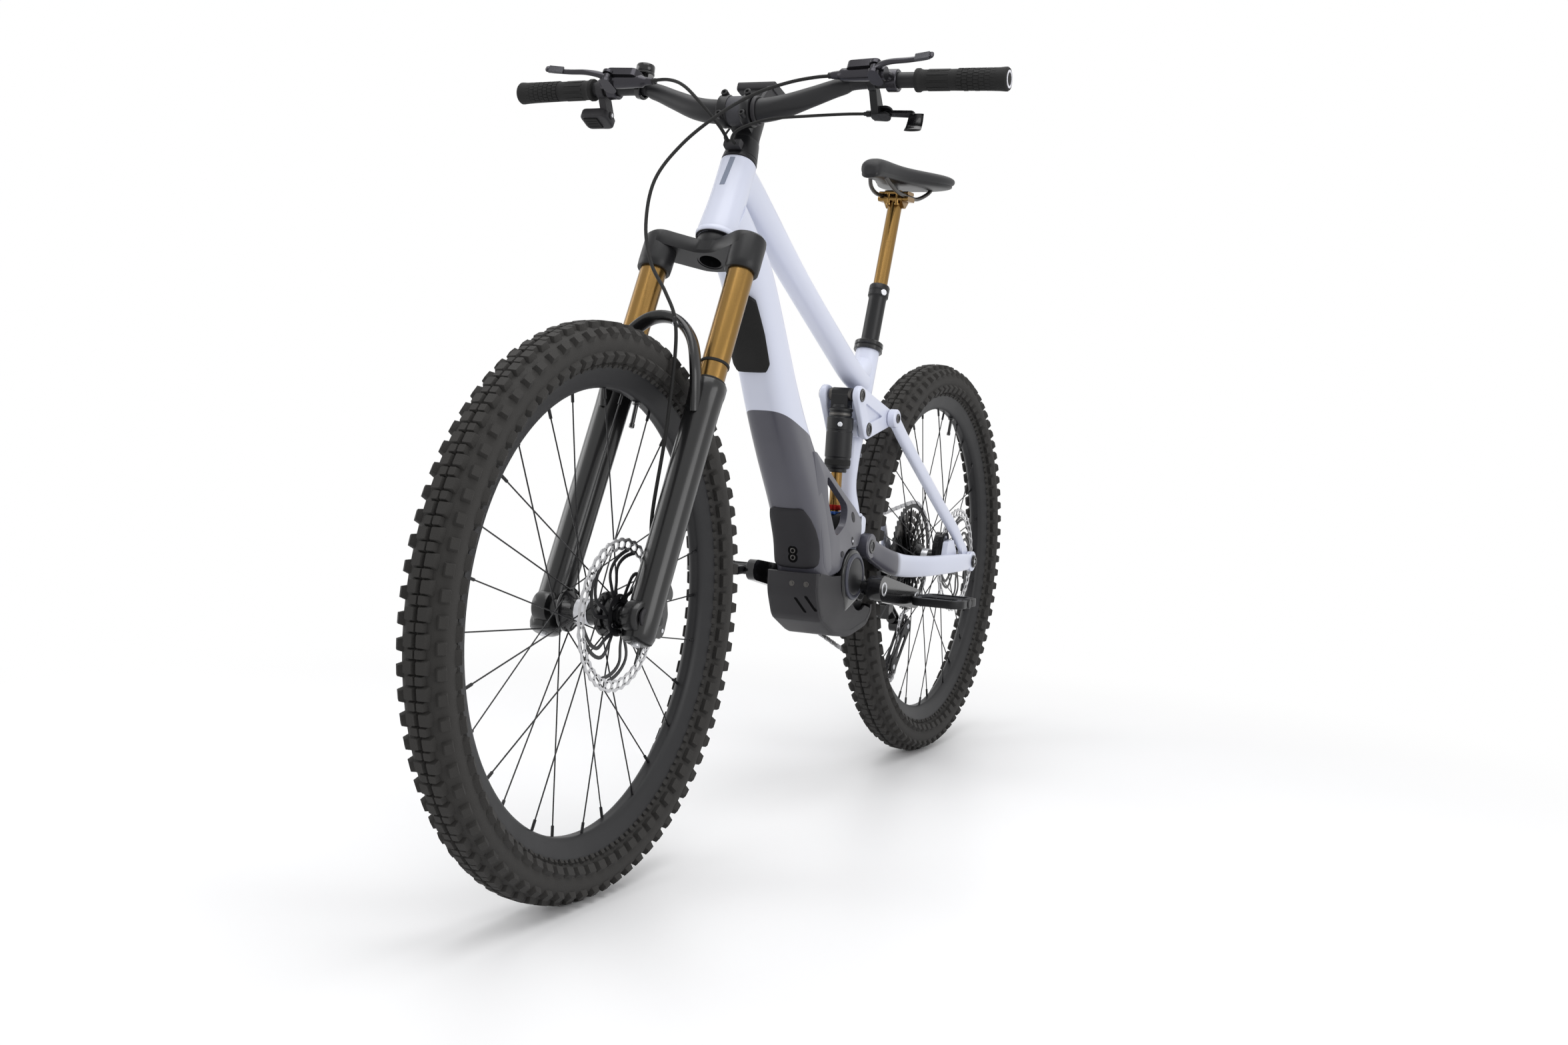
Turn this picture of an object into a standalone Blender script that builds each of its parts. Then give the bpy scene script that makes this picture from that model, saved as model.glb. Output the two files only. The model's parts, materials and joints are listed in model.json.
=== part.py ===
"""Electric mountain bike with full suspension, built as separate solids.

Metres, +X forward, +Z up, +Y the rider's left. The origin is on the ground, midway between the axles.
Fork and cockpit parts are modelled in the steering frame: X is forward across the steering axis,
Z runs up along it, and the origin is the foot of the axle's offset on that axis.
Seat post parts are modelled in the post frame: Z runs up the post from the top of the seat tube.
"""
from math import asin, atan2, ceil, cos, hypot, pi, radians, sin

import bmesh
import bpy
from mathutils import Matrix, Vector

GAP = 0.0003                # between touching faces
RUNNING = 0.0004            # round a turning or sliding shaft

# Wheels
WHEELBASE = 1.265
TYRE_RADIUS = 0.374
TYRE_WIDTH = 0.064
TREAD_FLAT = 0.024          # flat middle of the tread
TYRE_WALL = 0.003
TREAD_DEPTH = 0.008
TYRE_HEIGHT = 0.0575         # above the rim's flanges
RIM_BED_DEPTH = 0.008
RIM_DEPTH = 0.028
RIM_FLANGE_RADIUS = TYRE_RADIUS - TYRE_HEIGHT
RIM_BED_RADIUS = RIM_FLANGE_RADIUS - RIM_BED_DEPTH
RIM_INNER_RADIUS = RIM_FLANGE_RADIUS - RIM_DEPTH
RIM_WIDTH = 0.037
RIM_WALL = 0.003
WHEEL_SEGMENTS = 40
SPOKES = 28
SPOKE_RADIUS = 0.0011
LACING_ANGLE = radians(62.0)
FLANGE_RADIUS = 0.029
FLANGE_THICK = 0.004
SPOKE_CIRCLE = 0.0255
AXLE_RADIUS = 0.0075

# Front hub and fork
HEAD_ANGLE = radians(63.5)
FORK_OFFSET = 0.044
FRONT_HUB_WIDTH = 0.110
FRONT_FLANGE_LEFT = 0.024
FRONT_FLANGE_RIGHT = -0.032
FRONT_ROTOR_RADIUS = 0.100
FRONT_ROTOR_Y = 0.0415
ROTOR_THICK = 0.0019
ROTOR_BAND = 0.016
STANCHION_RADIUS = 0.019
STANCHION_WALL = 0.0028
STANCHION_SPREAD = 0.138
STANCHION_AHEAD = 0.028
CROWN_CLEARANCE = 0.146     # between the tyre and the crown's sockets
CROWN_LOW = TYRE_RADIUS + CROWN_CLEARANCE
STANCHION_BOTTOM = CROWN_LOW - 0.320
CROWN_HIGH = CROWN_LOW + 0.052
CROWN_CENTRE_LOW = CROWN_LOW + 0.033
CROWN_SOCKET_RADIUS = 0.0245
HEAD_LOW = CROWN_LOW + 0.070
HEAD_TUBE = 0.130
HEAD_HIGH = HEAD_LOW + HEAD_TUBE
LEG_TOP = TYRE_RADIUS - 0.029
LEG_BORE_LOW = 0.020
LEG_LOW = -0.030
LEG_RADIUS_TOP = 0.0240
LEG_RADIUS_LOW = 0.0225
ARCH_AHEAD = 0.078
DROPOUT_RADIUS = 0.021
FRONT_DROPOUT_THICK = 0.023
STEERER_LOW_RADIUS = 0.0195
STEERER_RADIUS = 0.0143
STEERER_BORE = 0.0115

# Cockpit
COVER_HEIGHT = 0.037
COVER_HIGH = HEAD_HIGH + COVER_HEIGHT
COVER_RADIUS_LOW = 0.0262
COVER_RADIUS_HIGH = 0.0212
STEM_HEIGHT = 0.043
STEM_HIGH = COVER_HIGH + STEM_HEIGHT
STEERER_HIGH = STEM_HIGH + 0.002
COCKPIT_RISE = STEM_HIGH - 0.800   # the cockpit's heights are drawn for a stem this high
STEM_WALL = 0.0055
STEM_CLAMP_WIDTH = 0.052
GRIP_LENGTH = 0.132
GRIP_RADIUS = 0.0158
GRIP_CAP = 0.003
BRAKE_CLAMP_Y = 0.226
LEVER_PIVOT_Y = 0.214
REMOTE_Y = 0.196
BELL_Y = 0.176

# Seat post and saddle
SEAT_ANGLE = radians(71.0)
SEAT_TUBE_RADIUS = 0.0205
POST_OUTER_RADIUS = 0.0155
POST_INNER_RADIUS = 0.0125
POST_INSERTION = 0.130
POST_EXPOSED = 0.084
POST_COLLAR = 0.022
POST_OVERLAP = 0.030
POST_HEAD = 0.272
SADDLE_NOSE = -0.226
SADDLE_TAIL = -0.486
SADDLE_HALF_WIDTH = 0.071

# Frame
PIVOT_PIN_RADIUS = 0.0070
ROCKER_INNER = 0.0245
ROCKER_THICK = 0.0115
BRACKET_INNER = 0.0290
BRACKET_THICK = 0.0120
MOTOR_HALF_WIDTH = 0.0285
MOTOR_CAP_RADIUS = 0.046
MOTOR_CAP_AHEAD = 0.035      # cap's middle ahead of the bottom bracket
MOTOR_CAP_RISE = 0.020       # and above it
MOTOR_CAP_OUTER = 0.050
SHOCK_CAN_RADIUS = 0.0225
SHOCK_SHAFT_RADIUS = 0.0095
BATTERY_LENGTH = 0.375
BATTERY_HALF_WIDTH = 0.0240
BATTERY_HALF_DEPTH = 0.0205
BATTERY_PLAY = 0.0006
GUARD_THICK = 0.004
BUMPER_THICK = 0.009
SKID_THICK = 0.0035

# Rear hub and drivetrain
REAR_HUB_WIDTH = 0.148
REAR_FLANGE_LEFT = 0.030
REAR_FLANGE_RIGHT = -0.019
REAR_ROTOR_RADIUS = 0.100
REAR_ROTOR_Y = 0.0585
REAR_TAB_THICK = 0.0090
REAR_END_THICK = 0.0110
FREEHUB_RADIUS = 0.0170
COGS = 12
COG_SMALL_TEETH = 10
COG_LARGE_TEETH = 52
COG_INNER_Y = -0.0350
COG_PITCH = 0.0031
COG_WALL = 0.0022
CHAIN_PITCH = 0.0127
CHAINRING_TEETH = 34
CHAINRING_Y = -0.0525
CHAINRING_THICK = 0.0040
CHAIN_HEIGHT = 0.0085
CHAIN_WIDTH = 0.0055
CHAIN_SEAT = 0.0052          # the chain's pitch line above the wheel that carries it
CRANK_LENGTH = 0.165
CRANK_TILT = radians(10.0)
CRANK_INNER = 0.0740
CRANK_THICK = 0.0140
CRANK_SPINDLE_RADIUS = 0.0120
CRANK_BOSS_RADIUS = 0.0225
CRANK_END_RADIUS = 0.0175
CRANK_BOSS_DEPTH = 0.0120
PEDAL_LENGTH = 0.100
PEDAL_WIDTH = 0.096
PEDAL_THICK = 0.016
PEDAL_AXLE_RADIUS = 0.0060
JOCKEY_RADIUS = 0.0235
JOCKEY_THICK = 0.0060
JOCKEY_BEHIND = 0.0035       # upper jockey behind the rear axle
JOCKEY_DROP = 0.139         # and below it
CAGE_REACH = 0.066          # lower jockey ahead of the upper one
CAGE_DROP = 0.073           # and below it
HANGER_BEHIND = 0.0215      # derailleur's mount behind the rear axle
HANGER_DROP = 0.049
CAGE_Y = -0.0400
CAGE_PLATE = 0.0030

BRACKET_AHEAD = 0.0735      # bottom bracket ahead of the rear tyre
BRACKET_DROP = 0.022        # and below the axles

AXLE_FRONT = (WHEELBASE / 2, TYRE_RADIUS)
AXLE_REAR = (-WHEELBASE / 2, TYRE_RADIUS)
BOTTOM_BRACKET = (AXLE_REAR[0] + TYRE_RADIUS + BRACKET_AHEAD, TYRE_RADIUS - BRACKET_DROP)


def steering_point(axle, angle, offset, d):
    """Point of the steering axis, at a distance d up it from the foot of the axle's offset."""
    return (axle[0] - offset * sin(angle) - d * cos(angle), axle[1] - offset * cos(angle) + d * sin(angle))


STEER_FOOT = steering_point(AXLE_FRONT, HEAD_ANGLE, FORK_OFFSET, 0.0)

# The frame's points are drawn for these places, and framed() carries them to the real ones
DRAWN_REAR = (-0.6325, 0.3740)
DRAWN_BRACKET = (-0.1850, 0.3520)
DRAWN_HEAD = steering_point((0.6325, 0.3740), radians(63.5), 0.044, 0.590)
CARRIERS = ((DRAWN_REAR[0], DRAWN_REAR, AXLE_REAR), (-0.3100, DRAWN_BRACKET, BOTTOM_BRACKET),
            (0.0200, DRAWN_BRACKET, BOTTOM_BRACKET),
            (0.2200, DRAWN_HEAD, steering_point(AXLE_FRONT, HEAD_ANGLE, FORK_OFFSET, HEAD_LOW)))


def framed(x, z):
    """Drawn point moved as the rear axle, the bottom bracket and the head tube are, by where it lies."""
    first, last = CARRIERS[0], CARRIERS[0]
    for carrier in CARRIERS:
        first, last = last, carrier
        if x < carrier[0]:
            break
    share = min(max((x - first[0]) / max(last[0] - first[0], 1e-9), 0.0), 1.0)
    moves = [[real[k] - drawn[k] for k in (0, 1)] for _, drawn, real in (first, last)]
    return tuple(p + moves[0][k] + (moves[1][k] - moves[0][k]) * share for k, p in enumerate((x, z)))


def drawn(outline):
    """Outline of drawn (x, z) points, each with any sizes after it, carried to its place."""
    return [(*framed(p[0], p[1]), *p[2:]) for p in outline]


def drawn_limb(stations):
    """Stations (x, y, z, half width, half depth) of a stay, carried to their places."""
    carried = []
    for x, y, z, half_width, half_depth in stations:
        x, z = framed(x, z)
        carried.append((x, y, z, half_width, half_depth))
    return carried


MOTOR_CAP = (BOTTOM_BRACKET[0] + MOTOR_CAP_AHEAD, BOTTOM_BRACKET[1] + MOTOR_CAP_RISE)
SEAT_TUBE_TOP = framed(-0.2723, 0.7710)
MAIN_PIVOT = framed(-0.215, 0.420)
ROCKER_PIVOT = framed(-0.201, 0.620)
STAY_PIVOT = framed(-0.297, 0.641)
SHOCK_TOP = framed(-0.163, 0.677)
SHOCK_BOTTOM = framed(-0.155, 0.452)

JOCKEY_UPPER = (AXLE_REAR[0] - JOCKEY_BEHIND, AXLE_REAR[1] - JOCKEY_DROP)
JOCKEY_LOWER = (JOCKEY_UPPER[0] + CAGE_REACH, JOCKEY_UPPER[1] - CAGE_DROP)
HANGER = (AXLE_REAR[0] - HANGER_BEHIND, AXLE_REAR[1] - HANGER_DROP)
ARM_PIVOT = (HANGER[0] - 0.0020, HANGER[1] - 0.0250)

# Frame tubes: x, z, half width, half depth
DOWN_TUBE = drawn([(0.3120, 0.9160, 0.0300, 0.0360), (0.2660, 0.8775, 0.0320, 0.0360),
                   (0.2165, 0.8260, 0.0350, 0.0360),
                   (0.1188, 0.6667, 0.0370, 0.0395), (0.0647, 0.5900, 0.0390, 0.0405),
                   (0.0057, 0.5169, 0.0400, 0.0450),
                   (-0.0280, 0.4550, 0.0385, 0.0400),
                   (-0.0450, 0.4100, 0.0350, 0.0450)])
TOP_TUBE = drawn([(0.2810, 0.9770, 0.0240, 0.0310), (0.2320, 0.9570, 0.0220, 0.0270),
                  (0.0600, 0.8550, 0.0205, 0.0200),
                  (-0.1000, 0.7660, 0.0200, 0.0190), (-0.1900, 0.7180, 0.0200, 0.0195),
                  (-0.2380, 0.7000, 0.0190, 0.0200)])
SEAT_WEB = drawn([(-0.2300, 0.6480, 0.0190, 0.0190), (-0.2200, 0.6150, 0.0190, 0.0185),
                  (-0.2080, 0.5700, 0.0180, 0.0160),
                  (-0.2060, 0.5200, 0.0160, 0.0140), (-0.2120, 0.4750, 0.0220, 0.0180),
                  (-0.2140, 0.4400, 0.0240, 0.0180)])
MOTOR = drawn([(-0.0200, 0.4050), (0.0, 0.3600), (-0.0200, 0.3150), (-0.0800, 0.2850), (-0.1500, 0.2770),
               (-0.2150, 0.2880), (-0.2400, 0.3250), (-0.2380, 0.3700), (-0.2100, 0.4030), (-0.1200, 0.4120)])
BATTERY_LOW = framed(-0.0120, 0.5000)
BATTERY_HIGH = framed(0.2085, 0.803375)
BATTERY_LINE = atan2(BATTERY_HIGH[1] - BATTERY_LOW[1], BATTERY_HIGH[0] - BATTERY_LOW[0])

# Bar: y, x and z in the steering frame, radius
BAR = [(0.0, 0.0420, 0.7820, 0.0175), (0.0360, 0.0420, 0.7820, 0.0175), (0.0700, 0.0412, 0.7890, 0.0165),
       (0.1100, 0.0392, 0.8060, 0.0142), (0.1500, 0.0368, 0.8240, 0.0124), (0.1900, 0.0350, 0.8340, 0.0111),
       (0.3920, 0.0300, 0.8340, 0.0111)]


def section(cx, cz, angle, half_width, half_depth, power=2.7, count=16):
    """Superellipse ring across a path in the XZ plane; angle is the path's direction there."""
    across = Vector((-sin(angle), 0.0, cos(angle)))
    ring = []
    for i in range(count):
        t = 2 * pi * (i + 0.5) / count
        u = abs(cos(t)) ** (2 / power) * (1 if cos(t) > 0 else -1)
        v = abs(sin(t)) ** (2 / power) * (1 if sin(t) > 0 else -1)
        ring.append(Vector((cx, half_width * u, cz)) + across * (half_depth * v))
    return ring


def to_mesh(bm):
    """Close a bmesh into a mesh whose faces point outwards."""
    bmesh.ops.recalc_face_normals(bm, faces=bm.faces[:])
    mesh = bpy.data.meshes.new("shape")
    bm.to_mesh(mesh)
    bm.free()
    return mesh


def loft(rings):
    """Closed solid through rings that have the same number of points."""
    bm = bmesh.new()
    loops = []
    for ring in rings:
        verts = [bm.verts.new(p) for p in ring]
        loops.append([bm.edges.new((a, b)) for a, b in zip(verts, verts[1:] + verts[:1])])
    for low, high in zip(loops, loops[1:]):
        bmesh.ops.bridge_loops(bm, edges=low + high)
    for loop in (loops[0], loops[-1]):
        bmesh.ops.contextual_create(bm, geom=loop)
    return to_mesh(bm)


def path_loft(stations, extra=0.0, power=2.7, count=14):
    """Tube through (x, z, half width, half depth) stations, swollen by extra on every side."""
    rings = []
    for i, (x, z, half_width, half_depth) in enumerate(stations):
        before, after = stations[max(i - 1, 0)], stations[min(i + 1, len(stations) - 1)]
        angle = atan2(after[1] - before[1], after[0] - before[0])
        rings.append(section(x, z, angle, half_width + extra, half_depth + extra, power, count))
    return loft(rings)


def turned(profile, centre, axis, steps=28, ring=False, outside=False):
    """Turn a (radius, height) profile about an axis. A ring profile closes on itself.

    The facets of an outside shape touch the stated radii, so its corners stand a little proud of them.
    """
    if outside:
        profile = [(r / cos(pi / steps), h) for r, h in profile]
    bm = bmesh.new()
    turn = Vector((0, 0, 1)).rotation_difference(Vector(axis)).to_matrix().to_4x4()
    half_step = Matrix.Rotation(pi / steps, 4, "Z")
    place_it = Matrix.Translation(centre) @ turn
    verts = [bm.verts.new(half_step @ Vector((r, 0, h))) for r, h in profile]
    edges = [bm.edges.new(pair) for pair in zip(verts, verts[1:])]
    if ring:
        edges.append(bm.edges.new((verts[-1], verts[0])))
    bmesh.ops.spin(bm, geom=verts + edges, cent=(0, 0, 0), axis=(0, 0, 1), angle=2 * pi, steps=steps,
                   use_merge=True)
    bmesh.ops.remove_doubles(bm, verts=bm.verts[:], dist=1e-6)
    bmesh.ops.transform(bm, matrix=place_it, verts=bm.verts[:])
    return to_mesh(bm)


def rod(start, end, radius, steps=14):
    """Round bar between two points."""
    start, end = Vector(start), Vector(end)
    length = (end - start).length
    return turned([(0, 0), (radius, 0), (radius, length), (0, length)], start, end - start, steps)


def cone(start, end, radius_start, radius_end, steps=16):
    """Round tapered bar between two points."""
    start, end = Vector(start), Vector(end)
    length = (end - start).length
    return turned([(0, 0), (radius_start, 0), (radius_end, length), (0, length)], start, end - start, steps)


def pipe(start, end, outer, inner, steps=20):
    """Open tube between two points."""
    start, end = Vector(start), Vector(end)
    length = (end - start).length
    return turned([(outer, 0), (outer, length), (inner, length), (inner, 0)], start, end - start, steps,
                  ring=True)


def cross_rod(x, z, y0, y1, radius, steps=14):
    """Round bar along Y."""
    return rod((x, y0, z), (x, y1, z), radius, steps)


def extruded(points, vector):
    """Flat outline of 3D points, pushed along a vector."""
    bm = bmesh.new()
    face = bm.faces.new([bm.verts.new(p) for p in points])
    grown = bmesh.ops.extrude_face_region(bm, geom=[face])
    moved = [v for v in grown["geom"] if isinstance(v, bmesh.types.BMVert)]
    bmesh.ops.translate(bm, vec=vector, verts=moved)
    return to_mesh(bm)


def prism(outline, y0, y1):
    """Outline in the XZ plane, extruded from y0 to y1."""
    return extruded([(x, y0, z) for x, z in outline], (0, y1 - y0, 0))


def slab(outline, z0, z1):
    """Outline in the XY plane, extruded from z0 to z1."""
    return extruded([(x, y, z0) for x, y in outline], (0, 0, z1 - z0))


def block(low, high):
    """Box between two corners."""
    (x0, y0, z0), (x1, y1, z1) = low, high
    return prism([(x0, z0), (x1, z0), (x1, z1), (x0, z1)], y0, y1)


def hull_outline(circles, count=10):
    """Convex outline round several circles, each ((x, z), radius)."""
    points = sorted((cx + r * cos(2 * pi * i / count), cz + r * sin(2 * pi * i / count))
                    for (cx, cz), r in circles for i in range(count))
    outline = []
    for chain in (points, points[::-1]):
        start = len(outline)
        for x, z in chain:
            while len(outline) >= start + 2:
                (x0, z0), (x1, z1) = outline[-2:]
                if (x1 - x0) * (z - z0) - (z1 - z0) * (x - x0) > 1e-12:
                    break
                outline.pop()
            outline.append((x, z))
        outline.pop()
    return outline


def link(circles, y0, y1, count=10):
    """Flat link round several circles of the XZ plane, from y0 to y1."""
    return prism(hull_outline(circles, count), y0, y1)


def bore(start, end, radius, steps=14):
    """Tool for a hole whose flats touch the stated radius."""
    return rod(start, end, radius / cos(pi / steps), steps)


def cross_bore(x, z, y0, y1, radius, steps=14):
    """Tool for a hole along Y."""
    return bore((x, y0, z), (x, y1, z), radius, steps)


def offset_outline(outline, distance):
    """Outline moved outwards at its corners by a distance."""
    count = len(outline)
    area = sum(outline[i - 1][0] * outline[i][1] - outline[i][0] * outline[i - 1][1] for i in range(count))
    side = 1 if area > 0 else -1
    grown = []
    for i in range(count):
        (x0, z0), (x1, z1), (x2, z2) = outline[i - 1], outline[i], outline[(i + 1) % count]
        first = Vector((z1 - z0, x0 - x1)).normalized()
        second = Vector((z2 - z1, x1 - x2)).normalized()
        normal = (first + second).normalized()
        reach = side * distance / max(normal.dot(first), 0.5)
        grown.append((x1 + normal.x * reach, z1 + normal.y * reach))
    return grown


def boolean(base, tools, operation, solver):
    """Boolean of a mesh with each of the tools in turn."""
    host = bpy.data.objects.new("work", base)
    bpy.context.scene.collection.objects.link(host)
    helpers = [host]
    for tool in tools:
        helper = bpy.data.objects.new("tool", tool)
        bpy.context.scene.collection.objects.link(helper)
        helpers.append(helper)
        step = host.modifiers.new("step", "BOOLEAN")
        step.operation = operation
        step.solver = solver
        step.object = helper
    graph = bpy.context.evaluated_depsgraph_get()
    result = bpy.data.meshes.new_from_object(host.evaluated_get(graph), depsgraph=graph)
    for helper in helpers:
        bpy.data.objects.remove(helper)
    bm = bmesh.new()
    bm.from_mesh(result)
    bmesh.ops.remove_doubles(bm, verts=bm.verts[:], dist=2e-6)
    bmesh.ops.dissolve_degenerate(bm, edges=bm.edges[:], dist=1e-6)
    return to_mesh(bm)


def fuse(base, *tools, solver="EXACT"):
    """One solid from several that overlap."""
    return boolean(base, tools, "UNION", solver)


def cut(base, *tools, solver="EXACT"):
    """A solid with the tools' space taken away."""
    return boolean(base, tools, "DIFFERENCE", solver)


def common(base, *tools, solver="EXACT"):
    """The space that all the solids share."""
    return boolean(base, tools, "INTERSECT", solver)


def joined(meshes):
    """Several solids that don't touch, in one mesh, ready for a Boolean."""
    bm = bmesh.new()
    for mesh in meshes:
        bm.from_mesh(mesh)
    return to_mesh(bm)


def finish(name, colour, roughness, metallic=0.0):
    """Plain material of one piece."""
    material = bpy.data.materials.new(name)
    material.use_nodes = True
    surface = material.node_tree.nodes["Principled BSDF"]
    surface.inputs["Base Color"].default_value = (*colour, 1.0)
    surface.inputs["Roughness"].default_value = roughness
    surface.inputs["Metallic"].default_value = metallic
    material.diffuse_color = (*colour, 1.0)
    return material


def axis_empty(name, location, tilt=0.0, parent=None):
    """Empty on a joint's axis, tilted about Y."""
    empty = bpy.data.objects.new(name, None)
    empty.empty_display_size = 0.05
    empty.location = location
    empty.rotation_euler = (0.0, tilt, 0.0)
    empty.parent = parent
    bpy.context.scene.collection.objects.link(empty)
    return empty


def place(name, mesh, material, parent=None, origin=(0.0, 0.0, 0.0)):
    """Make the named object. Its origin goes to a point of its parent's frame."""
    mesh.transform(Matrix.Translation(-Vector(origin)))
    mesh.name = name
    mesh.materials.clear()
    mesh.materials.append(material)
    mesh.shade_smooth()
    mesh.set_sharp_from_angle(angle=radians(35))
    piece = bpy.data.objects.new(name, mesh)
    piece.location = origin
    piece.parent = parent
    bpy.context.scene.collection.objects.link(piece)
    return piece


def smooth_route(route, per_leg):
    """Points on a smooth curve through a route's own points."""
    points = [Vector(p) for p in route]
    ends = [2 * points[0] - points[1], *points, 2 * points[-1] - points[-2]]
    curve = []
    for a, b, c, d in zip(ends, ends[1:], ends[2:], ends[3:]):
        for i in range(per_leg):
            t = i / per_leg
            curve.append(0.5 * (2 * b + (c - a) * t + (2 * a - 5 * b + 4 * c - d) * t ** 2
                                + (3 * b - a - 3 * c + d) * t ** 3))
    curve.append(points[-1])
    return curve


def swept(points, radii, resolution=2):
    """Round tube along points, with a radius at each, as a mesh."""
    data = bpy.data.curves.new("sweep", "CURVE")
    data.dimensions = "3D"
    data.bevel_depth = 1.0
    data.bevel_resolution = resolution
    data.render_resolution_u = 0
    data.use_fill_caps = True
    spline = data.splines.new("POLY")
    spline.points.add(len(points) - 1)
    for spot, point, radius in zip(spline.points, points, radii):
        spot.co = (*point, 1.0)
        spot.radius = radius
    helper = bpy.data.objects.new("sweep", data)
    bpy.context.scene.collection.objects.link(helper)
    graph = bpy.context.evaluated_depsgraph_get()
    mesh = bpy.data.meshes.new_from_object(helper.evaluated_get(graph), depsgraph=graph)
    bpy.data.objects.remove(helper)
    bm = bmesh.new()
    bm.from_mesh(mesh)
    bmesh.ops.remove_doubles(bm, verts=bm.verts[:], dist=1e-6)
    return to_mesh(bm)


def tube(route, radius, per_leg=3, resolution=2):
    """Hose of one radius along a smooth route."""
    points = smooth_route(route, per_leg)
    return swept(points, [radius] * len(points), resolution)


def in_plane(centre, radius, angle):
    """Point at a radius and an angle round a centre, in the XZ plane."""
    return centre[0] + radius * cos(angle), centre[1] + radius * sin(angle)


def toward(p, q, share):
    """Point between p and q of the XZ plane."""
    return p[0] + (q[0] - p[0]) * share, p[1] + (q[1] - p[1]) * share


def mirrored(mesh):
    """The same shape on the other side of the bike."""
    bm = bmesh.new()
    bm.from_mesh(mesh)
    bmesh.ops.scale(bm, vec=(1, -1, 1), verts=bm.verts[:])
    return to_mesh(bm)


def limb(stations, power=2.7, count=10):
    """Beam through (x, y, z, half width, half depth) stations, its ends upright across the path."""
    rings = []
    for i, (x, y, z, half_width, half_depth) in enumerate(stations):
        before, after = stations[max(i - 1, 0)], stations[min(i + 1, len(stations) - 1)]
        angle = atan2(after[2] - before[2], after[0] - before[0])
        rings.append([p + Vector((0, y, 0)) for p in section(x, z, angle, half_width, half_depth, power,
                                                             count)])
    return loft(rings)


def head_point(d):
    """Point of the steering axis in the bike's X and Z."""
    return steering_point(AXLE_FRONT, HEAD_ANGLE, FORK_OFFSET, d)


def seat_point(z, x=0.0):
    """Point of the post frame in the bike's X and Z."""
    return (SEAT_TUBE_TOP[0] - z * cos(SEAT_ANGLE) + x * sin(SEAT_ANGLE),
            SEAT_TUBE_TOP[1] + z * sin(SEAT_ANGLE) + x * cos(SEAT_ANGLE))


def at_y(point, y):
    """Space point from an (x, z) pair and a y."""
    return point[0], y, point[1]


# Wheels

def tyre(centre):
    """Casing with its beads and a plain band for the tread, open on the inside."""
    half = TYRE_WIDTH / 2
    bead = RIM_WIDTH / 2 - RIM_WALL - GAP
    middle = (RIM_FLANGE_RADIUS + TYRE_RADIUS) / 2
    outer = [(RIM_BED_RADIUS + GAP, bead), (RIM_FLANGE_RADIUS + 2 * GAP, bead),
             (RIM_FLANGE_RADIUS + 0.0035, RIM_WIDTH / 2), (middle, half),
             (TYRE_RADIUS - 0.0050, half - 0.0040),
             (TYRE_RADIUS, TREAD_FLAT / 2)]
    inner = [(TYRE_RADIUS - TREAD_DEPTH - TYRE_WALL, TREAD_FLAT / 2), (middle, half - TYRE_WALL),
             (RIM_FLANGE_RADIUS + 0.006, bead), (RIM_BED_RADIUS + GAP, bead - TYRE_WALL)]
    profile = outer + [(r, -y) for r, y in reversed(outer)]
    profile += [(r, -y) for r, y in reversed(inner)] + inner
    return turned(profile, at_y(centre, 0), (0, 1, 0), WHEEL_SEGMENTS, ring=True, outside=True)


def rim(centre):
    """Deep rim with a bed between two flanges."""
    half = RIM_WIDTH / 2
    side = [(RIM_INNER_RADIUS, 0.0060), (RIM_INNER_RADIUS + 0.0085, 0.0125), (RIM_FLANGE_RADIUS, half),
            (RIM_FLANGE_RADIUS, half - RIM_WALL), (RIM_BED_RADIUS, half - RIM_WALL)]
    profile = side + [(r, -y) for r, y in reversed(side)]
    return turned(profile, at_y(centre, 0), (0, 1, 0), WHEEL_SEGMENTS, ring=True, outside=True)


def hub(centre, width, left, right, rotor_y, freehub=False):
    """Hub shell with its two flanges, the rotor's seat, the bore for the axle, and all the spokes."""
    end, half = 0.0125, width / 2
    profile = [(end, -half), (end, right - 0.007)]
    if freehub:
        profile = [(end, -half), (end, 0.0015 - half), (FREEHUB_RADIUS, 0.0015 - half),
                   (FREEHUB_RADIUS, right - 0.006)]
    for y, sign in ((right, 1), (left, -1)):
        pair = [(FLANGE_RADIUS, y - sign * FLANGE_THICK / 2), (FLANGE_RADIUS, y + sign * FLANGE_THICK / 2),
                (0.0165, y + sign * 0.009)]
        profile += pair if sign > 0 else pair[::-1]
    seat = rotor_y - ROTOR_THICK / 2 - GAP
    profile += [(0.0210, left + 0.006), (0.0210, seat), (0.0165, seat), (0.0165, rotor_y + 0.0045),
                (end, rotor_y + 0.0045), (end, half), (AXLE_RADIUS + RUNNING, half),
                (AXLE_RADIUS + RUNNING, -half)]
    shell = turned(profile, at_y(centre, 0), (0, 1, 0), 16, ring=True)
    spokes = []
    for i in range(SPOKES):
        angle = 2 * pi * i / SPOKES
        side = 1 if i % 2 else -1
        lean = 1 if (i // 2) % 2 else -1
        flange = left if side > 0 else right
        start = in_plane(centre, SPOKE_CIRCLE, angle + lean * LACING_ANGLE)
        stop = in_plane(centre, RIM_INNER_RADIUS - GAP, angle)
        spokes.append(rod(at_y(start, flange + lean * 0.0025), at_y(stop, side * 0.004 + lean * 0.0015),
                          SPOKE_RADIUS, 4))
    return fuse(shell, joined(spokes))


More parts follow.
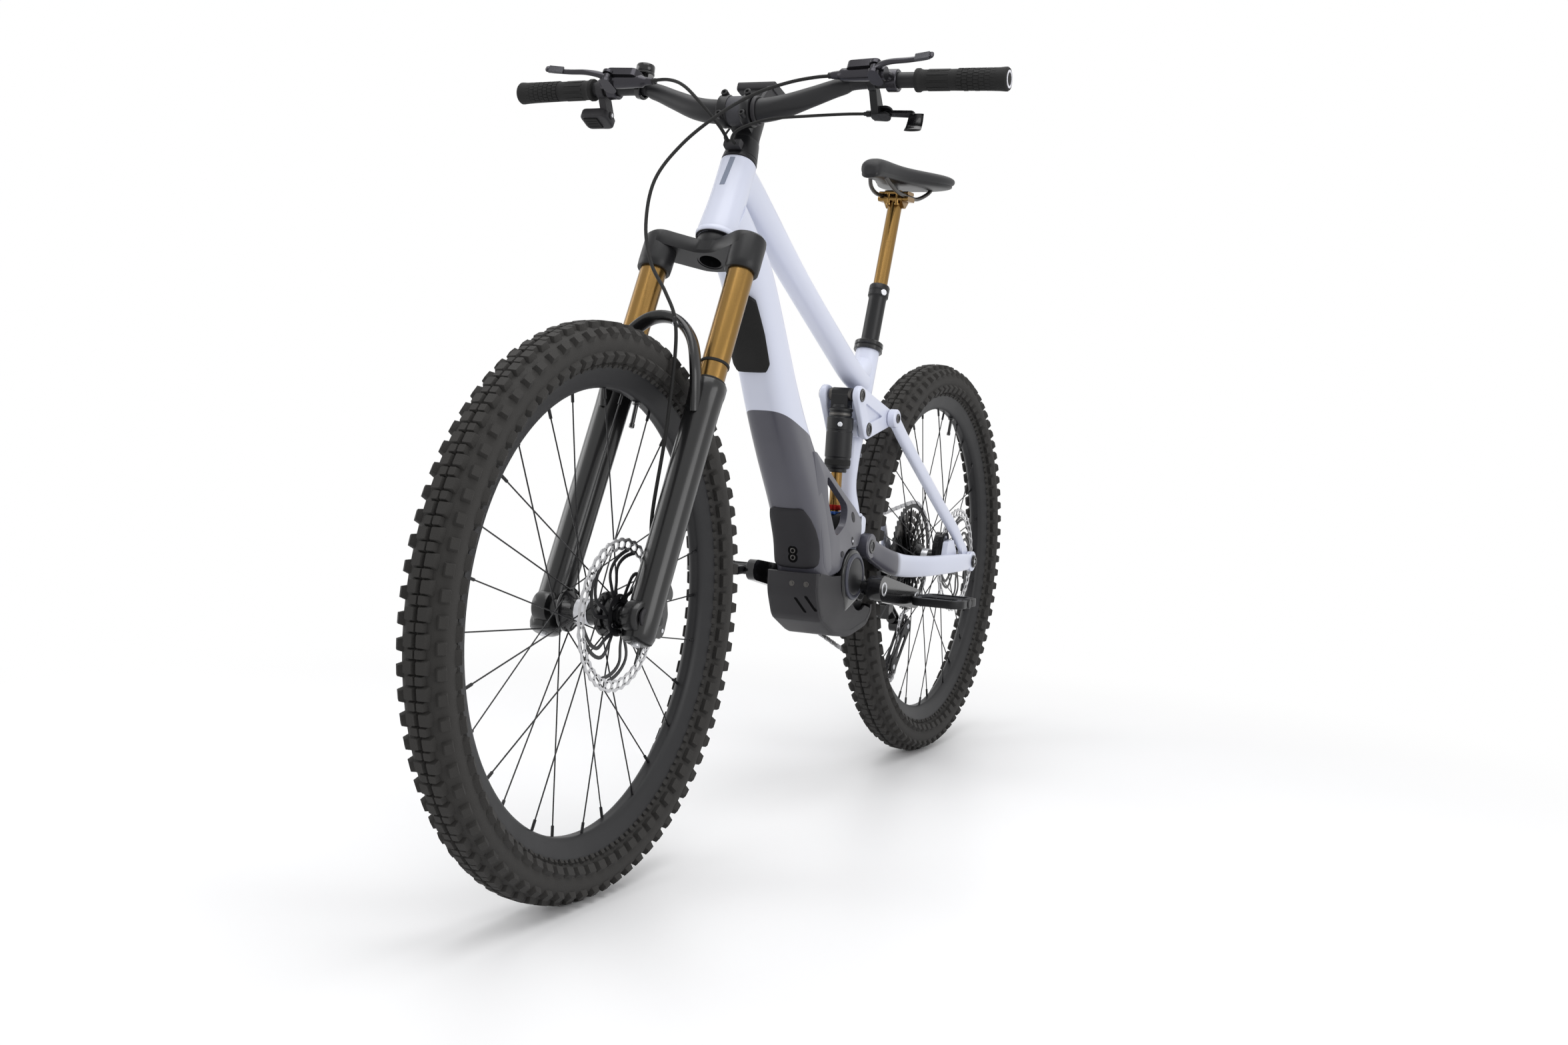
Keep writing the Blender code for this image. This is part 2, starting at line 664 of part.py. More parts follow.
def rotor(centre, y, radius):
    """Brake rotor: a braking band, six arms and the ring that fits the hub."""
    half = ROTOR_THICK / 2
    band = pipe(at_y(centre, y - half), at_y(centre, y + half), radius, radius - ROTOR_BAND, 26)
    carrier = pipe(at_y(centre, y - half), at_y(centre, y + half), 0.0270, 0.0165 + 2 * GAP, 16)
    arms = []
    for i in range(6):
        a = 2 * pi * i / 6
        arms.append(link([(in_plane(centre, 0.0245, a), 0.0050),
                          (in_plane(centre, radius - ROTOR_BAND + 0.003, a + 0.45), 0.0040)],
                         y - half + 0.0002, y + half - 0.0002, 6))
    return fuse(fuse(band, joined(arms)), carrier)


def caliper(centre, angle, rotor_radius, rotor_y, y0, y1):
    """Brake caliper round the edge of a rotor."""
    middle = rotor_radius - 0.011
    body = link([(in_plane(centre, middle, angle - 0.16), 0.0150),
                 (in_plane(centre, middle, angle + 0.16), 0.0150)],
                y0, y1, 12)
    slot = cross_rod(*centre, rotor_y - 0.0017, rotor_y + 0.0017, rotor_radius + 0.0015, 40)
    return cut(body, slot)


# Fork, in the steering frame

FORK_SIDE = STANCHION_SPREAD / 2


def fork_upper():
    """Steerer, crown and the two stanchions."""
    crown = HEAD_LOW - GAP
    body = turned([(0, CROWN_CENTRE_LOW), (0.0300, CROWN_CENTRE_LOW), (0.0262, crown),
                   (STEERER_LOW_RADIUS, crown),
                   (STEERER_LOW_RADIUS, HEAD_LOW + 0.015), (STEERER_RADIUS, HEAD_LOW + 0.045),
                   (STEERER_RADIUS, STEERER_HIGH),
                   (0, STEERER_HIGH)], (0, 0, 0), (0, 0, 1), 20)
    for side in (-1, 1):
        y = side * FORK_SIDE
        arm = slab(hull_outline([((0, side * 0.006), 0.0280), ((STANCHION_AHEAD, y), 0.0210)], 12),
                   CROWN_CENTRE_LOW + 0.0005, CROWN_HIGH + 0.004)
        socket = rod((STANCHION_AHEAD, y, CROWN_LOW), (STANCHION_AHEAD, y, CROWN_HIGH + 0.001),
                     CROWN_SOCKET_RADIUS, 18)
        stanchion = rod((STANCHION_AHEAD, y, STANCHION_BOTTOM), (STANCHION_AHEAD, y, CROWN_HIGH - 0.004),
                        STANCHION_RADIUS, 18)
        body = fuse(body, arm, socket, stanchion)
    holes = [rod((0, 0, CROWN_LOW + 0.02), (0, 0, STEERER_HIGH + 0.01), STEERER_BORE, 16)]
    for side in (-1, 1):
        y = side * FORK_SIDE
        holes.append(rod((STANCHION_AHEAD, y, STANCHION_BOTTOM - 0.01),
                         (STANCHION_AHEAD, y, CROWN_HIGH - 0.012),
                         STANCHION_RADIUS - STANCHION_WALL, 14))
    return cut(body, *holes)


def arch():
    """Arch between the legs, bowed forward over the tyre."""
    half = [(0.0755, 0.0270, LEG_TOP + 0.067), (0.0715, 0.0510, LEG_TOP + 0.041),
            (0.0650, 0.0655, LEG_TOP - 0.003),
            (0.0430, 0.0690, LEG_TOP - 0.045)]
    route = [(x, -y, z) for x, y, z in reversed(half)] + [(ARCH_AHEAD, 0.0, LEG_TOP + 0.074)] + half
    rings = []
    for i, (x, y, z) in enumerate(route):
        before, after = route[max(i - 1, 0)], route[min(i + 1, len(route) - 1)]
        along = (Vector(after) - Vector(before)).normalized()
        over = (Vector((1, 0, 0)) - along * along.x).normalized()
        across = along.cross(over)
        ring = []
        for k in range(10):
            t = 2 * pi * (k + 0.5) / 10
            ring.append(Vector((x, y, z)) + over * (0.0125 * cos(t)) + across * (0.0072 * sin(t)))
        rings.append(ring)
    return loft(rings)


def fork_lowers():
    """Both legs with the arch, the dropouts and the brake's mount."""
    inner = FRONT_HUB_WIDTH / 2 + GAP
    body = arch()
    tools = []
    for side in (-1, 1):
        y = side * FORK_SIDE
        leg = cone((STANCHION_AHEAD, y, LEG_LOW), (STANCHION_AHEAD, y, LEG_TOP), LEG_RADIUS_LOW,
                   LEG_RADIUS_TOP, 18)
        ends = sorted((side * 0.0480, side * (inner + FRONT_DROPOUT_THICK)))
        dropout = cross_rod(FORK_OFFSET, 0, *ends, DROPOUT_RADIUS, 16)
        body = fuse(body, leg, dropout, solver="MANIFOLD")
        tools.append(bore((STANCHION_AHEAD, y, LEG_BORE_LOW), (STANCHION_AHEAD, y, LEG_TOP + 0.06),
                          STANCHION_RADIUS + RUNNING, 18))
        tools.append(cross_rod(FORK_OFFSET, 0, *sorted((side * 0.040, side * inner)), 0.0252, 18))
        tools.append(cross_rod(FORK_OFFSET, 0, *sorted((side * (inner + FRONT_DROPOUT_THICK), side * 0.12)),
                               0.0135))
    tab = link([((0.012, 0.008), 0.009), ((0.012, 0.078), 0.009), ((-0.034, 0.060), 0.008),
                ((-0.027, 0.004), 0.008)],
               0.0566, 0.0640, 8)
    body = fuse(body, tab, solver="MANIFOLD")
    tools.append(cross_bore(FORK_OFFSET, 0, -0.1, 0.1, AXLE_RADIUS + GAP))
    return cut(body, *tools, solver="MANIFOLD")


def front_axle():
    """Through axle with its head on the left."""
    reach = FRONT_HUB_WIDTH / 2 + GAP + FRONT_DROPOUT_THICK
    pin = cross_rod(FORK_OFFSET, 0, -reach, reach + 0.001, AXLE_RADIUS)
    head = cross_rod(FORK_OFFSET, 0, reach + GAP, reach + 0.004, 0.0120)
    return fuse(pin, head)


# Cockpit, in the steering frame

def headset_cover():
    """Tall tapered cover over the upper bearing."""
    inner = STEERER_RADIUS + GAP
    low, high = HEAD_HIGH + GAP, COVER_HIGH
    return turned([(COVER_RADIUS_LOW, low), (COVER_RADIUS_LOW, low + 0.008), (COVER_RADIUS_HIGH, high),
                   (inner, high), (inner, low)], (0, 0, 0), (0, 0, 1), 24, ring=True)


def stem():
    """Stem with its bar clamp and top cap."""
    y_clamp = STEM_CLAMP_WIDTH / 2
    x, z = BAR[0][1], BAR[0][2] + COCKPIT_RISE
    clamp = cross_rod(x, z, -y_clamp, y_clamp, BAR[0][3] + STEM_WALL, 20)
    post = rod((0, 0, COVER_HIGH + GAP), (0, 0, STEM_HIGH), 0.0198, 20)
    neck = prism([(-0.004, STEM_HIGH - 0.038), (0.030, STEM_HIGH - 0.032), (0.030, STEM_HIGH - 0.006),
                  (-0.004, STEM_HIGH - 0.004)], -0.0165, 0.0165)
    cap = rod((0, 0, STEM_HIGH - 0.001), (0, 0, STEM_HIGH + 0.006), 0.0160, 16)
    slot = block((x + 0.0200, -0.0040, z - 0.03), (x + 0.05, 0.0040, z + 0.03))
    body = fuse(clamp, post, neck, cap, solver="MANIFOLD")
    return cut(body, rod((0, 0, COVER_HIGH - 0.01), (0, 0, STEERER_HIGH + GAP), STEERER_RADIUS + 2 * GAP, 20),
               cross_rod(x, z, -0.05, 0.05, BAR[0][3] + 2 * GAP, 20), slot, solver="MANIFOLD")


def bar_centre(y):
    """Point of the bar's straight outer part."""
    _, x0, z0, _ = BAR[-2]
    y1, x1, z1, _ = BAR[-1]
    share = (abs(y) - BAR[-2][0]) / (y1 - BAR[-2][0])
    return Vector((x0 + (x1 - x0) * share, y, z0 + (z1 - z0) * share))


def bar_ring(y0, y1, outer):
    """Ring clamped round the bar's outer part, with its bore still to be cut."""
    return rod(bar_centre(y0), bar_centre(y1), outer, 16)


def bar_hole(side):
    """Tool for the bar's hole in whatever is clamped to its outer part."""
    return bore(bar_centre(side * 0.150), bar_centre(side * 0.3923), BAR[-1][3] + GAP, 14)


def handlebar():
    """Riser bar, flared where the stem holds it, hollow from end to end."""
    half = [(Vector((x, y, z)), r) for y, x, z, r in BAR]
    other = [(Vector((x, -y, z)), r) for y, x, z, r in BAR[1:]]
    whole = other[::-1] + half
    outer = swept([p for p, _ in whole], [r for _, r in whole], 3)
    ends = [bar_centre(-0.400)] + [p for p, _ in whole[1:-1]] + [bar_centre(0.400)]
    radii = [0.0090] + [max(0.0090, r - 0.0024) for _, r in whole[1:-1]] + [0.0090]
    return cut(outer, swept(ends, radii, 1))


def grip(side):
    """Grip with a closed outer end."""
    start, stop = bar_centre(side * (0.392 - GRIP_LENGTH)), bar_centre(side * 0.392)
    direction = (stop - start).normalized()
    inner, length = BAR[-1][3] + GAP, (stop - start).length
    cap = length + GRIP_CAP
    profile = [(0, cap), (GRIP_RADIUS, cap), (GRIP_RADIUS, 0), (inner, 0), (inner, length + GAP),
               (0, length + GAP)]
    return turned(profile, start, direction, 16)


def brake_body():
    """Master cylinder and clamp of the left brake lever."""
    ring = bar_ring(BRAKE_CLAMP_Y - 0.008, BRAKE_CLAMP_Y + 0.008, 0.0160)
    neck = rod((0.042, BRAKE_CLAMP_Y, 0.832), (0.066, BRAKE_CLAMP_Y - 0.008, 0.823), 0.0080, 8)
    cylinder = rod((0.062, 0.150, 0.824), (0.066, 0.226, 0.822), 0.0105, 12)
    lug = slab(hull_outline([((0.078, LEVER_PIVOT_Y), 0.0085), ((0.062, LEVER_PIVOT_Y), 0.0100)], 10), 0.8120,
               0.8320)
    body = fuse(ring, neck, cylinder, lug)
    slot = block((0.0715, LEVER_PIVOT_Y - 0.016, 0.8175), (0.110, 0.260, 0.8265))
    pin = bore((0.078, LEVER_PIVOT_Y, 0.80), (0.078, LEVER_PIVOT_Y, 0.84), 0.0030 + GAP, 10)
    return cut(body, slot, pin, bar_hole(1))


def brake_lever():
    """Blade of the left brake lever with its pivot pin."""
    low, high = 0.8180, 0.8260
    eye = rod((0.078, LEVER_PIVOT_Y, low), (0.078, LEVER_PIVOT_Y, high), 0.0060, 12)
    root = slab(hull_outline([((0.0785, LEVER_PIVOT_Y), 0.0050), ((0.0900, 0.236), 0.0045)], 8), low + 0.0003,
                high - 0.0003)
    blade = slab(hull_outline([((0.0900, 0.236), 0.0043), ((0.0970, 0.302), 0.0040)], 8), low + 0.0006,
                 high - 0.0006)
    pin = rod((0.078, LEVER_PIVOT_Y, 0.8125), (0.078, LEVER_PIVOT_Y, 0.8315), 0.0030, 10)
    return fuse(eye, root, blade, pin)


def shifter_pod():
    """Electronic shifter's housing on its bracket."""
    ring = bar_ring(-0.2400, -0.2520, 0.0150)
    arm = prism([(0.024, 0.834), (0.014, 0.828), (-0.004, 0.812), (-0.004, 0.801), (0.010, 0.803),
                 (0.036, 0.824)],
                -0.2518, -0.2402)
    pod = block((-0.016, -0.286, 0.797), (0.020, -0.2390, 0.812))
    body = fuse(ring, arm, pod)
    well = block((-0.010, -0.280, 0.7925), (0.014, -0.256, 0.8020))
    return cut(body, bar_hole(-1), well)


def shifter_button():
    """Push plate in the shifter's underside."""
    return block((-0.0097, -0.2797, 0.7940), (0.0137, -0.2563, 0.7988))


def dropper_remote():
    """Seat post lever's body on its bar clamp."""
    ring = bar_ring(REMOTE_Y - 0.006, REMOTE_Y + 0.006, 0.0150)
    arm = prism([(0.024, 0.832), (0.010, 0.826), (-0.012, 0.812), (-0.012, 0.799), (0.004, 0.800),
                 (0.034, 0.823)],
                REMOTE_Y - 0.0058, REMOTE_Y + 0.0058)
    barrel = rod((-0.003, REMOTE_Y - 0.020, 0.806), (-0.003, REMOTE_Y + 0.002, 0.806), 0.0042, 12)
    lug = rod((-0.003, REMOTE_Y + 0.012, 0.7990), (-0.003, REMOTE_Y + 0.012, 0.8130), 0.0095, 16)
    body = fuse(ring, arm, barrel, lug)
    slot = block((-0.020, REMOTE_Y + 0.0062, 0.8025), (0.020, 0.260, 0.8095))
    pin = bore((-0.003, REMOTE_Y + 0.012, 0.79), (-0.003, REMOTE_Y + 0.012, 0.82), 0.0025 + GAP, 12)
    return cut(body, slot, pin, bar_hole(1))


def remote_paddle():
    """Thumb paddle of the seat post lever with its pin."""
    eye = rod((-0.003, REMOTE_Y + 0.012, 0.8030), (-0.003, REMOTE_Y + 0.012, 0.8090), 0.0055, 16)
    arm = slab(hull_outline([((-0.003, REMOTE_Y + 0.0125), 0.0045), ((-0.006, 0.246), 0.0055)], 12), 0.8032,
               0.8088)
    paddle = prism([(-0.012, 0.8086), (-0.014, 0.786), (-0.009, 0.779), (-0.006, 0.780), (-0.005, 0.8086)],
                   0.2400, 0.2660)
    pin = rod((-0.003, REMOTE_Y + 0.012, 0.7995), (-0.003, REMOTE_Y + 0.012, 0.8125), 0.0025, 12)
    return fuse(eye, arm, paddle, pin)


def display():
    """Trip computer on its bar mount, beside and above the stem."""
    x, z, r = BAR[1][1], BAR[1][2], BAR[1][3]
    ring = cross_rod(x, z, 0.0275, 0.0345, r + 0.0035, 20)
    arm = prism([(0.046, 0.794), (0.034, 0.794), (0.004, 0.834), (0.012, 0.842), (0.030, 0.836)], 0.0277,
                0.0343)
    box = prism([(-0.034, 0.841), (0.026, 0.832), (0.028, 0.846), (-0.032, 0.857)], -0.024, 0.036)
    hole = cross_rod(x, z, 0.02, 0.0352, r + GAP, 24)
    return cut(fuse(ring, arm, box), hole)


def bell():
    """Small bell on its band."""
    inner, outer = (Vector((x, -y, z)) for y, x, z, _ in BAR[4:6])
    along = (outer - inner).normalized()
    centre = inner + along * (BELL_Y - BAR[4][0])
    band = rod(centre - along * 0.005, centre + along * 0.005, 0.0155)
    stalk = rod(centre + Vector((0.002, 0, 0.010)), centre + Vector((0.008, 0, 0.024)), 0.0045, 10)
    dome = turned([(0, 0), (0.0125, 0), (0.0135, 0.006), (0.0105, 0.012), (0, 0.015)],
                  centre + Vector((0.008, 0, 0.022)), (0.35, 0, 1), 16)
    return cut(fuse(band, stalk, dome), bore(centre - along * 0.02, centre + along * 0.02, 0.0122))


def control_cables():
    """Rear brake hose, seat post cable and display lead, up to the port on the headset cover."""
    port = block((0.0275, -0.0125, 0.7265), (0.0365, 0.0125, 0.7400))
    hose = tube([(0.0640, -0.149, 0.8240), (0.0740, -0.110, 0.8170), (0.0830, -0.075, 0.7980),
                 (0.0800, -0.040, 0.7680),
                 (0.0580, -0.012, 0.7430), (0.0320, -0.006, 0.7340)], 0.0025, 2, 1)
    cable = tube([(-0.0030, 0.1750, 0.8060), (0.0080, 0.150, 0.7980), (0.0350, 0.110, 0.7760),
                  (0.0620, 0.065, 0.7520),
                  (0.0680, 0.028, 0.7330), (0.0520, 0.008, 0.7290), (0.0330, 0.005, 0.7310)], 0.0022, 2, 1)
    lead = tube([(-0.0080, -0.0275, 0.8400), (-0.0090, -0.0300, 0.8150), (0.0020, -0.0300, 0.7840),
                 (0.0180, -0.0250, 0.7560), (0.0310, -0.0095, 0.7345)], 0.0016, 2, 0)
    return fuse(port, hose, cable, lead)


def front_brake_hose():
    """Hose from the left lever down to the fork's caliper."""
    return tube([(0.0620, 0.1490, 0.8240), (0.0660, 0.120, 0.8190), (0.0740, 0.085, 0.8050),
                 (0.0860, 0.045, 0.7780),
                 (0.0980, 0.005, 0.7350), (0.1050, -0.035, 0.6800), (0.1060, -0.060, 0.6200),
                 (0.1020, -0.055, 0.5500),
                 (0.1000, -0.030, 0.4900), (0.0990, 0.005, 0.4450), (0.0960, 0.030, 0.4050),
                 (0.0840, 0.040, 0.3500),
                 (0.0560, 0.0420, 0.2500), (0.0300, 0.0420, 0.1400), (-0.0020, 0.0455, 0.0950),
                 (-0.0240, 0.0480, 0.0660)], 0.0025, 2, 1)


# Frame

def front_frame():
    """Head tube, top tube, down tube, seat tube and the shock's bracket, one welded piece."""
    head = path_loft([(*head_point(d), w, n) for d, w, n in
                      ((HEAD_LOW, 0.030, 0.030), (HEAD_LOW + 0.014, 0.0296, 0.0296),
                       (HEAD_LOW + 0.065, 0.0262, 0.0255),
                       (HEAD_HIGH, 0.0258, 0.0250))], power=2.2, count=18)
    seat_low = seat_point(-0.150)
    seat = rod(at_y(seat_low, 0), at_y(SEAT_TUBE_TOP, 0), SEAT_TUBE_RADIUS, 20)
    boss = cross_rod(*ROCKER_PIVOT, -0.0203, 0.0203, 0.0145)
    lug = link([(MAIN_PIVOT, 0.0200), (framed(-0.196, 0.446), 0.0150), (framed(-0.208, 0.462), 0.0140)],
               -0.0280, 0.0280, 14)
    plate = drawn([(0.048, 0.596), (-0.156, 0.486), (-0.184, 0.466), (-0.189, 0.446), (-0.168, 0.413),
                   (-0.130, 0.402), (-0.110, 0.386),
             (-0.030, 0.373), (-0.008, 0.392), (0.004, 0.450)])
    window = drawn([(-0.022, 0.546), (-0.118, 0.4915), (-0.114, 0.462), (-0.074, 0.441), (-0.036, 0.497)])
    plates = []
    for side in (-1, 1):
        ends = sorted((side * BRACKET_INNER, side * (BRACKET_INNER + BRACKET_THICK)))
        plates.append(cut(prism(plate, *ends), prism(window, -0.05, 0.05),
                          cross_rod(*MOTOR_CAP, 0, 0.06, MOTOR_CAP_RADIUS + 0.0015, 24)))
    cross = prism(drawn([(-0.201, 0.447), (-0.179, 0.447), (-0.179, 0.468), (-0.201, 0.472)]), -0.0404, 0.0404)
    body = fuse(path_loft(DOWN_TUBE), head, path_loft(TOP_TUBE), seat, path_loft(SEAT_WEB), boss, lug, cross,
                *plates,
                solver="MANIFOLD")
    low, high = head_point(HEAD_LOW - 0.01), head_point(HEAD_HIGH + 0.01)
    step = head_point(HEAD_LOW + 0.055)
    cell_low = in_plane(BATTERY_LOW, -0.060, BATTERY_LINE)
    cell_high = in_plane(BATTERY_LOW, BATTERY_LENGTH + 0.005, BATTERY_LINE)
    play = BATTERY_PLAY
    cell = path_loft([(*cell_low, BATTERY_HALF_WIDTH + play, BATTERY_HALF_DEPTH + play),
                      (*cell_high, BATTERY_HALF_WIDTH + play, BATTERY_HALF_DEPTH + play)])
    port_low = in_plane(BATTERY_LOW, -0.052, BATTERY_LINE)
    port_high = in_plane(BATTERY_LOW, -0.012, BATTERY_LINE)
    out = BATTERY_LINE - pi / 2
    port = prism([port_low, port_high, in_plane(port_high, 0.07, out), in_plane(port_low, 0.07, out)], -0.018,
                 0.018)
    tools = [bore(at_y(low, 0), at_y(step, 0), 0.0205, 20), bore(at_y(low, 0), at_y(high, 0), 0.0165, 20),
             rod(at_y(head_point(HEAD_LOW - 0.05), 0), at_y(head_point(HEAD_LOW), 0), 0.060),
             rod(at_y(head_point(HEAD_HIGH), 0), at_y(head_point(HEAD_HIGH + 0.05), 0), 0.060),
             rod(at_y(seat_point(-POST_INSERTION - 0.003), 0), at_y(seat_point(0.01), 0),
                 (POST_OUTER_RADIUS + GAP) / cos(pi / 20), 20),
             cell, port, prism(offset_outline(MOTOR, 2 * GAP), -MOTOR_HALF_WIDTH - GAP,
                               MOTOR_HALF_WIDTH + GAP)]
    for pivot, radius in ((MAIN_PIVOT, PIVOT_PIN_RADIUS), (ROCKER_PIVOT, PIVOT_PIN_RADIUS),
                          (SHOCK_BOTTOM, PIVOT_PIN_RADIUS)):
        tools.append(cross_bore(*pivot, -0.06, 0.06, radius + RUNNING))
    return cut(body, *tools, solver="MANIFOLD")


def battery_pack():
    """Long battery inside the down tube."""
    low = in_plane(BATTERY_LOW, 0.0, BATTERY_LINE)
    high = in_plane(BATTERY_LOW, BATTERY_LENGTH, BATTERY_LINE)
    return path_loft([(*low, BATTERY_HALF_WIDTH, BATTERY_HALF_DEPTH),
                      (*high, BATTERY_HALF_WIDTH, BATTERY_HALF_DEPTH)])


def tube_pad(thick, region, half_width):
    """Pad that follows the down tube's front, inside a region of the XZ plane."""
    shell = common(path_loft(DOWN_TUBE, thick), prism(drawn(region), -half_width, half_width))
    return cut(shell, path_loft(DOWN_TUBE, 2 * GAP))


def battery_cover():
    """Rubber guard over the battery's port."""
    return tube_pad(GUARD_THICK, [(-0.012, 0.462), (-0.022, 0.415), (0.010, 0.408), (0.080, 0.480),
                                  (0.066, 0.500), (0.006, 0.500)], 0.0280)


def down_tube_bumper():
    """Pad that the fork's crown would meet at full lock."""
    return tube_pad(BUMPER_THICK, [(0.222, 0.790), (0.188, 0.745), (0.240, 0.700), (0.300, 0.790),
                                   (0.270, 0.832),
                                   (0.250, 0.826)], 0.0200)


def motor_unit():
    """Mid motor with its round left cap and the spindle's bore."""
    body = prism(MOTOR, -MOTOR_HALF_WIDTH, MOTOR_HALF_WIDTH)
    cap = turned([(0, 0.020), (MOTOR_CAP_RADIUS, 0.020), (MOTOR_CAP_RADIUS, 0.044),
                  (MOTOR_CAP_RADIUS - 0.006, MOTOR_CAP_OUTER), (0, MOTOR_CAP_OUTER)], at_y(MOTOR_CAP, 0),
                 (0, 1, 0), 24)
    bosses = [cross_rod(*BOTTOM_BRACKET, -0.0400, -0.020, 0.0300, 20),
              cross_rod(*BOTTOM_BRACKET, 0.020, 0.0460, 0.0240, 20)]
    return cut(fuse(body, cap, *bosses), cross_bore(*BOTTOM_BRACKET, -0.06, 0.06,
                                                    CRANK_SPINDLE_RADIUS + RUNNING))


def motor_skid_plate():
    """Tray under the motor."""
    outline = drawn([(0.006, 0.386), (0.0055, 0.352), (-0.016, 0.308), (-0.079, 0.2775), (-0.150, 0.2690),
                     (-0.224, 0.2820),
               (-0.246, 0.302), (-0.246, 0.318), (-0.130, 0.345), (-0.060, 0.380)])
    inner = offset_outline(outline, -SKID_THICK)
    inner[0] = framed(0.0025, 0.420)
    inner[-4] = framed(-0.262, 0.305)
    inner[-3] = framed(-0.262, 0.330)
    inner[-2:] = drawn([(-0.130, 0.400), (-0.060, 0.420)])
    inner[6:7] = []
    wall = BRACKET_INNER + BRACKET_THICK + GAP
    tray = prism(outline, -wall - SKID_THICK, wall + SKID_THICK)
    return cut(tray, prism(inner, -wall, wall),
               cross_rod(*BOTTOM_BRACKET, -0.06, 0.06, 0.0400, 28),
               cross_rod(*MOTOR_CAP, 0, 0.06, MOTOR_CAP_RADIUS + 0.0070, 28))


# Rear suspension

def chainstay():
    """Both chainstays with the bridge and the main pivot's pin."""
    right = limb(drawn_limb([(-0.222, -0.0375, 0.417, 0.0085, 0.0190),
                             (-0.250, -0.0405, 0.405, 0.0085, 0.0195),
                  (-0.300, -0.0475, 0.388, 0.0075, 0.0210), (-0.380, -0.0540, 0.3765, 0.0090, 0.0200),
                  (-0.460, -0.0630, 0.374, 0.0100, 0.0185), (-0.520, -0.0735, 0.374, 0.0100, 0.0178),
                  (-0.580, -0.0863, 0.374, 0.0078, 0.0165), (-0.599, -0.0890, 0.374, 0.0053, 0.0158),
                  (-0.624, -0.0891, 0.374, 0.0053, 0.0150)]))
    left = limb(drawn_limb([(-0.222, 0.0395, 0.417, 0.0105, 0.0190), (-0.250, 0.0430, 0.405, 0.0105, 0.0195),
                 (-0.300, 0.0510, 0.388, 0.0110, 0.0210), (-0.370, 0.0560, 0.3775, 0.0095, 0.0200),
                 (-0.450, 0.0700, 0.374, 0.0100, 0.0185), (-0.520, 0.0790, 0.374, 0.0100, 0.0178),
                 (-0.580, 0.0863, 0.374, 0.0078, 0.0165), (-0.599, 0.0890, 0.374, 0.0053, 0.0158),
                 (-0.624, 0.0891, 0.374, 0.0053, 0.0150)]))
    eyes = [cross_rod(*MAIN_PIVOT, 0.0291, 0.0498, 0.0220, 16),
            cross_rod(*MAIN_PIVOT, -0.0458, -0.0291, 0.0220, 16),
            cross_rod(*AXLE_REAR, 0.0836, 0.0836 + REAR_END_THICK - 0.0001, 0.0190, 16),
            cross_rod(*AXLE_REAR, -0.0836 - REAR_END_THICK + 0.0001, -0.0836, 0.0190, 16)]
    pin = cross_rod(*MAIN_PIVOT, -0.044, 0.048, PIVOT_PIN_RADIUS)
    bridge = cross_rod(*framed(-0.2450, 0.4130), -0.042, 0.044, 0.0055, 10)
    tab = link([(framed(x, z), r) for x, z, r in ((-0.575, 0.392, 0.008), (-0.535, 0.388, 0.008),
                                                  (-0.560, 0.410, 0.0075),
                                                  (-0.540, 0.408, 0.0075))], 0.0658, 0.0765, 8)
    body = fuse(pin, eyes[0], eyes[1], left, right, bridge, eyes[2], eyes[3], tab)
    return cut(body, cross_bore(*AXLE_REAR, -0.1, 0.1, AXLE_RADIUS + GAP))


def rear_axle():
    """Through axle with its head on the left; the derailleur's mount holds its other end."""
    pin = cross_rod(*AXLE_REAR, -0.1050, 0.0952, AXLE_RADIUS)
    head = cross_rod(*AXLE_REAR, 0.0836 + REAR_END_THICK + GAP, 0.0990, 0.0120)
    return fuse(pin, head)


def seatstay():
    """Left seatstay, from the rocker's rear pivot to the axle."""
    beam = limb(drawn_limb([(-0.305, 0.0443, 0.634, 0.0078, 0.0130), (-0.360, 0.0500, 0.590, 0.0080, 0.0125),
                 (-0.500, 0.0660, 0.485, 0.0080, 0.0120), (-0.565, 0.0735, 0.438, 0.0076, 0.0120),
                 (-0.606, 0.07875, 0.400, 0.0043, 0.0120)]))
    top = cross_rod(*STAY_PIVOT, 0.0363, 0.0521, 0.0165, 16)
    tab = cross_rod(*AXLE_REAR, 0.0743, 0.0743 + REAR_TAB_THICK - 0.0001, 0.0180, 18)
    bridge = link([(AXLE_REAR, 0.0150), (framed(-0.606, 0.400), 0.0115)], 0.0745, 0.0830, 12)
    return cut(fuse(beam, top, tab, bridge), cross_bore(*AXLE_REAR, 0.05, 0.1, AXLE_RADIUS + RUNNING))


def rocker_link():
    """Two rocker plates on the pivot pin between them."""
    outer = ROCKER_INNER + ROCKER_THICK
    parts = []
    for side in (-1, 1):
        ends = sorted((side * ROCKER_INNER, side * outer))
        parts.append(link([(ROCKER_PIVOT, 0.0170), (STAY_PIVOT, 0.0155), (SHOCK_TOP, 0.0160)], *ends, 14))
        hollow = link([(toward(ROCKER_PIVOT, STAY_PIVOT, 0.42), 0.0060),
                       (toward(SHOCK_TOP, STAY_PIVOT, 0.40), 0.0060)],
                      *sorted((side * (outer - 0.004), side * (outer + 0.01))), 8)
        parts[-1] = cut(parts[-1], hollow)
        parts.append(cross_rod(*ROCKER_PIVOT, *sorted((side * 0.0208, side * (ROCKER_INNER + 0.002))), 0.0130))
        parts.append(cross_rod(*SHOCK_TOP, *sorted((side * (outer - 0.002), side * (outer + 0.003))), 0.0110,
                               16))
        parts.append(cross_rod(*ROCKER_PIVOT, *sorted((side * (outer - 0.002), side * (outer + 0.003))),
                               0.0115, 16))
    return fuse(cross_rod(*ROCKER_PIVOT, -0.030, 0.030, PIVOT_PIN_RADIUS), *parts, solver="MANIFOLD")


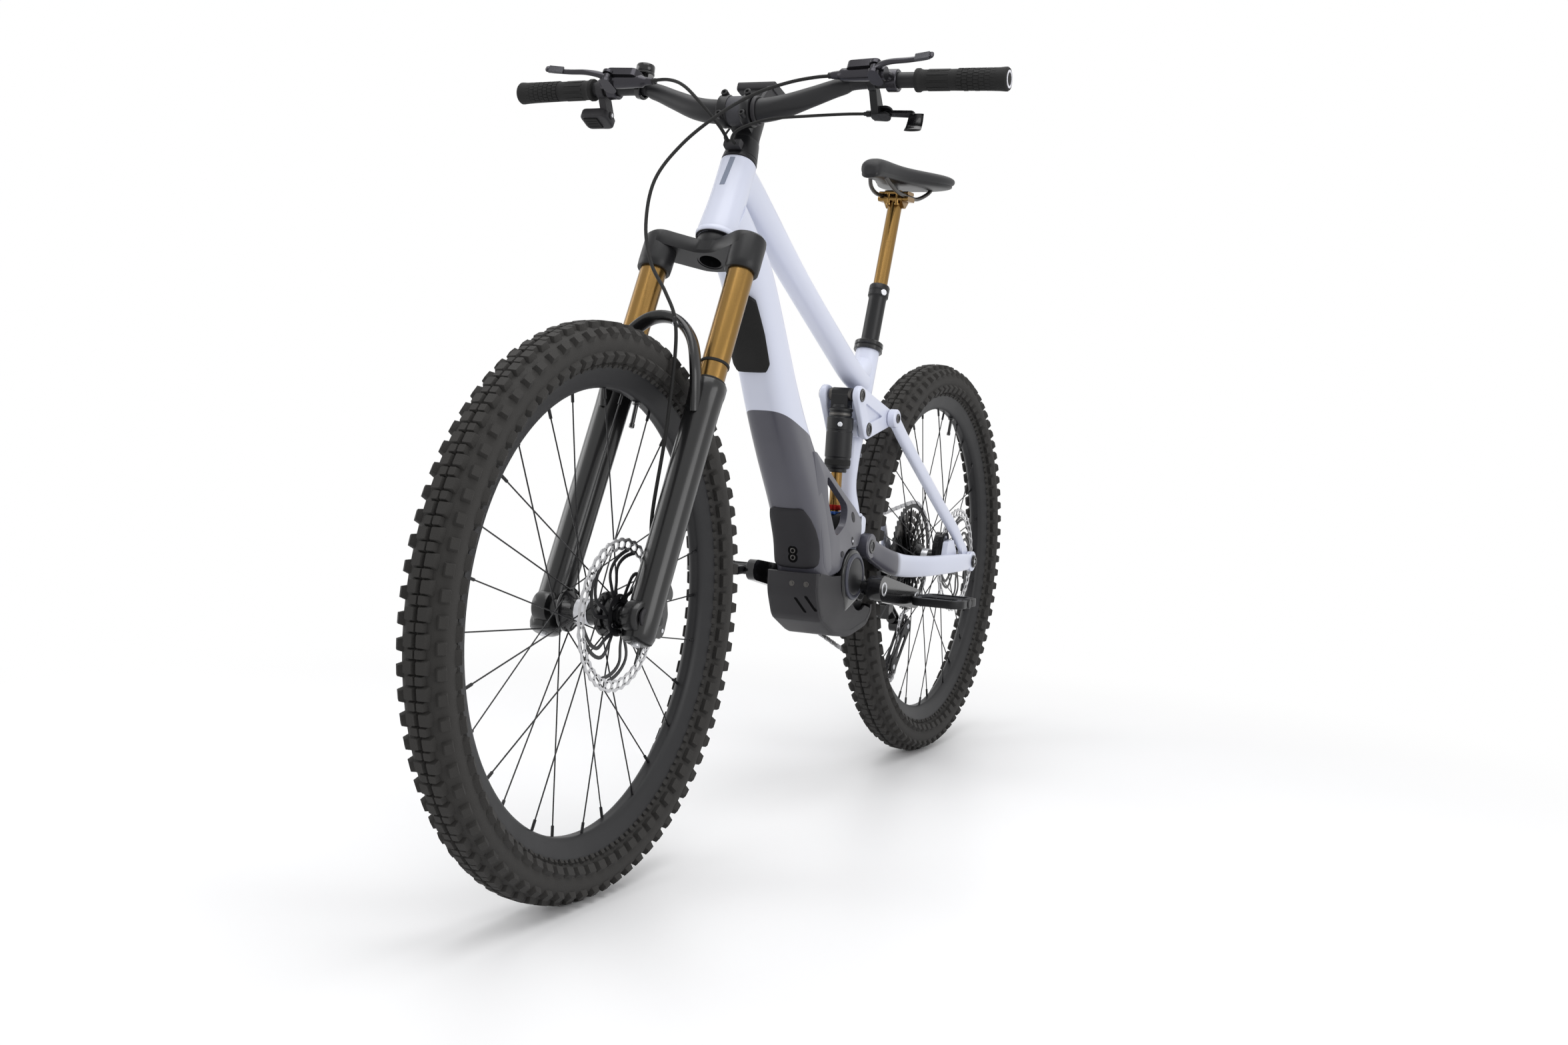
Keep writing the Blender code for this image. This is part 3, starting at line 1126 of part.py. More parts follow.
SHOCK_LINE = atan2(SHOCK_TOP[1] - SHOCK_BOTTOM[1], SHOCK_TOP[0] - SHOCK_BOTTOM[0])


def on_shock(t):
    """Point of the shock's axis above its lower bolt."""
    return at_y(in_plane(SHOCK_BOTTOM, t, SHOCK_LINE), 0)


def shock_can():
    """Air can with its upper eye; it slides down the shaft."""
    can = rod(on_shock(0.0960), on_shock(0.1980), SHOCK_CAN_RADIUS, 18)
    neck = rod(on_shock(0.1960), on_shock(0.2150), 0.0170, 12)
    eye = cross_rod(*SHOCK_TOP, -0.0205, 0.0205, 0.0125, 14)
    valve = rod(Vector(on_shock(0.1700)) + Vector((0, 0.0050, 0)),
                Vector(on_shock(0.1700)) + Vector((0, 0.0262, 0)), 0.0050, 8)
    wall = rod(on_shock(0.0930), on_shock(0.0985), 0.0160, 12)
    hole = bore(on_shock(0.0900), on_shock(0.1900), SHOCK_SHAFT_RADIUS + RUNNING, 14)
    return cut(fuse(can, neck, eye, valve, wall), hole)


def shock_shaft():
    """Shock's shaft with its lower eye and the bolt through the bracket."""
    shaft = rod(on_shock(0.0080), on_shock(0.1260), SHOCK_SHAFT_RADIUS, 14)
    eye = cross_rod(*SHOCK_BOTTOM, -0.0200, 0.0200, 0.0140, 14)
    collar = rod(on_shock(0.0100), on_shock(0.0205), 0.0122, 12)
    bolt = cross_rod(*SHOCK_BOTTOM, -0.0405, 0.0405, PIVOT_PIN_RADIUS)
    return fuse(shaft, eye, collar, bolt)


def shock_lever():
    """Climb lever round the shaft's foot."""
    low, high = on_shock(0.0212), on_shock(0.0270)
    ring = rod(low, high, 0.0128, 14)
    blade = prism(drawn([(-0.168, 0.4755), (-0.166, 0.4790), (-0.186, 0.4790), (-0.186, 0.4760)]), -0.0035,
                  0.0035)
    return cut(fuse(ring, blade), bore(on_shock(0.01), on_shock(0.04), SHOCK_SHAFT_RADIUS + RUNNING, 16))


# Seat post and saddle

def dropper_outer():
    """Seat post's outer tube with its collar."""
    top = POST_EXPOSED + POST_COLLAR
    inner = (POST_INNER_RADIUS + RUNNING) / cos(pi / 20)
    return turned([(POST_OUTER_RADIUS, -POST_INSERTION), (POST_OUTER_RADIUS, POST_EXPOSED),
                   (0.0180, POST_EXPOSED),
                   (0.0180, top), (inner, top), (inner, -POST_INSERTION)], (0, 0, 0), (0, 0, 1), 20, ring=True)


def seat_clamp():
    """Double-ring clamp round the seat tube's top."""
    inner = (SEAT_TUBE_RADIUS + GAP) / cos(pi / 20)
    return turned([(0.0250, -0.0180), (0.0250, -0.0105), (0.0238, -0.0098), (0.0250, -0.0090),
                   (0.0250, -0.0015),
                   (inner, -0.0015), (inner, -0.0180)], (0, 0, 0), (0, 0, 1), 20, ring=True)


def to_post(mesh):
    """Move a mesh from the bike's frame into the post frame."""
    frame = Matrix.Translation(at_y(SEAT_TUBE_TOP, 0)) @ Matrix.Rotation(SEAT_ANGLE - pi / 2, 4, "Y")
    mesh.transform(frame.inverted())
    return mesh


RAIL_Y = 0.0220
RAIL_RADIUS = 0.0035
SADDLE_MOVE = (SEAT_TUBE_TOP[0] + 0.2723, SEAT_TUBE_TOP[1] - 0.7710)   # from where the saddle is drawn
RAIL_LEVEL = 1.0350 + SADDLE_MOVE[1]


def dropper_inner():
    """Sliding post with the clamp that holds the saddle's rails."""
    shaft = rod((0, 0, POST_EXPOSED - POST_OVERLAP), (0, 0, POST_HEAD - 0.006), POST_INNER_RADIUS, 20)
    x, z = seat_point(POST_HEAD)
    cradle = to_post(link([((x - 0.014, RAIL_LEVEL - 0.004), 0.0070),
                           ((x + 0.014, RAIL_LEVEL - 0.004), 0.0070),
                           ((x, RAIL_LEVEL - 0.014), 0.0070)], -0.0285, 0.0285, 12))
    plate = to_post(link([((x - 0.012, RAIL_LEVEL + 0.003), 0.0045),
                          ((x + 0.012, RAIL_LEVEL + 0.003), 0.0045)],
                         -0.0275, 0.0275, 12))
    grooves = [to_post(bore((x - 0.05, side * RAIL_Y, RAIL_LEVEL), (x + 0.05, side * RAIL_Y, RAIL_LEVEL),
                            RAIL_RADIUS + GAP, 12)) for side in (-1, 1)]
    return cut(fuse(shaft, cradle, plate), *grooves)


def saddle():
    """Saddle with its two rails."""
    rings = []
    for x, z, w, d in ((SADDLE_NOSE, 1.0630, 0.0100, 0.0080), (-0.2320, 1.0660, 0.0170, 0.0130),
                       (-0.2700, 1.0700, 0.0220, 0.0165), (-0.3300, 1.0700, 0.0310, 0.0155),
                       (-0.3800, 1.0710, 0.0500, 0.0150), (-0.4300, 1.0720, 0.0680, 0.0150),
                       (-0.4660, 1.0735, SADDLE_HALF_WIDTH, 0.0145), (-0.4800, 1.0745, 0.0660, 0.0120),
                       (SADDLE_TAIL, 1.0750, 0.0520, 0.0070)):
        rings.append(section(x + SADDLE_MOVE[0], z + SADDLE_MOVE[1], 0, w, d, 2.4, 16))
    parts = [loft(rings)]
    for side in (-1, 1):
        route = ((-0.262, 0.012, 0.027), (-0.285, 0.019, 0.009), (-0.318, RAIL_Y, 0.0), (-0.404, RAIL_Y, 0.0),
                 (-0.436, 0.030, 0.013), (-0.452, 0.036, 0.029))
        rail = swept([Vector((x + SADDLE_MOVE[0], side * y, RAIL_LEVEL + z)) for x, y, z in route],
                     [RAIL_RADIUS] * 6, 1)
        parts.append(rail)
    return to_post(fuse(*parts))


# Drivetrain

def chain_radius(teeth):
    """Radius of the chain's pitch line on a sprocket."""
    return CHAIN_PITCH / (2 * sin(pi / teeth))


def cassette():
    """Twelve cogs as one stepped cone on the freehub."""
    inner = (FREEHUB_RADIUS + RUNNING) / cos(pi / 24)
    teeth = [COG_LARGE_TEETH, 44, 38, 32, 28, 24, 21, 18, 16, 14, 12, COG_SMALL_TEETH]
    profile = [(inner, COG_INNER_Y + COG_WALL / 2)]
    for i, count in enumerate(teeth):
        radius = max(chain_radius(count) - CHAIN_SEAT, inner + 0.0018 + 0.0003 * (COGS - i))
        y = COG_INNER_Y + COG_WALL / 2 - COG_PITCH * i
        profile += [(radius, y), (radius, y - COG_WALL)] if i < 2 else [(radius, y)]
    profile += [(inner + 0.0018, COG_INNER_Y - COG_PITCH * COGS), (inner, COG_INNER_Y - COG_PITCH * COGS)]
    return turned(profile, at_y(AXLE_REAR, 0), (0, 1, 0), 24, ring=True)


def crank_right():
    """Right crank with the spindle, the spider and the right pedal's axle."""
    end = in_plane(BOTTOM_BRACKET, CRANK_LENGTH, CRANK_TILT)
    outer = CRANK_INNER + CRANK_THICK
    arm = link([(BOTTOM_BRACKET, CRANK_BOSS_RADIUS), (end, CRANK_END_RADIUS)], -outer, -CRANK_INNER, 14)
    spindle = cross_rod(*BOTTOM_BRACKET, -outer + 0.002, outer, CRANK_SPINDLE_RADIUS)
    spider = turned([(0, -CRANK_INNER - 0.002), (0.0200, -CRANK_INNER - 0.002), (0.0300, -0.0580),
                     (0.0300, -0.0551),
                     (0, -0.0551)], at_y(BOTTOM_BRACKET, 0), (0, 1, 0), 24)
    axle = cross_rod(*end, -outer - PEDAL_WIDTH, -outer + 0.002, PEDAL_AXLE_RADIUS)
    return fuse(spindle, arm, spider, axle)


def crank_left():
    """Left crank with the left pedal's axle."""
    end = in_plane(BOTTOM_BRACKET, -CRANK_LENGTH, CRANK_TILT)
    outer = CRANK_INNER + CRANK_THICK
    arm = link([(BOTTOM_BRACKET, CRANK_BOSS_RADIUS), (end, CRANK_END_RADIUS)], CRANK_INNER, outer, 14)
    boss = cross_rod(*BOTTOM_BRACKET, CRANK_INNER - CRANK_BOSS_DEPTH, outer - 0.004, CRANK_BOSS_RADIUS - 0.0010)
    axle = cross_rod(*end, outer - 0.002, outer + PEDAL_WIDTH, PEDAL_AXLE_RADIUS)
    return cut(fuse(arm, boss, axle), cross_bore(*BOTTOM_BRACKET, 0.05, 0.10, CRANK_SPINDLE_RADIUS + GAP))


def pedal(side):
    """Flat pedal with two windows."""
    x, z = in_plane(BOTTOM_BRACKET, -side * CRANK_LENGTH, CRANK_TILT)
    start = CRANK_INNER + CRANK_THICK + 0.004
    y0, y1 = sorted((side * start, side * (start + PEDAL_WIDTH)))
    half, deep = PEDAL_LENGTH / 2, PEDAL_THICK / 2
    body = prism([(x - half, z - deep * 0.5), (x - half + 0.006, z - deep), (x + half - 0.006, z - deep),
                  (x + half, z - deep * 0.5), (x + half, z + deep * 0.5), (x + half - 0.006, z + deep),
                  (x - half + 0.006, z + deep), (x - half, z + deep * 0.5)], y0, y1)
    inset = sorted((side * (start + 0.014), side * (start + PEDAL_WIDTH - 0.014)))
    tools = [block((x + 0.014, inset[0], z - 0.02), (x + half - 0.014, inset[1], z + 0.02)),
             block((x - half + 0.014, inset[0], z - 0.02), (x - 0.014, inset[1], z + 0.02)),
             cross_bore(x, z, *sorted((side * (start - 0.01), side * (start + PEDAL_WIDTH - 0.0035))),
                        PEDAL_AXLE_RADIUS + RUNNING)]
    return cut(body, *tools)


def chainring():
    """Chainring disc with openings, on the crank's spindle."""
    radius = chain_radius(CHAINRING_TEETH) - CHAIN_SEAT
    y0, y1 = CHAINRING_Y - CHAINRING_THICK / 2, CHAINRING_Y + CHAINRING_THICK / 2
    disc = cross_rod(*BOTTOM_BRACKET, y0, y1, radius, 32)
    holes = [cross_rod(*in_plane(BOTTOM_BRACKET, 0.0430, 2 * pi * i / 3 + 0.4), -0.07, -0.04, 0.0120,
                       10) for i in range(3)]
    return cut(disc, cross_bore(*BOTTOM_BRACKET, -0.07, -0.04, CRANK_SPINDLE_RADIUS + GAP), joined(holes))


def belt_path(wheels):
    """Closed run of (x, y, z) points round wheels, each ((x, z), y, radius, turn); 1 turns anticlockwise."""
    spans = []
    for i, ((x0, z0), _, r0, s0) in enumerate(wheels):
        (x1, z1), _, r1, s1 = wheels[(i + 1) % len(wheels)]
        heading = atan2(z1 - z0, x1 - x0) + asin((r0 * s0 - r1 * s1) / hypot(x1 - x0, z1 - z0))
        spans.append(heading - pi / 2)
    points = []
    for i, (centre, y, radius, turn) in enumerate(wheels):
        first, last = spans[i - 1], spans[i]
        if turn < 0:
            first, last = first + pi, last + pi
        sweep = ((last - first) * turn) % (2 * pi)
        steps = max(2, ceil(sweep / radians(10 if radius > 0.05 else 20)))
        for k in range(steps + 1):
            x, z = in_plane(centre, radius, first + turn * sweep * k / steps)
            points.append(Vector((x, y, z)))
    return points


def chain():
    """Chain as one closed band."""
    path = belt_path([(BOTTOM_BRACKET, CHAINRING_Y, chain_radius(CHAINRING_TEETH), 1),
                      (AXLE_REAR, COG_INNER_Y, chain_radius(COG_LARGE_TEETH), 1),
                      (JOCKEY_UPPER, CAGE_Y, JOCKEY_RADIUS + CHAIN_SEAT, -1),
                      (JOCKEY_LOWER, CAGE_Y, JOCKEY_RADIUS + CHAIN_SEAT, 1)])
    bm = bmesh.new()
    rings = []
    for i, point in enumerate(path):
        along = (path[(i + 1) % len(path)] - path[i - 1]).normalized()
        out = Vector((along.z, 0, -along.x)).normalized() * (CHAIN_HEIGHT / 2)
        side = Vector((0, CHAIN_WIDTH / 2, 0))
        rings.append([bm.verts.new(point + corner) for corner in (out + side, out - side, -out - side,
                                                                  side - out)])
    for i, ring in enumerate(rings):
        after = rings[(i + 1) % len(rings)]
        for k in range(4):
            bm.faces.new((ring[k - 1], ring[k], after[k], after[k - 1]))
    return to_mesh(bm)


ARM_PIVOT_Y = -0.0950


def derailleur_body():
    """Derailleur's mount round the axle's end, with the knuckle for its arm."""
    face = -0.0836 - REAR_END_THICK - GAP
    plate = link([(AXLE_REAR, 0.0150), (HANGER, 0.0130)], face - 0.0110, face, 16)
    knuckle = link([(HANGER, 0.0110), (ARM_PIVOT, 0.0100)], face - 0.0112, -0.0850, 12)
    hollow = cross_rod(*AXLE_REAR, -0.0946, -0.080, 0.0215, 24)
    return cut(fuse(plate, knuckle), hollow, cross_bore(*AXLE_REAR, -0.12, -0.08, AXLE_RADIUS + GAP),
               bore((ARM_PIVOT[0] - 0.034, ARM_PIVOT_Y, ARM_PIVOT[1]),
                    (ARM_PIVOT[0] + 0.026, ARM_PIVOT_Y, ARM_PIVOT[1]),
                    0.0035 + RUNNING, 12))


def derailleur_arm():
    """Swinging arm with the motor box and the cage's knuckle."""
    x0, x1 = ARM_PIVOT[0] + 0.0145, ARM_PIVOT[0] + 0.0380
    low = Vector((0, -0.062, JOCKEY_UPPER[1] + 0.014))
    high = Vector((0, ARM_PIVOT_Y, ARM_PIVOT[1]))
    side = hull_outline([((high.y, high.z), 0.0085), ((low.y, low.z), 0.0110)], 12)
    arm = extruded([(x0, y, z) for y, z in side], (x1 - x0, 0, 0))
    pin = rod((ARM_PIVOT[0] - 0.0090, *high[1:]), (x1 - 0.004, *high[1:]), 0.0035, 10)
    knuckle = cross_rod(*JOCKEY_UPPER, -0.0690, -0.0488, 0.0125, 16)
    box = block((JOCKEY_UPPER[0] + 0.0110, -0.0840, JOCKEY_UPPER[1] + 0.0130),
                (JOCKEY_UPPER[0] + 0.0360, -0.0600, JOCKEY_UPPER[1] + 0.0410))
    return cut(fuse(arm, pin, knuckle, box), cross_bore(*JOCKEY_UPPER, -0.0655, -0.04, 0.0040 + RUNNING, 12))


def derailleur_cage():
    """Two cage plates joined through the jockey wheels."""
    half = JOCKEY_THICK / 2 + 0.0022
    outer = [CAGE_Y - half - CAGE_PLATE, CAGE_Y - half]
    inner = [CAGE_Y + half, CAGE_Y + half + CAGE_PLATE]
    plates = [link([(JOCKEY_UPPER, 0.0150), (JOCKEY_LOWER, 0.0130)], *ends, 14) for ends in (outer, inner)]
    pins = [cross_rod(*spot, outer[1] - 0.001, inner[0] + 0.001, 0.0030, 12) for spot in (JOCKEY_UPPER,
                                                                                          JOCKEY_LOWER)]
    hinge = cross_rod(*JOCKEY_UPPER, -0.0640, outer[0] + 0.001, 0.0040, 12)
    return fuse(plates[0], hinge, pins[0], pins[1], plates[1])


def jockey(centre):
    """Jockey wheel on its pin."""
    return pipe(at_y(centre, CAGE_Y - JOCKEY_THICK / 2), at_y(centre, CAGE_Y + JOCKEY_THICK / 2),
                JOCKEY_RADIUS,
                (0.0030 + RUNNING) / cos(pi / 16), 16)


def main():
    for old in list(bpy.data.objects):
        bpy.data.objects.remove(old, do_unlink=True)

    paint = finish("frame_paint", (0.55, 0.58, 0.70), 0.38)
    dark = finish("dark_plastic", (0.030, 0.029, 0.032), 0.55)
    gloss = finish("black_gloss", (0.012, 0.012, 0.014), 0.22)
    rubber = finish("rubber", (0.022, 0.022, 0.022), 0.80)
    carbon = finish("rim_carbon", (0.025, 0.025, 0.027), 0.45)
    steel = finish("steel", (0.55, 0.55, 0.56), 0.32, 1.0)
    silver = finish("silver_alloy", (0.62, 0.63, 0.65), 0.35, 1.0)
    gold = finish("gold_coating", (0.78, 0.52, 0.18), 0.28, 1.0)

    steering = axis_empty("steering_axis", at_y(STEER_FOOT, 0), HEAD_ANGLE - pi / 2)
    post = axis_empty("post_axis", at_y(SEAT_TUBE_TOP, 0), SEAT_ANGLE - pi / 2)
    rear = axis_empty("rear_axle_axis", at_y(AXLE_REAR, 0))
    cockpit = axis_empty("cockpit_axis", (0, 0, COCKPIT_RISE), 0.0, steering)
    front_hub_axis = axis_empty("front_axle_axis", (FORK_OFFSET, 0, 0), pi / 2 - HEAD_ANGLE, steering)

    place("front_frame", front_frame(), paint)
    place("battery_pack", battery_pack(), dark)
    place("battery_cover", battery_cover(), rubber)
    place("down_tube_bumper", down_tube_bumper(), rubber)
    place("motor_unit", motor_unit(), dark, origin=at_y(BOTTOM_BRACKET, 0))
    place("motor_skid_plate", motor_skid_plate(), dark)

    place("fork_upper", fork_upper(), gloss, steering)
    place("fork_lowers", fork_lowers(), gloss, steering)
    place("front_axle", front_axle(), gloss, steering, (FORK_OFFSET, 0, 0))
    place("front_caliper", caliper((FORK_OFFSET, 0), atan2(0.035, -0.087), FRONT_ROTOR_RADIUS, FRONT_ROTOR_Y,
                                   0.0290,
                                   0.0562), gloss, steering)
    for name, mesh, material in (("front_tyre", tyre((0, 0)), rubber), ("front_rim", rim((0, 0)), carbon),
                                 ("front_hub", hub((0, 0), FRONT_HUB_WIDTH, FRONT_FLANGE_LEFT,
                                                   FRONT_FLANGE_RIGHT,
                                                   FRONT_ROTOR_Y), gloss),
                                 ("front_rotor", rotor((0, 0), FRONT_ROTOR_Y, FRONT_ROTOR_RADIUS), steel)):
        place(name, mesh, material, front_hub_axis)

    place("headset_cover", headset_cover(), gloss, steering)
    place("stem", stem(), gloss, steering)
    place("handlebar", handlebar(), carbon, cockpit)
    place("grip_left", grip(1), rubber, cockpit)
    place("grip_right", grip(-1), rubber, cockpit)
    place("brake_body_left", brake_body(), gloss, cockpit)
    place("brake_body_right", mirrored(brake_body()), gloss, cockpit)
    place("brake_lever_left", brake_lever(), gloss, cockpit, (0.078, LEVER_PIVOT_Y, 0.822))
    place("brake_lever_right", mirrored(brake_lever()), gloss, cockpit, (0.078, -LEVER_PIVOT_Y, 0.822))
    place("shifter_pod", shifter_pod(), dark, cockpit)
    place("shifter_button", shifter_button(), dark, cockpit)
    place("dropper_remote", dropper_remote(), gloss, cockpit)
    place("remote_paddle", remote_paddle(), dark, cockpit, (-0.003, REMOTE_Y + 0.012, 0.806))
    place("display", display(), dark, cockpit)
    place("bell", bell(), gloss, cockpit)
    place("control_cables", control_cables(), rubber, cockpit)
    place("front_brake_hose", front_brake_hose(), rubber, cockpit)

    place("seat_clamp", seat_clamp(), gloss, post)
    place("dropper_outer", dropper_outer(), gloss, post)
    place("dropper_inner", dropper_inner(), gold, post)
    place("saddle", saddle(), dark, post)

    place("chainstay", chainstay(), paint, origin=at_y(MAIN_PIVOT, 0))
    place("seatstay_left", seatstay(), paint, origin=at_y(AXLE_REAR, 0))
    place("seatstay_right", mirrored(seatstay()), paint, origin=at_y(AXLE_REAR, 0))
    place("rocker_link", rocker_link(), paint, origin=at_y(ROCKER_PIVOT, 0))
    place("shock_can", shock_can(), gloss, origin=at_y(SHOCK_TOP, 0))
    place("shock_shaft", shock_shaft(), gold, origin=at_y(SHOCK_BOTTOM, 0))
    place("shock_lever", shock_lever(), silver, origin=on_shock(0.024))
    place("rear_axle", rear_axle(), gloss, origin=at_y(AXLE_REAR, 0))
    place("rear_caliper", caliper(AXLE_REAR, radians(18), REAR_ROTOR_RADIUS, REAR_ROTOR_Y, 0.0460, 0.0655),
          gloss)
    for name, mesh, material in (("rear_tyre", tyre((0, 0)), rubber), ("rear_rim", rim((0, 0)), carbon),
                                 ("rear_hub", hub((0, 0), REAR_HUB_WIDTH, REAR_FLANGE_LEFT, REAR_FLANGE_RIGHT,
                                                  REAR_ROTOR_Y, True), gloss),
                                 ("rear_rotor", rotor((0, 0), REAR_ROTOR_Y, REAR_ROTOR_RADIUS), steel)):
        place(name, mesh, material, rear)
    place("cassette", cassette(), steel, origin=at_y(AXLE_REAR, 0))

    place("crank_right", crank_right(), gloss, origin=at_y(BOTTOM_BRACKET, 0))
    place("crank_left", crank_left(), gloss, origin=at_y(BOTTOM_BRACKET, 0))
    place("chainring", chainring(), gloss, origin=at_y(BOTTOM_BRACKET, 0))
    place("pedal_left", pedal(1), dark, origin=at_y(in_plane(BOTTOM_BRACKET, -CRANK_LENGTH, CRANK_TILT), 0))
    place("pedal_right", pedal(-1), dark, origin=at_y(in_plane(BOTTOM_BRACKET, CRANK_LENGTH, CRANK_TILT), 0))
    place("chain", chain(), steel)
    place("derailleur_body", derailleur_body(), gloss)
    place("derailleur_arm", derailleur_arm(), gloss)
    place("derailleur_cage", derailleur_cage(), dark, origin=at_y(JOCKEY_UPPER, 0))
    place("jockey_upper", jockey(JOCKEY_UPPER), dark, origin=at_y(JOCKEY_UPPER, 0))
    place("jockey_lower", jockey(JOCKEY_LOWER), dark, origin=at_y(JOCKEY_LOWER, 0))


main()
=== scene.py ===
"""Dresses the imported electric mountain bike: camera, light, finishes and the pieces that show.

Metres, +X forward, +Z up, +Y the rider's left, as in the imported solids. The origin is on the ground,
midway between the axles. Fork and cockpit pieces are modelled in the steering frame, whose X runs
forward across the steering axis and whose Z runs up along it, and seat post pieces in the post frame.
"""
from __future__ import annotations

import json
import logging
import math
from dataclasses import dataclass
from enum import Enum
from typing import Iterable, Sequence

import bmesh
import bpy
import numpy as np
from mathutils import Matrix


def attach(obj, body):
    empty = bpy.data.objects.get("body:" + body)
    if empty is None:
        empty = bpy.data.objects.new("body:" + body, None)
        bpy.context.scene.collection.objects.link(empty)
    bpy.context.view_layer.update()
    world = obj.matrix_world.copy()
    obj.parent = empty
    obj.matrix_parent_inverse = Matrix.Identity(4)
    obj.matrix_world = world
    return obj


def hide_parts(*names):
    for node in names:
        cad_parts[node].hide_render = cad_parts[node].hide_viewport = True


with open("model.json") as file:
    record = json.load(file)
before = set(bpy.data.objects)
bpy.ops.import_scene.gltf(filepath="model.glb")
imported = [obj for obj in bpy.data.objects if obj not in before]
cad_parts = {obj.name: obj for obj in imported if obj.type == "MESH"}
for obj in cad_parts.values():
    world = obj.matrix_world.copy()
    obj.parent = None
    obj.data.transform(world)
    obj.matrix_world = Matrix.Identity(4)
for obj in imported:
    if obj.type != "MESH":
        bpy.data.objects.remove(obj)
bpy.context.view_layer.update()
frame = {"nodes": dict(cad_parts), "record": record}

Array = np.ndarray
Point = Sequence[float]
log = logging.getLogger("bike")
TAU = 2 * math.pi
TINY = 1e-6


@dataclass(frozen=True)
class Basis:
    """Axes and an origin that carry a piece's own frame into the bike's."""

    origin: tuple[float, float, float] = (0.0, 0.0, 0.0)
    x: tuple[float, float, float] = (1.0, 0.0, 0.0)
    y: tuple[float, float, float] = (0.0, 1.0, 0.0)
    z: tuple[float, float, float] = (0.0, 0.0, 1.0)

    def place(self, points: Array) -> Array:
        """Carry points: the origin plus each coordinate times its axis."""
        return np.asarray(points, float) @ np.array([self.x, self.y, self.z]) + np.array(self.origin)

    @staticmethod
    def tilted(origin: Point, lean: float) -> "Basis":
        """Axes whose Z leans back in the bike's plane, at an angle above the ground line."""
        s, c = math.sin(lean), math.cos(lean)
        return Basis((origin[0], 0.0, origin[1]), (s, 0.0, c), (0.0, 1.0, 0.0), (-c, 0.0, s))


HEAD_ANGLE = math.radians(63.5)
SEAT_ANGLE = math.radians(71.0)
AXLE_HEIGHT = 0.374
HALF_BASE = 0.6325
FORK_OFFSET = 0.044
BIKE = Basis()
STEER = Basis.tilted((HALF_BASE - FORK_OFFSET * math.sin(HEAD_ANGLE), AXLE_HEIGHT - FORK_OFFSET
    * math.cos(HEAD_ANGLE)), HEAD_ANGLE)
POST = Basis.tilted((-0.2723, 0.771), SEAT_ANGLE)
BRACKET_CENTRE = (-0.185, 0.352)
MAIN_PIVOT = (-0.215, 0.42)
ROCKER_PIVOT = (-0.201, 0.62)
REAR_AXLE = (-HALF_BASE, AXLE_HEIGHT)
FRONT_AXLE = (HALF_BASE, AXLE_HEIGHT)


# Curves and outlines

def smooth_route(stations: Sequence[Point], per_leg: int) -> Array:
    """Pass a smooth curve through stations.

    Between two stations each column is the Catmull-Rom cubic of the four nearest ones.

    Args:
        stations: Points with any number of columns.
        per_leg: Steps between one station and the next.

    Returns:
        The curve's points, the last station included.
    """
    p = np.asarray(stations, float)
    p = np.vstack([2 * p[0] - p[1], p, 2 * p[-1] - p[-2]])
    t = np.linspace(0, 1, per_leg, endpoint=False)[None, :, None]
    a, b, c, d = (p[i:len(p) - 3 + i, None, :] for i in range(4))
    legs = 0.5 * (2 * b + (c - a) * t + (2 * a - 5 * b + 4 * c - d) * t ** 2 + (3 * b - a - 3 * c + d)
        * t ** 3)
    return np.vstack([legs.reshape(-1, p.shape[1]), p[-2]])


def circle(radius: float, count: int, start: float = 0.0) -> Array:
    """Points of a circle in a plane: radius times the cosine and sine of each angle."""
    a = start + TAU * np.arange(count) / count
    return radius * np.stack([np.cos(a), np.sin(a)], -1)


def filleted(outline: Sequence[Point], radius: float, steps: int = 4) -> Array:
    """Round an outline's corners.

    Each corner is the quadratic curve between two points on its sides, which lie a radius from it
    or at under half of the shorter side, with the corner as its middle control point.

    Args:
        outline: Corners of a closed outline.
        radius: Distance from a corner to where its curve starts.
        steps: Steps of each curve.

    Returns:
        The rounded outline.
    """
    p = np.asarray(outline, float)
    before, after = np.roll(p, 1, 0) - p, np.roll(p, -1, 0) - p
    lengths = [np.linalg.norm(v, axis=1, keepdims=True) for v in (before, after)]
    start = p + before * np.minimum(radius / lengths[0], 0.48)
    stop = p + after * np.minimum(radius / lengths[1], 0.48)
    t = np.linspace(0, 1, steps + 1)[None, :, None]
    curve = (1 - t) ** 2 * start[:, None] + 2 * t * (1 - t) * p[:, None] + t ** 2 * stop[:, None]
    return curve.reshape(-1, p.shape[1])


def hull(circles: Iterable[tuple[Point, float]], count: int = 28) -> Array:
    """Convex outline round circles: at each heading, the circles' farthest point that way.

    Args:
        circles: Centre and radius of each circle.
        count: Headings round the outline.

    Returns:
        The outline's points.
    """
    a = TAU * np.arange(count) / count
    d = np.stack([np.cos(a), np.sin(a)], -1)
    centres = np.array([c for c, _ in circles], float)
    radii = np.array([r for _, r in circles], float)
    best = np.argmax(d @ centres.T + radii, axis=1)
    return centres[best] + d * radii[best, None]


def polar(centre: Point, radius: float, angle: float) -> tuple[float, float]:
    """Point at a radius and an angle from a centre."""
    return centre[0] + radius * math.cos(angle), centre[1] + radius * math.sin(angle)


def superellipse(width: Array, depth: Array, power: float, count: int) -> Array:
    """Rings between an ellipse and a box: cosine and sine raised to two over the power, signs kept.

    Args:
        width: Half width of each ring.
        depth: Half depth of each ring.
        power: Two for an ellipse, more toward a box.
        count: Points of a ring.

    Returns:
        Array of rings, points and the two coordinates.
    """
    a = TAU * (np.arange(count) + 0.5) / count
    u = np.abs(np.cos(a)) ** (2 / power) * np.sign(np.cos(a))
    v = np.abs(np.sin(a)) ** (2 / power) * np.sign(np.sin(a))
    return np.stack([np.multiply.outer(width, u), np.multiply.outer(depth, v)], -1)


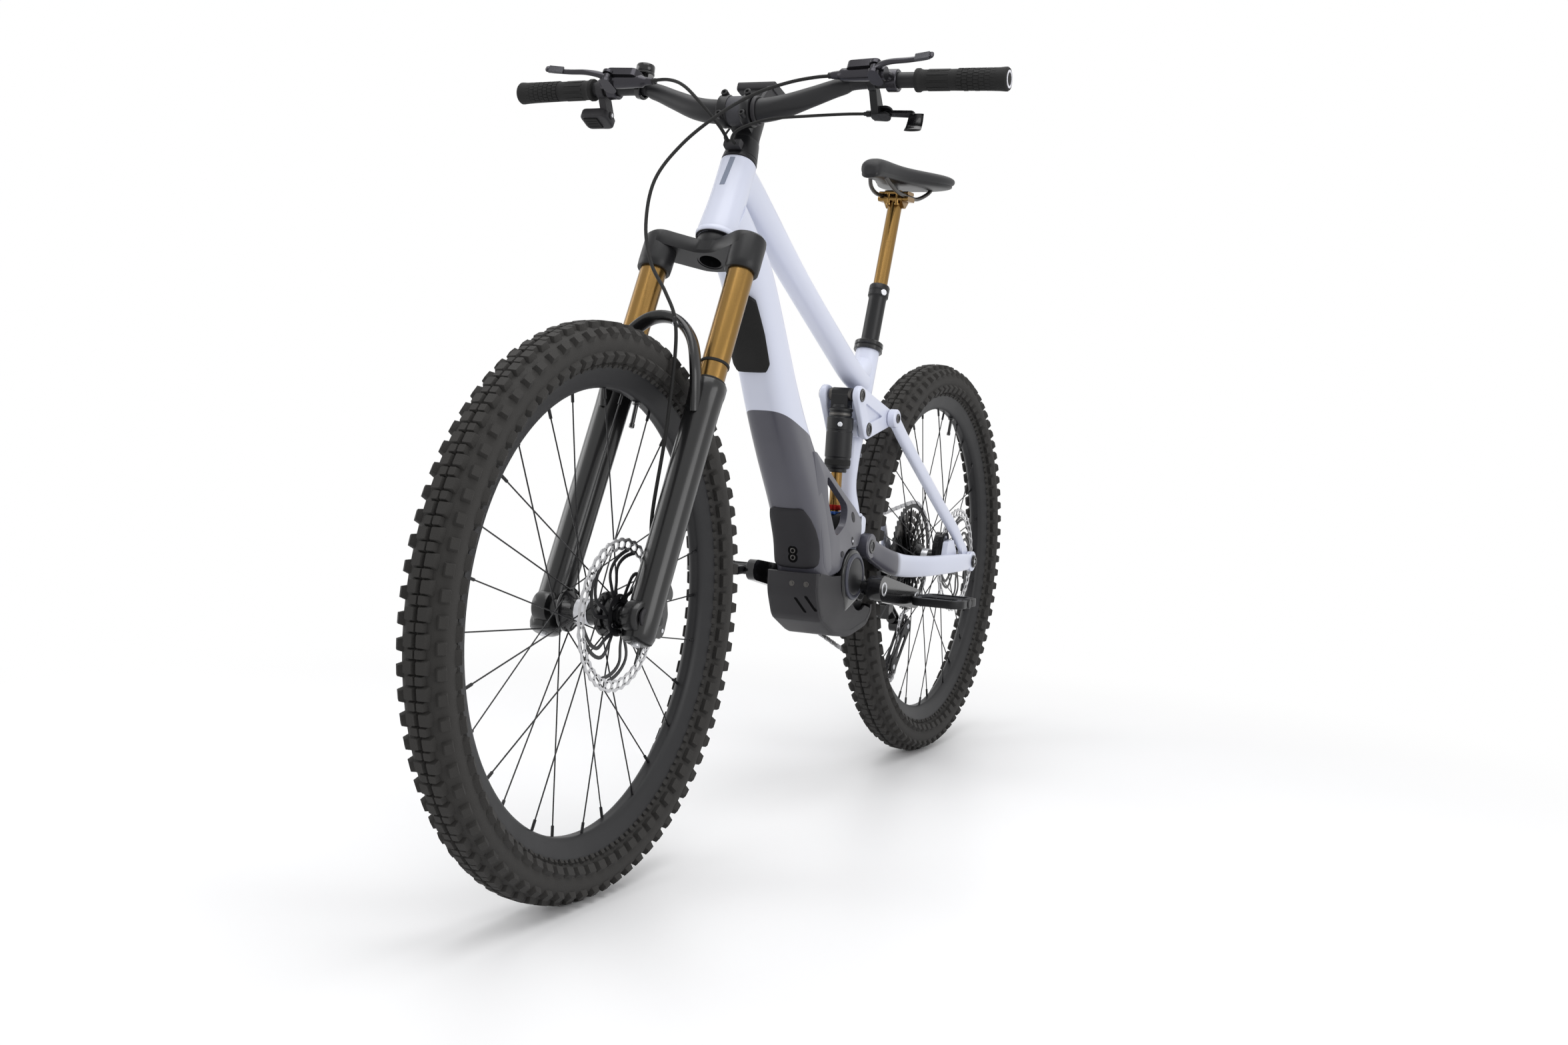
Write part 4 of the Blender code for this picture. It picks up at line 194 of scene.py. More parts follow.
class Shell:
    """Closed surfaces gathered into one mesh, each with the number of its finish."""

    def __init__(self, basis: Basis = BIKE) -> None:
        """Start empty.

        Args:
            basis: Frame that the points are given in.
        """
        self.basis = basis
        self.points: list[Array] = []
        self.faces: list[tuple[Array, int]] = []
        self.count = 0

    def add(self, points: Array, faces: Sequence[Array], finish: int = 0) -> "Shell":
        """Add one closed surface and turn its faces outwards.

        The volume is a sixth of the sum of the triangle fans' triple products; where it is
        negative, every face is reversed.

        Args:
            points: Corners, one row each.
            faces: Arrays of faces with the same number of corners.
            finish: Number of the finish.

        Returns:
            This shell.
        """
        points = self.basis.place(np.asarray(points, float).reshape(-1, 3))
        about = points - points.mean(0)
        volume = 0.0
        for block in faces:
            a, b, c = about[block[:, :1]], about[block[:, 1:-1]], about[block[:, 2:]]
            volume += float((a * np.cross(b, c)).sum())
        for block in faces:
            self.faces.append(((block if volume > 0 else block[:, ::-1]) + self.count, finish))
        self.points.append(points)
        self.count += len(points)
        return self

    def grid(self, rings: Array, ring: bool = False, finish: int = 0,
            poles: tuple[Point, Point] | None = None) -> "Shell":
        """Skin rings of points, each joined to the next, with a fan to a pole at each open end.

        Args:
            rings: Array of rings, points and coordinates.
            ring: The last ring joins the first.
            finish: Number of the finish.
            poles: Points of the end fans, or None for the end rings' middles.

        Returns:
            This shell.
        """
        n, m = rings.shape[:2]
        i = np.arange(n if ring else n - 1)[:, None] * m
        j = np.arange(m)[None, :]
        k, up = (j + 1) % m, (i + m) % (n * m)
        quads = np.stack([i + j, i + k, up + k, up + j], -1).reshape(-1, 4)
        points = rings.reshape(-1, 3)
        if ring:
            return self.add(points, [quads], finish)
        ends = np.array(poles, float) if poles is not None else rings[[0, -1]].mean(1)
        j, k = j[0], k[0]
        low = np.stack([k, j, np.full(m, n * m)], -1)
        high = np.stack([(n - 1) * m + j, (n - 1) * m + k, np.full(m, n * m + 1)], -1)
        return self.add(np.vstack([points, ends]), [quads, low, high], finish)

    def turned(self, profile: Sequence[Point], steps: int = 64, finish: int = 0, at: Point = (0, 0, 0),
            axis: Point = (0, 0, 1)) -> "Shell":
        """Turn a profile about an axis: each radius times a circle across it, each height along it.

        A profile that starts on the axis closes there, and any other closes on itself.

        Args:
            profile: Radius and height pairs.
            steps: Points round the circle.
            finish: Number of the finish.
            at: Where height is zero.
            axis: Direction of height.

        Returns:
            This shell.
        """
        p = np.asarray(profile, float)
        along = np.asarray(axis, float) / np.linalg.norm(axis)
        side = np.cross(along, (0.0, 1.0, 0.0) if abs(along[1]) < 0.9 else (1.0, 0.0, 0.0))
        side /= np.linalg.norm(side)
        c = circle(1.0, steps)
        round_it = c[:, :1] * side + c[:, 1:] * np.cross(along, side)
        rings = p[:, 0, None, None] * round_it + p[:, 1, None, None] * along + np.asarray(at, float)
        if p[0, 0] > TINY:
            return self.grid(rings, True, finish)
        ends = rings[[0, -1]].mean(1)
        return self.grid(rings[p[:, 0] > TINY], False, finish, (ends[0], ends[1]))

    def spun(self, profile: Sequence[Point], spot: Point, steps: int = 48, finish: int = 0) -> "Shell":
        """Turn a radius and y profile about the line across the bike at a spot's x and z."""
        return self.turned(profile, steps, finish, (spot[0], 0, spot[1]), (0, 1, 0))

    def band(self, spot: Point, y0: float, y1: float, inner: float, outer: float, steps: int = 48,
            finish: int = 0) -> "Shell":
        """Square-edged ring across the bike at a spot's x and z; an inner radius of zero closes it."""
        return self.spun([(inner, y0), (outer, y0), (outer, y1), (inner, y1)], spot, steps, finish)

    def rod(self, start: Point, stop: Point, radius: float, steps: int = 32, edge: float = 0.0,
            finish: int = 0) -> "Shell":
        """Add a round bar between two points.

        Args:
            start: Middle of one end.
            stop: Middle of the other end.
            radius: Radius of the bar.
            steps: Points round it.
            edge: Width of the cut on its end edges.
            finish: Number of the finish.

        Returns:
            This shell.
        """
        start, stop = np.asarray(start, float), np.asarray(stop, float)
        length = float(np.linalg.norm(stop - start))
        profile = [(0, 0), (radius, 0), (radius, length), (0, length)]
        if edge:
            profile = [(0, 0), (radius - edge, 0), (radius, edge), (radius, length - edge),
                (radius - edge, length), (0, length)]
        return self.turned(profile, steps, finish, start, stop - start)

    def disc(self, spot: Point, y0: float, y1: float, radius: float, steps: int = 32, edge: float = 0.0,
            finish: int = 0) -> "Shell":
        """Bar across the bike at a spot's x and z, between two levels."""
        return self.rod((spot[0], y0, spot[1]), (spot[0], y1, spot[1]), radius, steps, edge, finish)

    def post(self, spot: Point, z0: float, z1: float, radius: float, steps: int = 32, edge: float = 0.0,
            finish: int = 0) -> "Shell":
        """Upright bar at a spot's x and y, between two levels."""
        return self.rod((spot[0], spot[1], z0), (spot[0], spot[1], z1), radius, steps, edge, finish)

    def tube(self, path: Sequence[Point], radius: float | Array, sides: int = 12, finish: int = 0,
            flat: tuple[float, float] = (1.0, 1.0), up: Point | None = None) -> "Shell":
        """Carry a circle along a path, upright across it.

        Each ring's side is the up direction crossed with the path's heading. Without a given up
        direction the ring turns with the path, by the least turn from one heading to the next.

        Args:
            path: Points of the centre line.
            radius: One radius, or one for each point.
            sides: Points of the circle.
            finish: Number of the finish.
            flat: Scale of the circle across and along the up direction.
            up: Fixed up direction, or None.

        Returns:
            This shell.
        """
        p = np.asarray(path, float)
        ahead = np.gradient(p, axis=0)
        ahead /= np.linalg.norm(ahead, axis=1, keepdims=True)
        if up is None:
            ups = [np.cross(ahead[0], np.eye(3)[np.argmin(np.abs(ahead[0]))])]
            for heading in ahead[1:]:
                ups.append(ups[-1] - heading * (ups[-1] @ heading))
                ups[-1] = ups[-1] / np.linalg.norm(ups[-1])
            ups = np.array(ups)
        else:
            ups = np.asarray(up, float) - ahead * (ahead @ np.asarray(up, float))[:, None]
        ups /= np.linalg.norm(ups, axis=1, keepdims=True)
        sideways = np.cross(ups, ahead)
        c = circle(1.0, sides) * np.array(flat)
        r = np.broadcast_to(np.asarray(radius, float), len(p))[:, None, None]
        rings = p[:, None] + r * (c[:, :1] * sideways[:, None] + c[:, 1:] * ups[:, None])
        return self.grid(rings, finish=finish)

    def beam(self, stations: Sequence[Point], power: float, count: int, per_leg: int) -> "Shell":
        """Add a tube along a smooth curve, each ring an upright superellipse square to the curve.

        Args:
            stations: x, y, z, half width and half depth of each station.
            power: Power of the superellipse.
            count: Points of a ring.
            per_leg: Rings from one station to the next.

        Returns:
            This shell.
        """
        s = smooth_route(stations, per_leg)
        heading = np.gradient(s[:, [0, 2]], axis=0)
        heading /= np.linalg.norm(heading, axis=1, keepdims=True)
        across = np.stack([-heading[:, 1], np.zeros(len(s)), heading[:, 0]], -1)
        e = superellipse(s[:, 3], s[:, 4], power, count)
        rings = s[:, None, :3] + e[..., :1] * np.array([0.0, 1.0, 0.0]) + e[..., 1:] * across[:, None]
        return self.grid(rings)

    def plate(self, outline: Sequence[Point], low: float, high: float, finish: int = 0,
            plane: str = "xz") -> "Shell":
        """Push a flat outline from one level to another.

        Args:
            outline: Corners in the plane.
            low: One level.
            high: The other level.
            finish: Number of the finish.
            plane: Names of the outline's two coordinates.

        Returns:
            This shell.
        """
        p = np.asarray(outline, float)
        columns = ["xyz".index(c) for c in plane]
        level = 3 - sum(columns)
        n = len(p)
        points = np.zeros((2, n, 3))
        points[..., columns] = p
        points[0, :, level], points[1, :, level] = sorted((low, high))
        j = np.arange(n)
        k = (j + 1) % n
        sides = np.stack([j, k, n + k, n + j], -1)
        return self.add(points, [sides, np.array([j[::-1]]), np.array([n + j])], finish)

    def collar(self, outer: Array, inner: Array, low: float, high: float, edge: float = 0.0, finish: int = 0,
            plane: str = "xy", steps: int = 1) -> "Shell":
        """Flat plate with one opening: both outlines have the same number of points, in step.

        Each outer edge is a quarter circle, cut back toward the matching points of the opening by
        the edge times one less the sine, and raised by the edge times one less the cosine.

        Args:
            outer: Outline of the plate.
            inner: Outline of the opening.
            low: One level.
            high: The other level.
            edge: Width of the cut edges.
            finish: Number of the finish.
            plane: Names of the outlines' two coordinates.
            steps: Steps of each edge.

        Returns:
            This shell.
        """
        low, high = sorted((low, high))
        toward = (inner - outer) / np.linalg.norm(inner - outer, axis=1, keepdims=True)
        turn = np.linspace(0, math.pi / 2, steps + 1)
        inset, rise = edge * (1 - np.sin(turn)), edge * (1 - np.cos(turn))
        level = np.concatenate([low + rise, high - rise[::-1], [high, low]])
        inset = np.concatenate([inset, inset[::-1], [0.0, 0.0]])
        rings = np.empty((len(level), len(outer), 3))
        rings[:] = level[:, None, None]
        flat = outer + toward * inset[:, None, None]
        flat[-2:] = inner
        for k, name in enumerate(plane):
            rings[..., "xyz".index(name)] = flat[..., k]
        return self.grid(rings, True, finish)

    def stacked(self, stations: Sequence[Point], power: float, count: int, per_leg: int) -> "Shell":
        """Add an upright body along a smooth curve, each of its levels a superellipse.

        Args:
            stations: Level, x, y, half depth and half width of each station.
            power: Power of the superellipse.
            count: Points of a ring.
            per_leg: Rings from one station to the next.

        Returns:
            This shell.
        """
        s = smooth_route(stations, per_leg)
        e = superellipse(s[:, 3], s[:, 4], power, count)
        level = np.broadcast_to(s[:, :1], e.shape[:2])
        return self.grid(np.stack([s[:, 1:2] + e[..., 0], s[:, 2:3] + e[..., 1], level], -1))

    def merge(self, other: "Shell") -> "Shell":
        """Take over another shell's surfaces, where that shell's frame puts them.

        Args:
            other: The other shell.

        Returns:
            This shell.
        """
        self.faces += [(block + self.count, finish) for block, finish in other.faces]
        self.points += other.points
        self.count += other.count
        return self

    def copies(self, other: "Shell", moves: Array) -> "Shell":
        """Add another shell once for each 4 by 4 matrix, in that shell's frame.

        Args:
            other: Shell to repeat.
            moves: Stack of matrices.

        Returns:
            This shell.
        """
        p = np.vstack(other.points)
        moved = np.einsum("nij,pj->npi", moves[:, :3, :3], p) + moves[:, None, :3, 3]
        for block, finish in other.faces:
            shift = np.arange(len(moves))[:, None, None] * len(p) + self.count
            self.faces.append(((block[None] + shift).reshape(-1, block.shape[1]), finish))
        self.points.append(self.basis.place(moved.reshape(-1, 3)))
        self.count += moved.shape[0] * moved.shape[1]
        return self

    def mesh(self, name: str, finishes: Sequence[bpy.types.Material], sharp: float) -> bpy.types.Mesh:
        """Make the mesh, smooth but for its sharp edges.

        Args:
            name: Name of the mesh.
            finishes: Material of each finish's number.
            sharp: Angle in degrees over which an edge is sharp.

        Returns:
            The mesh.
        """
        mesh = bpy.data.meshes.new(name)
        sizes = np.concatenate([np.full(len(f), f.shape[1]) for f, _ in self.faces])
        corners = np.concatenate([f.ravel() for f, _ in self.faces])
        points = np.vstack(self.points)
        mesh.vertices.add(len(points))
        mesh.vertices.foreach_set("co", points.ravel())
        mesh.loops.add(len(corners))
        mesh.loops.foreach_set("vertex_index", corners)
        mesh.polygons.add(len(sizes))
        mesh.polygons.foreach_set("loop_start", np.concatenate([[0], np.cumsum(sizes)[:-1]]))
        for finish in finishes:
            mesh.materials.append(finish)
        mesh.polygons.foreach_set("material_index",
            np.concatenate([np.full(len(f), k) for f, k in self.faces]))
        mesh.update(calc_edges=True)
        mesh.shade_smooth()
        mesh.set_sharp_from_angle(angle=math.radians(sharp))
        return mesh


def spins(centre: Point, angles: Array) -> Array:
    """Matrices that turn about the Y line through a point of the XZ plane, from X towards Z.

    Args:
        centre: The line's x and z.
        angles: One turn for each matrix.

    Returns:
        Stack of 4 by 4 matrices.
    """
    c, s = np.cos(angles), np.sin(angles)
    m = np.tile(np.eye(4), (len(c), 1, 1))
    m[:, 0, 0], m[:, 0, 2], m[:, 2, 0], m[:, 2, 2] = c, -s, s, c
    m[:, 0, 3] = centre[0] - c * centre[0] + s * centre[1]
    m[:, 2, 3] = centre[1] - s * centre[0] - c * centre[1]
    return m


# Finishes

class Graph:
    """Short way to add nodes to a shader tree and join them."""

    def __init__(self, tree: bpy.types.NodeTree) -> None:
        """Hold the tree."""
        self.tree = tree

    def node(self, kind: str, inputs: dict | None = None, **settings: object) -> bpy.types.Node:
        """Add a node.

        Args:
            kind: Type name without its ShaderNode start.
            inputs: Value or source socket of each named or numbered input.
            settings: Attributes of the node.

        Returns:
            The node.
        """
        node = self.tree.nodes.new("ShaderNode" + kind)
        for key, value in settings.items():
            setattr(node, key, value)
        for key, value in (inputs or {}).items():
            if isinstance(value, bpy.types.NodeSocket):
                self.tree.links.new(value, node.inputs[key])
            else:
                node.inputs[key].default_value = value
        return node

    def math(self, operation: str, *values: object, clamp: bool = False) -> bpy.types.NodeSocket:
        """Result of a Math node on values or sockets."""
        node = self.node("Math", dict(enumerate(values)), operation=operation, use_clamp=clamp)
        return node.outputs[0]

    def mix(self, share: object, first: object, second: object) -> bpy.types.NodeSocket:
        """Mixed colour of two colours or sockets."""
        node = self.node("Mix", {0: share, 6: first, 7: second}, data_type="RGBA")
        return node.outputs[2]

    def place(self) -> bpy.types.NodeSocket:
        """Object coordinates of the piece."""
        return self.node("TexCoord").outputs["Object"]

    def above(self, normal: Point, level: float, soft: float = 0.0004) -> bpy.types.NodeSocket:
        """Mask that is one where a point's component along a direction is over a level.

        Args:
            normal: The direction.
            level: The level.
            soft: Width over which the mask rises.

        Returns:
            Socket of the mask.
        """
        dot = self.node("VectorMath", {0: self.place(), 1: tuple(normal)}, operation="DOT_PRODUCT")
        out = self.math("SUBTRACT", dot.outputs["Value"], level - soft / 2)
        return self.math("DIVIDE", out, soft, clamp=True)


def grain_group() -> bpy.types.NodeTree:
    """Build the effect that every finish shares: mottled colour, uneven gloss and fine relief.

    A wide noise shifts the colour and the roughness, and a fine one gives the height.

    Returns:
        The node group.
    """
    tree = bpy.data.node_groups.new("surface_grain", "ShaderNodeTree")
    for name, kind in (("Colour", "NodeSocketColor"), ("Worn Colour", "NodeSocketColor"),
            ("Mottle", "NodeSocketFloat"), ("Mottle Scale", "NodeSocketFloat"),
            ("Roughness", "NodeSocketFloat"), ("Uneven", "NodeSocketFloat"),
            ("Grain Scale", "NodeSocketFloat"), ("Relief", "NodeSocketFloat")):
        tree.interface.new_socket(name, in_out="INPUT", socket_type=kind)
    for name, kind in (("Colour", "NodeSocketColor"), ("Roughness", "NodeSocketFloat"),
            ("Normal", "NodeSocketVector")):
        tree.interface.new_socket(name, in_out="OUTPUT", socket_type=kind)
    g = Graph(tree)
    given = tree.nodes.new("NodeGroupInput").outputs
    made = tree.nodes.new("NodeGroupOutput").inputs
    place = g.place()
    wide = g.node("TexNoise", {"Vector": place, "Scale": given["Mottle Scale"], "Detail": 3.0}).outputs[0]
    fine = g.node("TexNoise", {"Vector": place, "Scale": given["Grain Scale"], "Detail": 2.0}).outputs[0]
    share = g.math("MULTIPLY", wide, given["Mottle"], clamp=True)
    tree.links.new(g.mix(share, given["Colour"], given["Worn Colour"]), made["Colour"])
    shift = g.math("MULTIPLY", g.math("SUBTRACT", wide, 0.5), given["Uneven"])
    tree.links.new(g.math("ADD", given["Roughness"], shift, clamp=True), made["Roughness"])
    bump = g.node("Bump", {"Height": fine, "Distance": 0.001, "Strength": given["Relief"]})
    tree.links.new(bump.outputs["Normal"], made["Normal"])
    return tree


def linear(red: int, green: int, blue: int) -> tuple[float, float, float, float]:
    """Scene colour of an 8-bit screen colour, by the sRGB curve.

    Args:
        red: Red, up to 255.
        green: Green, up to 255.
        blue: Blue, up to 255.

    Returns:
        The three linear values and an alpha of one.
    """
    v = np.array([red, green, blue]) / 255
    v = np.where(v <= 0.04045, v / 12.92, ((v + 0.055) / 1.055) ** 2.4)
    return (*map(float, v), 1.0)


@dataclass(frozen=True)
class Finish:
    """A surface: its colours, gloss, grain, and how far each varies."""

    name: str
    colour: tuple[float, float, float, float]
    worn: tuple[float, float, float, float] | None = None
    mottle: float = 0.25
    mottle_scale: float = 18.0
    roughness: float = 0.4
    uneven: float = 0.12
    grain_scale: float = 1500.0
    relief: float = 0.1
    metallic: float = 0.0
    coat: float = 0.0
    coat_roughness: float = 0.08
    specular: float = 0.3
    anisotropic: float = 0.0

    def painted(self, g: Graph, colour: object) -> object:
        """Colour before mottling; a finish with a pattern returns a socket here."""
        return colour

    def build(self) -> bpy.types.Material:
        """Make the material: the shared grain group feeds one Principled BSDF."""
        material = bpy.data.materials.new(self.name)
        material.use_nodes = True
        g = Graph(material.node_tree)
        surface = material.node_tree.nodes["Principled BSDF"]
        group = g.node("Group", node_tree=bpy.data.node_groups["surface_grain"])
        values = {"Worn Colour": self.worn or tuple(0.72 * c for c in self.colour[:3]) + (1.0,),
            "Mottle": self.mottle, "Mottle Scale": self.mottle_scale, "Roughness": self.roughness,
            "Uneven": self.uneven, "Grain Scale": self.grain_scale, "Relief": self.relief}
        for key, value in values.items():
            group.inputs[key].default_value = value
        colour = self.painted(g, self.colour)
        if isinstance(colour, bpy.types.NodeSocket):
            g.tree.links.new(colour, group.inputs["Colour"])
        else:
            group.inputs["Colour"].default_value = colour
        for key, source in (("Base Color", "Colour"), ("Roughness", "Roughness"), ("Normal", "Normal")):
            g.tree.links.new(group.outputs[source], surface.inputs[key])
        surface.inputs["Metallic"].default_value = self.metallic
        surface.inputs["Coat Weight"].default_value = self.coat
        surface.inputs["Coat Roughness"].default_value = self.coat_roughness
        surface.inputs["Specular IOR Level"].default_value = self.specular
        surface.inputs["Anisotropic"].default_value = self.anisotropic
        material.diffuse_color = self.colour
        return material


class Slot(Enum):
    """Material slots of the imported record."""

    PAINT = "frame_paint"
    DARK = "dark_plastic"
    GLOSS = "black_gloss"
    RUBBER = "rubber"
    TYRE = "tyre"
    CARBON = "rim_carbon"
    STEEL = "steel"
    SILVER = "silver_alloy"
    GOLD = "gold_coating"


PALE = linear(203, 207, 223)
ANTHRACITE = linear(60, 59, 68)


class StayPaint(Finish):
    """Pale paint that fades to anthracite toward the main pivot."""

    def painted(self, g: Graph, colour: object) -> object:
        """Anthracite ahead of the joint, over a soft edge."""
        return g.mix(g.above((1.0, 0.0, 0.0), -0.318, 0.018), colour, ANTHRACITE)


class FramePaint(Finish):
    """Satin pale paint that turns to anthracite low on the down tube and round the motor."""

    def painted(self, g: Graph, colour: object) -> object:
        """Anthracite under a slanted line on the down tube, and on the bracket's plates.

        Args:
            g: Tree of the material.
            colour: Pale paint.

        Returns:
            Socket of the paint's colour.
        """
        line = g.math("SUBTRACT", 1.0, g.above((-0.3495, 0.0, 1.0), 0.591))
        low = g.math("SUBTRACT", 1.0, g.above((0.0, 0.0, 1.0), 0.651))
        ahead = g.above((1.0, 0.0, 0.0), -0.184)
        mask = g.math("MULTIPLY", g.math("MULTIPLY", line, low), ahead)
        return g.mix(mask, colour, ANTHRACITE)


def build_finishes() -> dict[str, bpy.types.Material]:
    """Make every finish once.

    Returns:
        Material of each finish's name.
    """
    grain_group()
    satin = {"mottle": 0.1, "mottle_scale": 6, "roughness": 0.34, "relief": 0.03, "coat": 0.35,
        "coat_roughness": 0.25}
    listed = [
        FramePaint("paint", PALE, **satin),
        StayPaint("stay_paint", PALE, **satin),
        Finish("plastic", linear(36, 35, 38), roughness=0.5, grain_scale=2600, relief=0.25),
        Finish("gloss", linear(12, 12, 14), roughness=0.22, coat=0.35, relief=0.03, mottle=0.2),
        Finish("satin_black", linear(20, 20, 22), roughness=0.38, relief=0.08),
        # Near-black finish with almost no reflection: painted shade that stands in for the dark inside hex
        # sockets, screw pockets and vent slots.
        Finish("pit", linear(5, 5, 6), roughness=0.9, specular=0.08, relief=0.02),
        Finish("rubber", linear(26, 26, 26), roughness=0.78, uneven=0.2, relief=0.3, grain_scale=900),
        Finish("tread", linear(44, 43, 42), roughness=0.82, uneven=0.2, relief=0.5, grain_scale=700,
            mottle=0.5, worn=linear(60, 58, 56)),
        Finish("carbon", linear(30, 30, 32), roughness=0.46, relief=0.1, mottle=0.4,
            worn=linear(22, 22, 24)),
        Finish("steel", linear(196, 196, 198), metallic=1.0, roughness=0.3, relief=0.15, grain_scale=2500),
        Finish("dark_steel", linear(92, 90, 88), metallic=1.0, roughness=0.38, relief=0.15, mottle=0.5,
            worn=linear(50, 49, 48)),
        Finish("silver", linear(205, 206, 210), metallic=1.0, roughness=0.32, relief=0.06),
        Finish("gold", linear(134, 106, 62), metallic=1.0, roughness=0.26, relief=0.04, mottle=0.3,
            mottle_scale=9, worn=linear(120, 86, 44)),
        Finish("red", linear(150, 28, 24), metallic=0.6, roughness=0.34, relief=0.05),
        Finish("leg", linear(18, 18, 19), roughness=0.3, coat=0.35, coat_roughness=0.12, relief=0.04,
            mottle=0.2),
        Finish("blue", linear(58, 92, 158), metallic=0.8, roughness=0.35, relief=0.05),
        Finish("cover", linear(31, 30, 34), roughness=0.6, relief=0.35, grain_scale=1800),
        Finish("gunmetal", linear(60, 59, 63), metallic=0.85, roughness=0.24, relief=0.03, mottle=0.15),
        Finish("knurled", linear(70, 70, 74), metallic=0.6, roughness=0.5, relief=0.6, grain_scale=1200),
        Finish("saddle_cover", linear(31, 31, 33), roughness=0.5, relief=0.2, grain_scale=1600),
        Finish("crank", linear(16, 16, 18), roughness=0.16, coat=0.5, relief=0.02, mottle=0.2),
        Finish("pale_grey", linear(214, 214, 220), roughness=0.5),
        Finish("stripe", linear(120, 128, 146), roughness=0.34, coat=0.3, coat_roughness=0.2, relief=0.02),
        Finish("slate", linear(70, 71, 80), roughness=0.36, metallic=0.5, relief=0.04, mottle=0.15),
    ]
    return {f.name: f.build() for f in listed}


# Making pieces

FINISHES: dict[str, bpy.types.Material] = {}
BODY_OF = {node: body for body, nodes in frame["record"]["behaviour"]["bodies"].items() for node in nodes}


def carried(name: str, mesh: bpy.types.Mesh, node: str, bevel: float, stands_in: bool) -> bpy.types.Object:
    """Make a piece that rides on a CAD node's body.

    Args:
        name: Name of the piece.
        mesh: Its mesh, placed in the bike's frame.
        node: The CAD node.
        bevel: Width of the rounding of its sharp edges.
        stands_in: The piece replaces the node.

    Returns:
        The object.
    """
    piece = bpy.data.objects.new(name, mesh)
    bpy.context.scene.collection.objects.link(piece)
    if bevel:
        rounding = piece.modifiers.new("rounding", "BEVEL")
        rounding.width = bevel
        rounding.segments = 2
        rounding.limit_method = "ANGLE"
        rounding.angle_limit = math.radians(38)
        rounding.harden_normals = True
    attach(piece, BODY_OF[node])
    if stands_in:
        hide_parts(node)
    log.info("%s rides on %s, %d faces", name, BODY_OF[node], len(mesh.polygons))
    return piece


def shaped(name: str, shell: Shell, finishes: str, node: str, bevel: float = 0.0, sharp: float = 34.0,
        stands_in: bool = True) -> bpy.types.Object:
    """Make a piece from a shell; finishes are names parted by spaces, and the rest is as for carried."""
    mesh = shell.mesh(name, [FINISHES[f] for f in finishes.split()], sharp)
    return carried(name, mesh, node, bevel, stands_in)


def battery() -> None:
    """Dress the battery's node: its own mesh with the flats joined and the edges rounded."""
    bm = bmesh.new()
    bm.from_mesh(frame["nodes"]["battery_pack"].data)
    bmesh.ops.remove_doubles(bm, verts=bm.verts[:], dist=2e-6)
    bmesh.ops.dissolve_limit(bm, angle_limit=math.radians(0.6), verts=bm.verts[:], edges=bm.edges[:])
    bmesh.ops.recalc_face_normals(bm, faces=bm.faces[:])
    for face in bm.faces:
        face.material_index = 0
    mesh = bpy.data.meshes.new("battery_pack_skin")
    bm.to_mesh(mesh)
    bm.free()
    mesh.materials.append(FINISHES["plastic"])
    mesh.shade_smooth()
    mesh.set_sharp_from_angle(angle=math.radians(34))
    carried("battery_pack_skin", mesh, "battery_pack", 0.0005, True)


# Studio

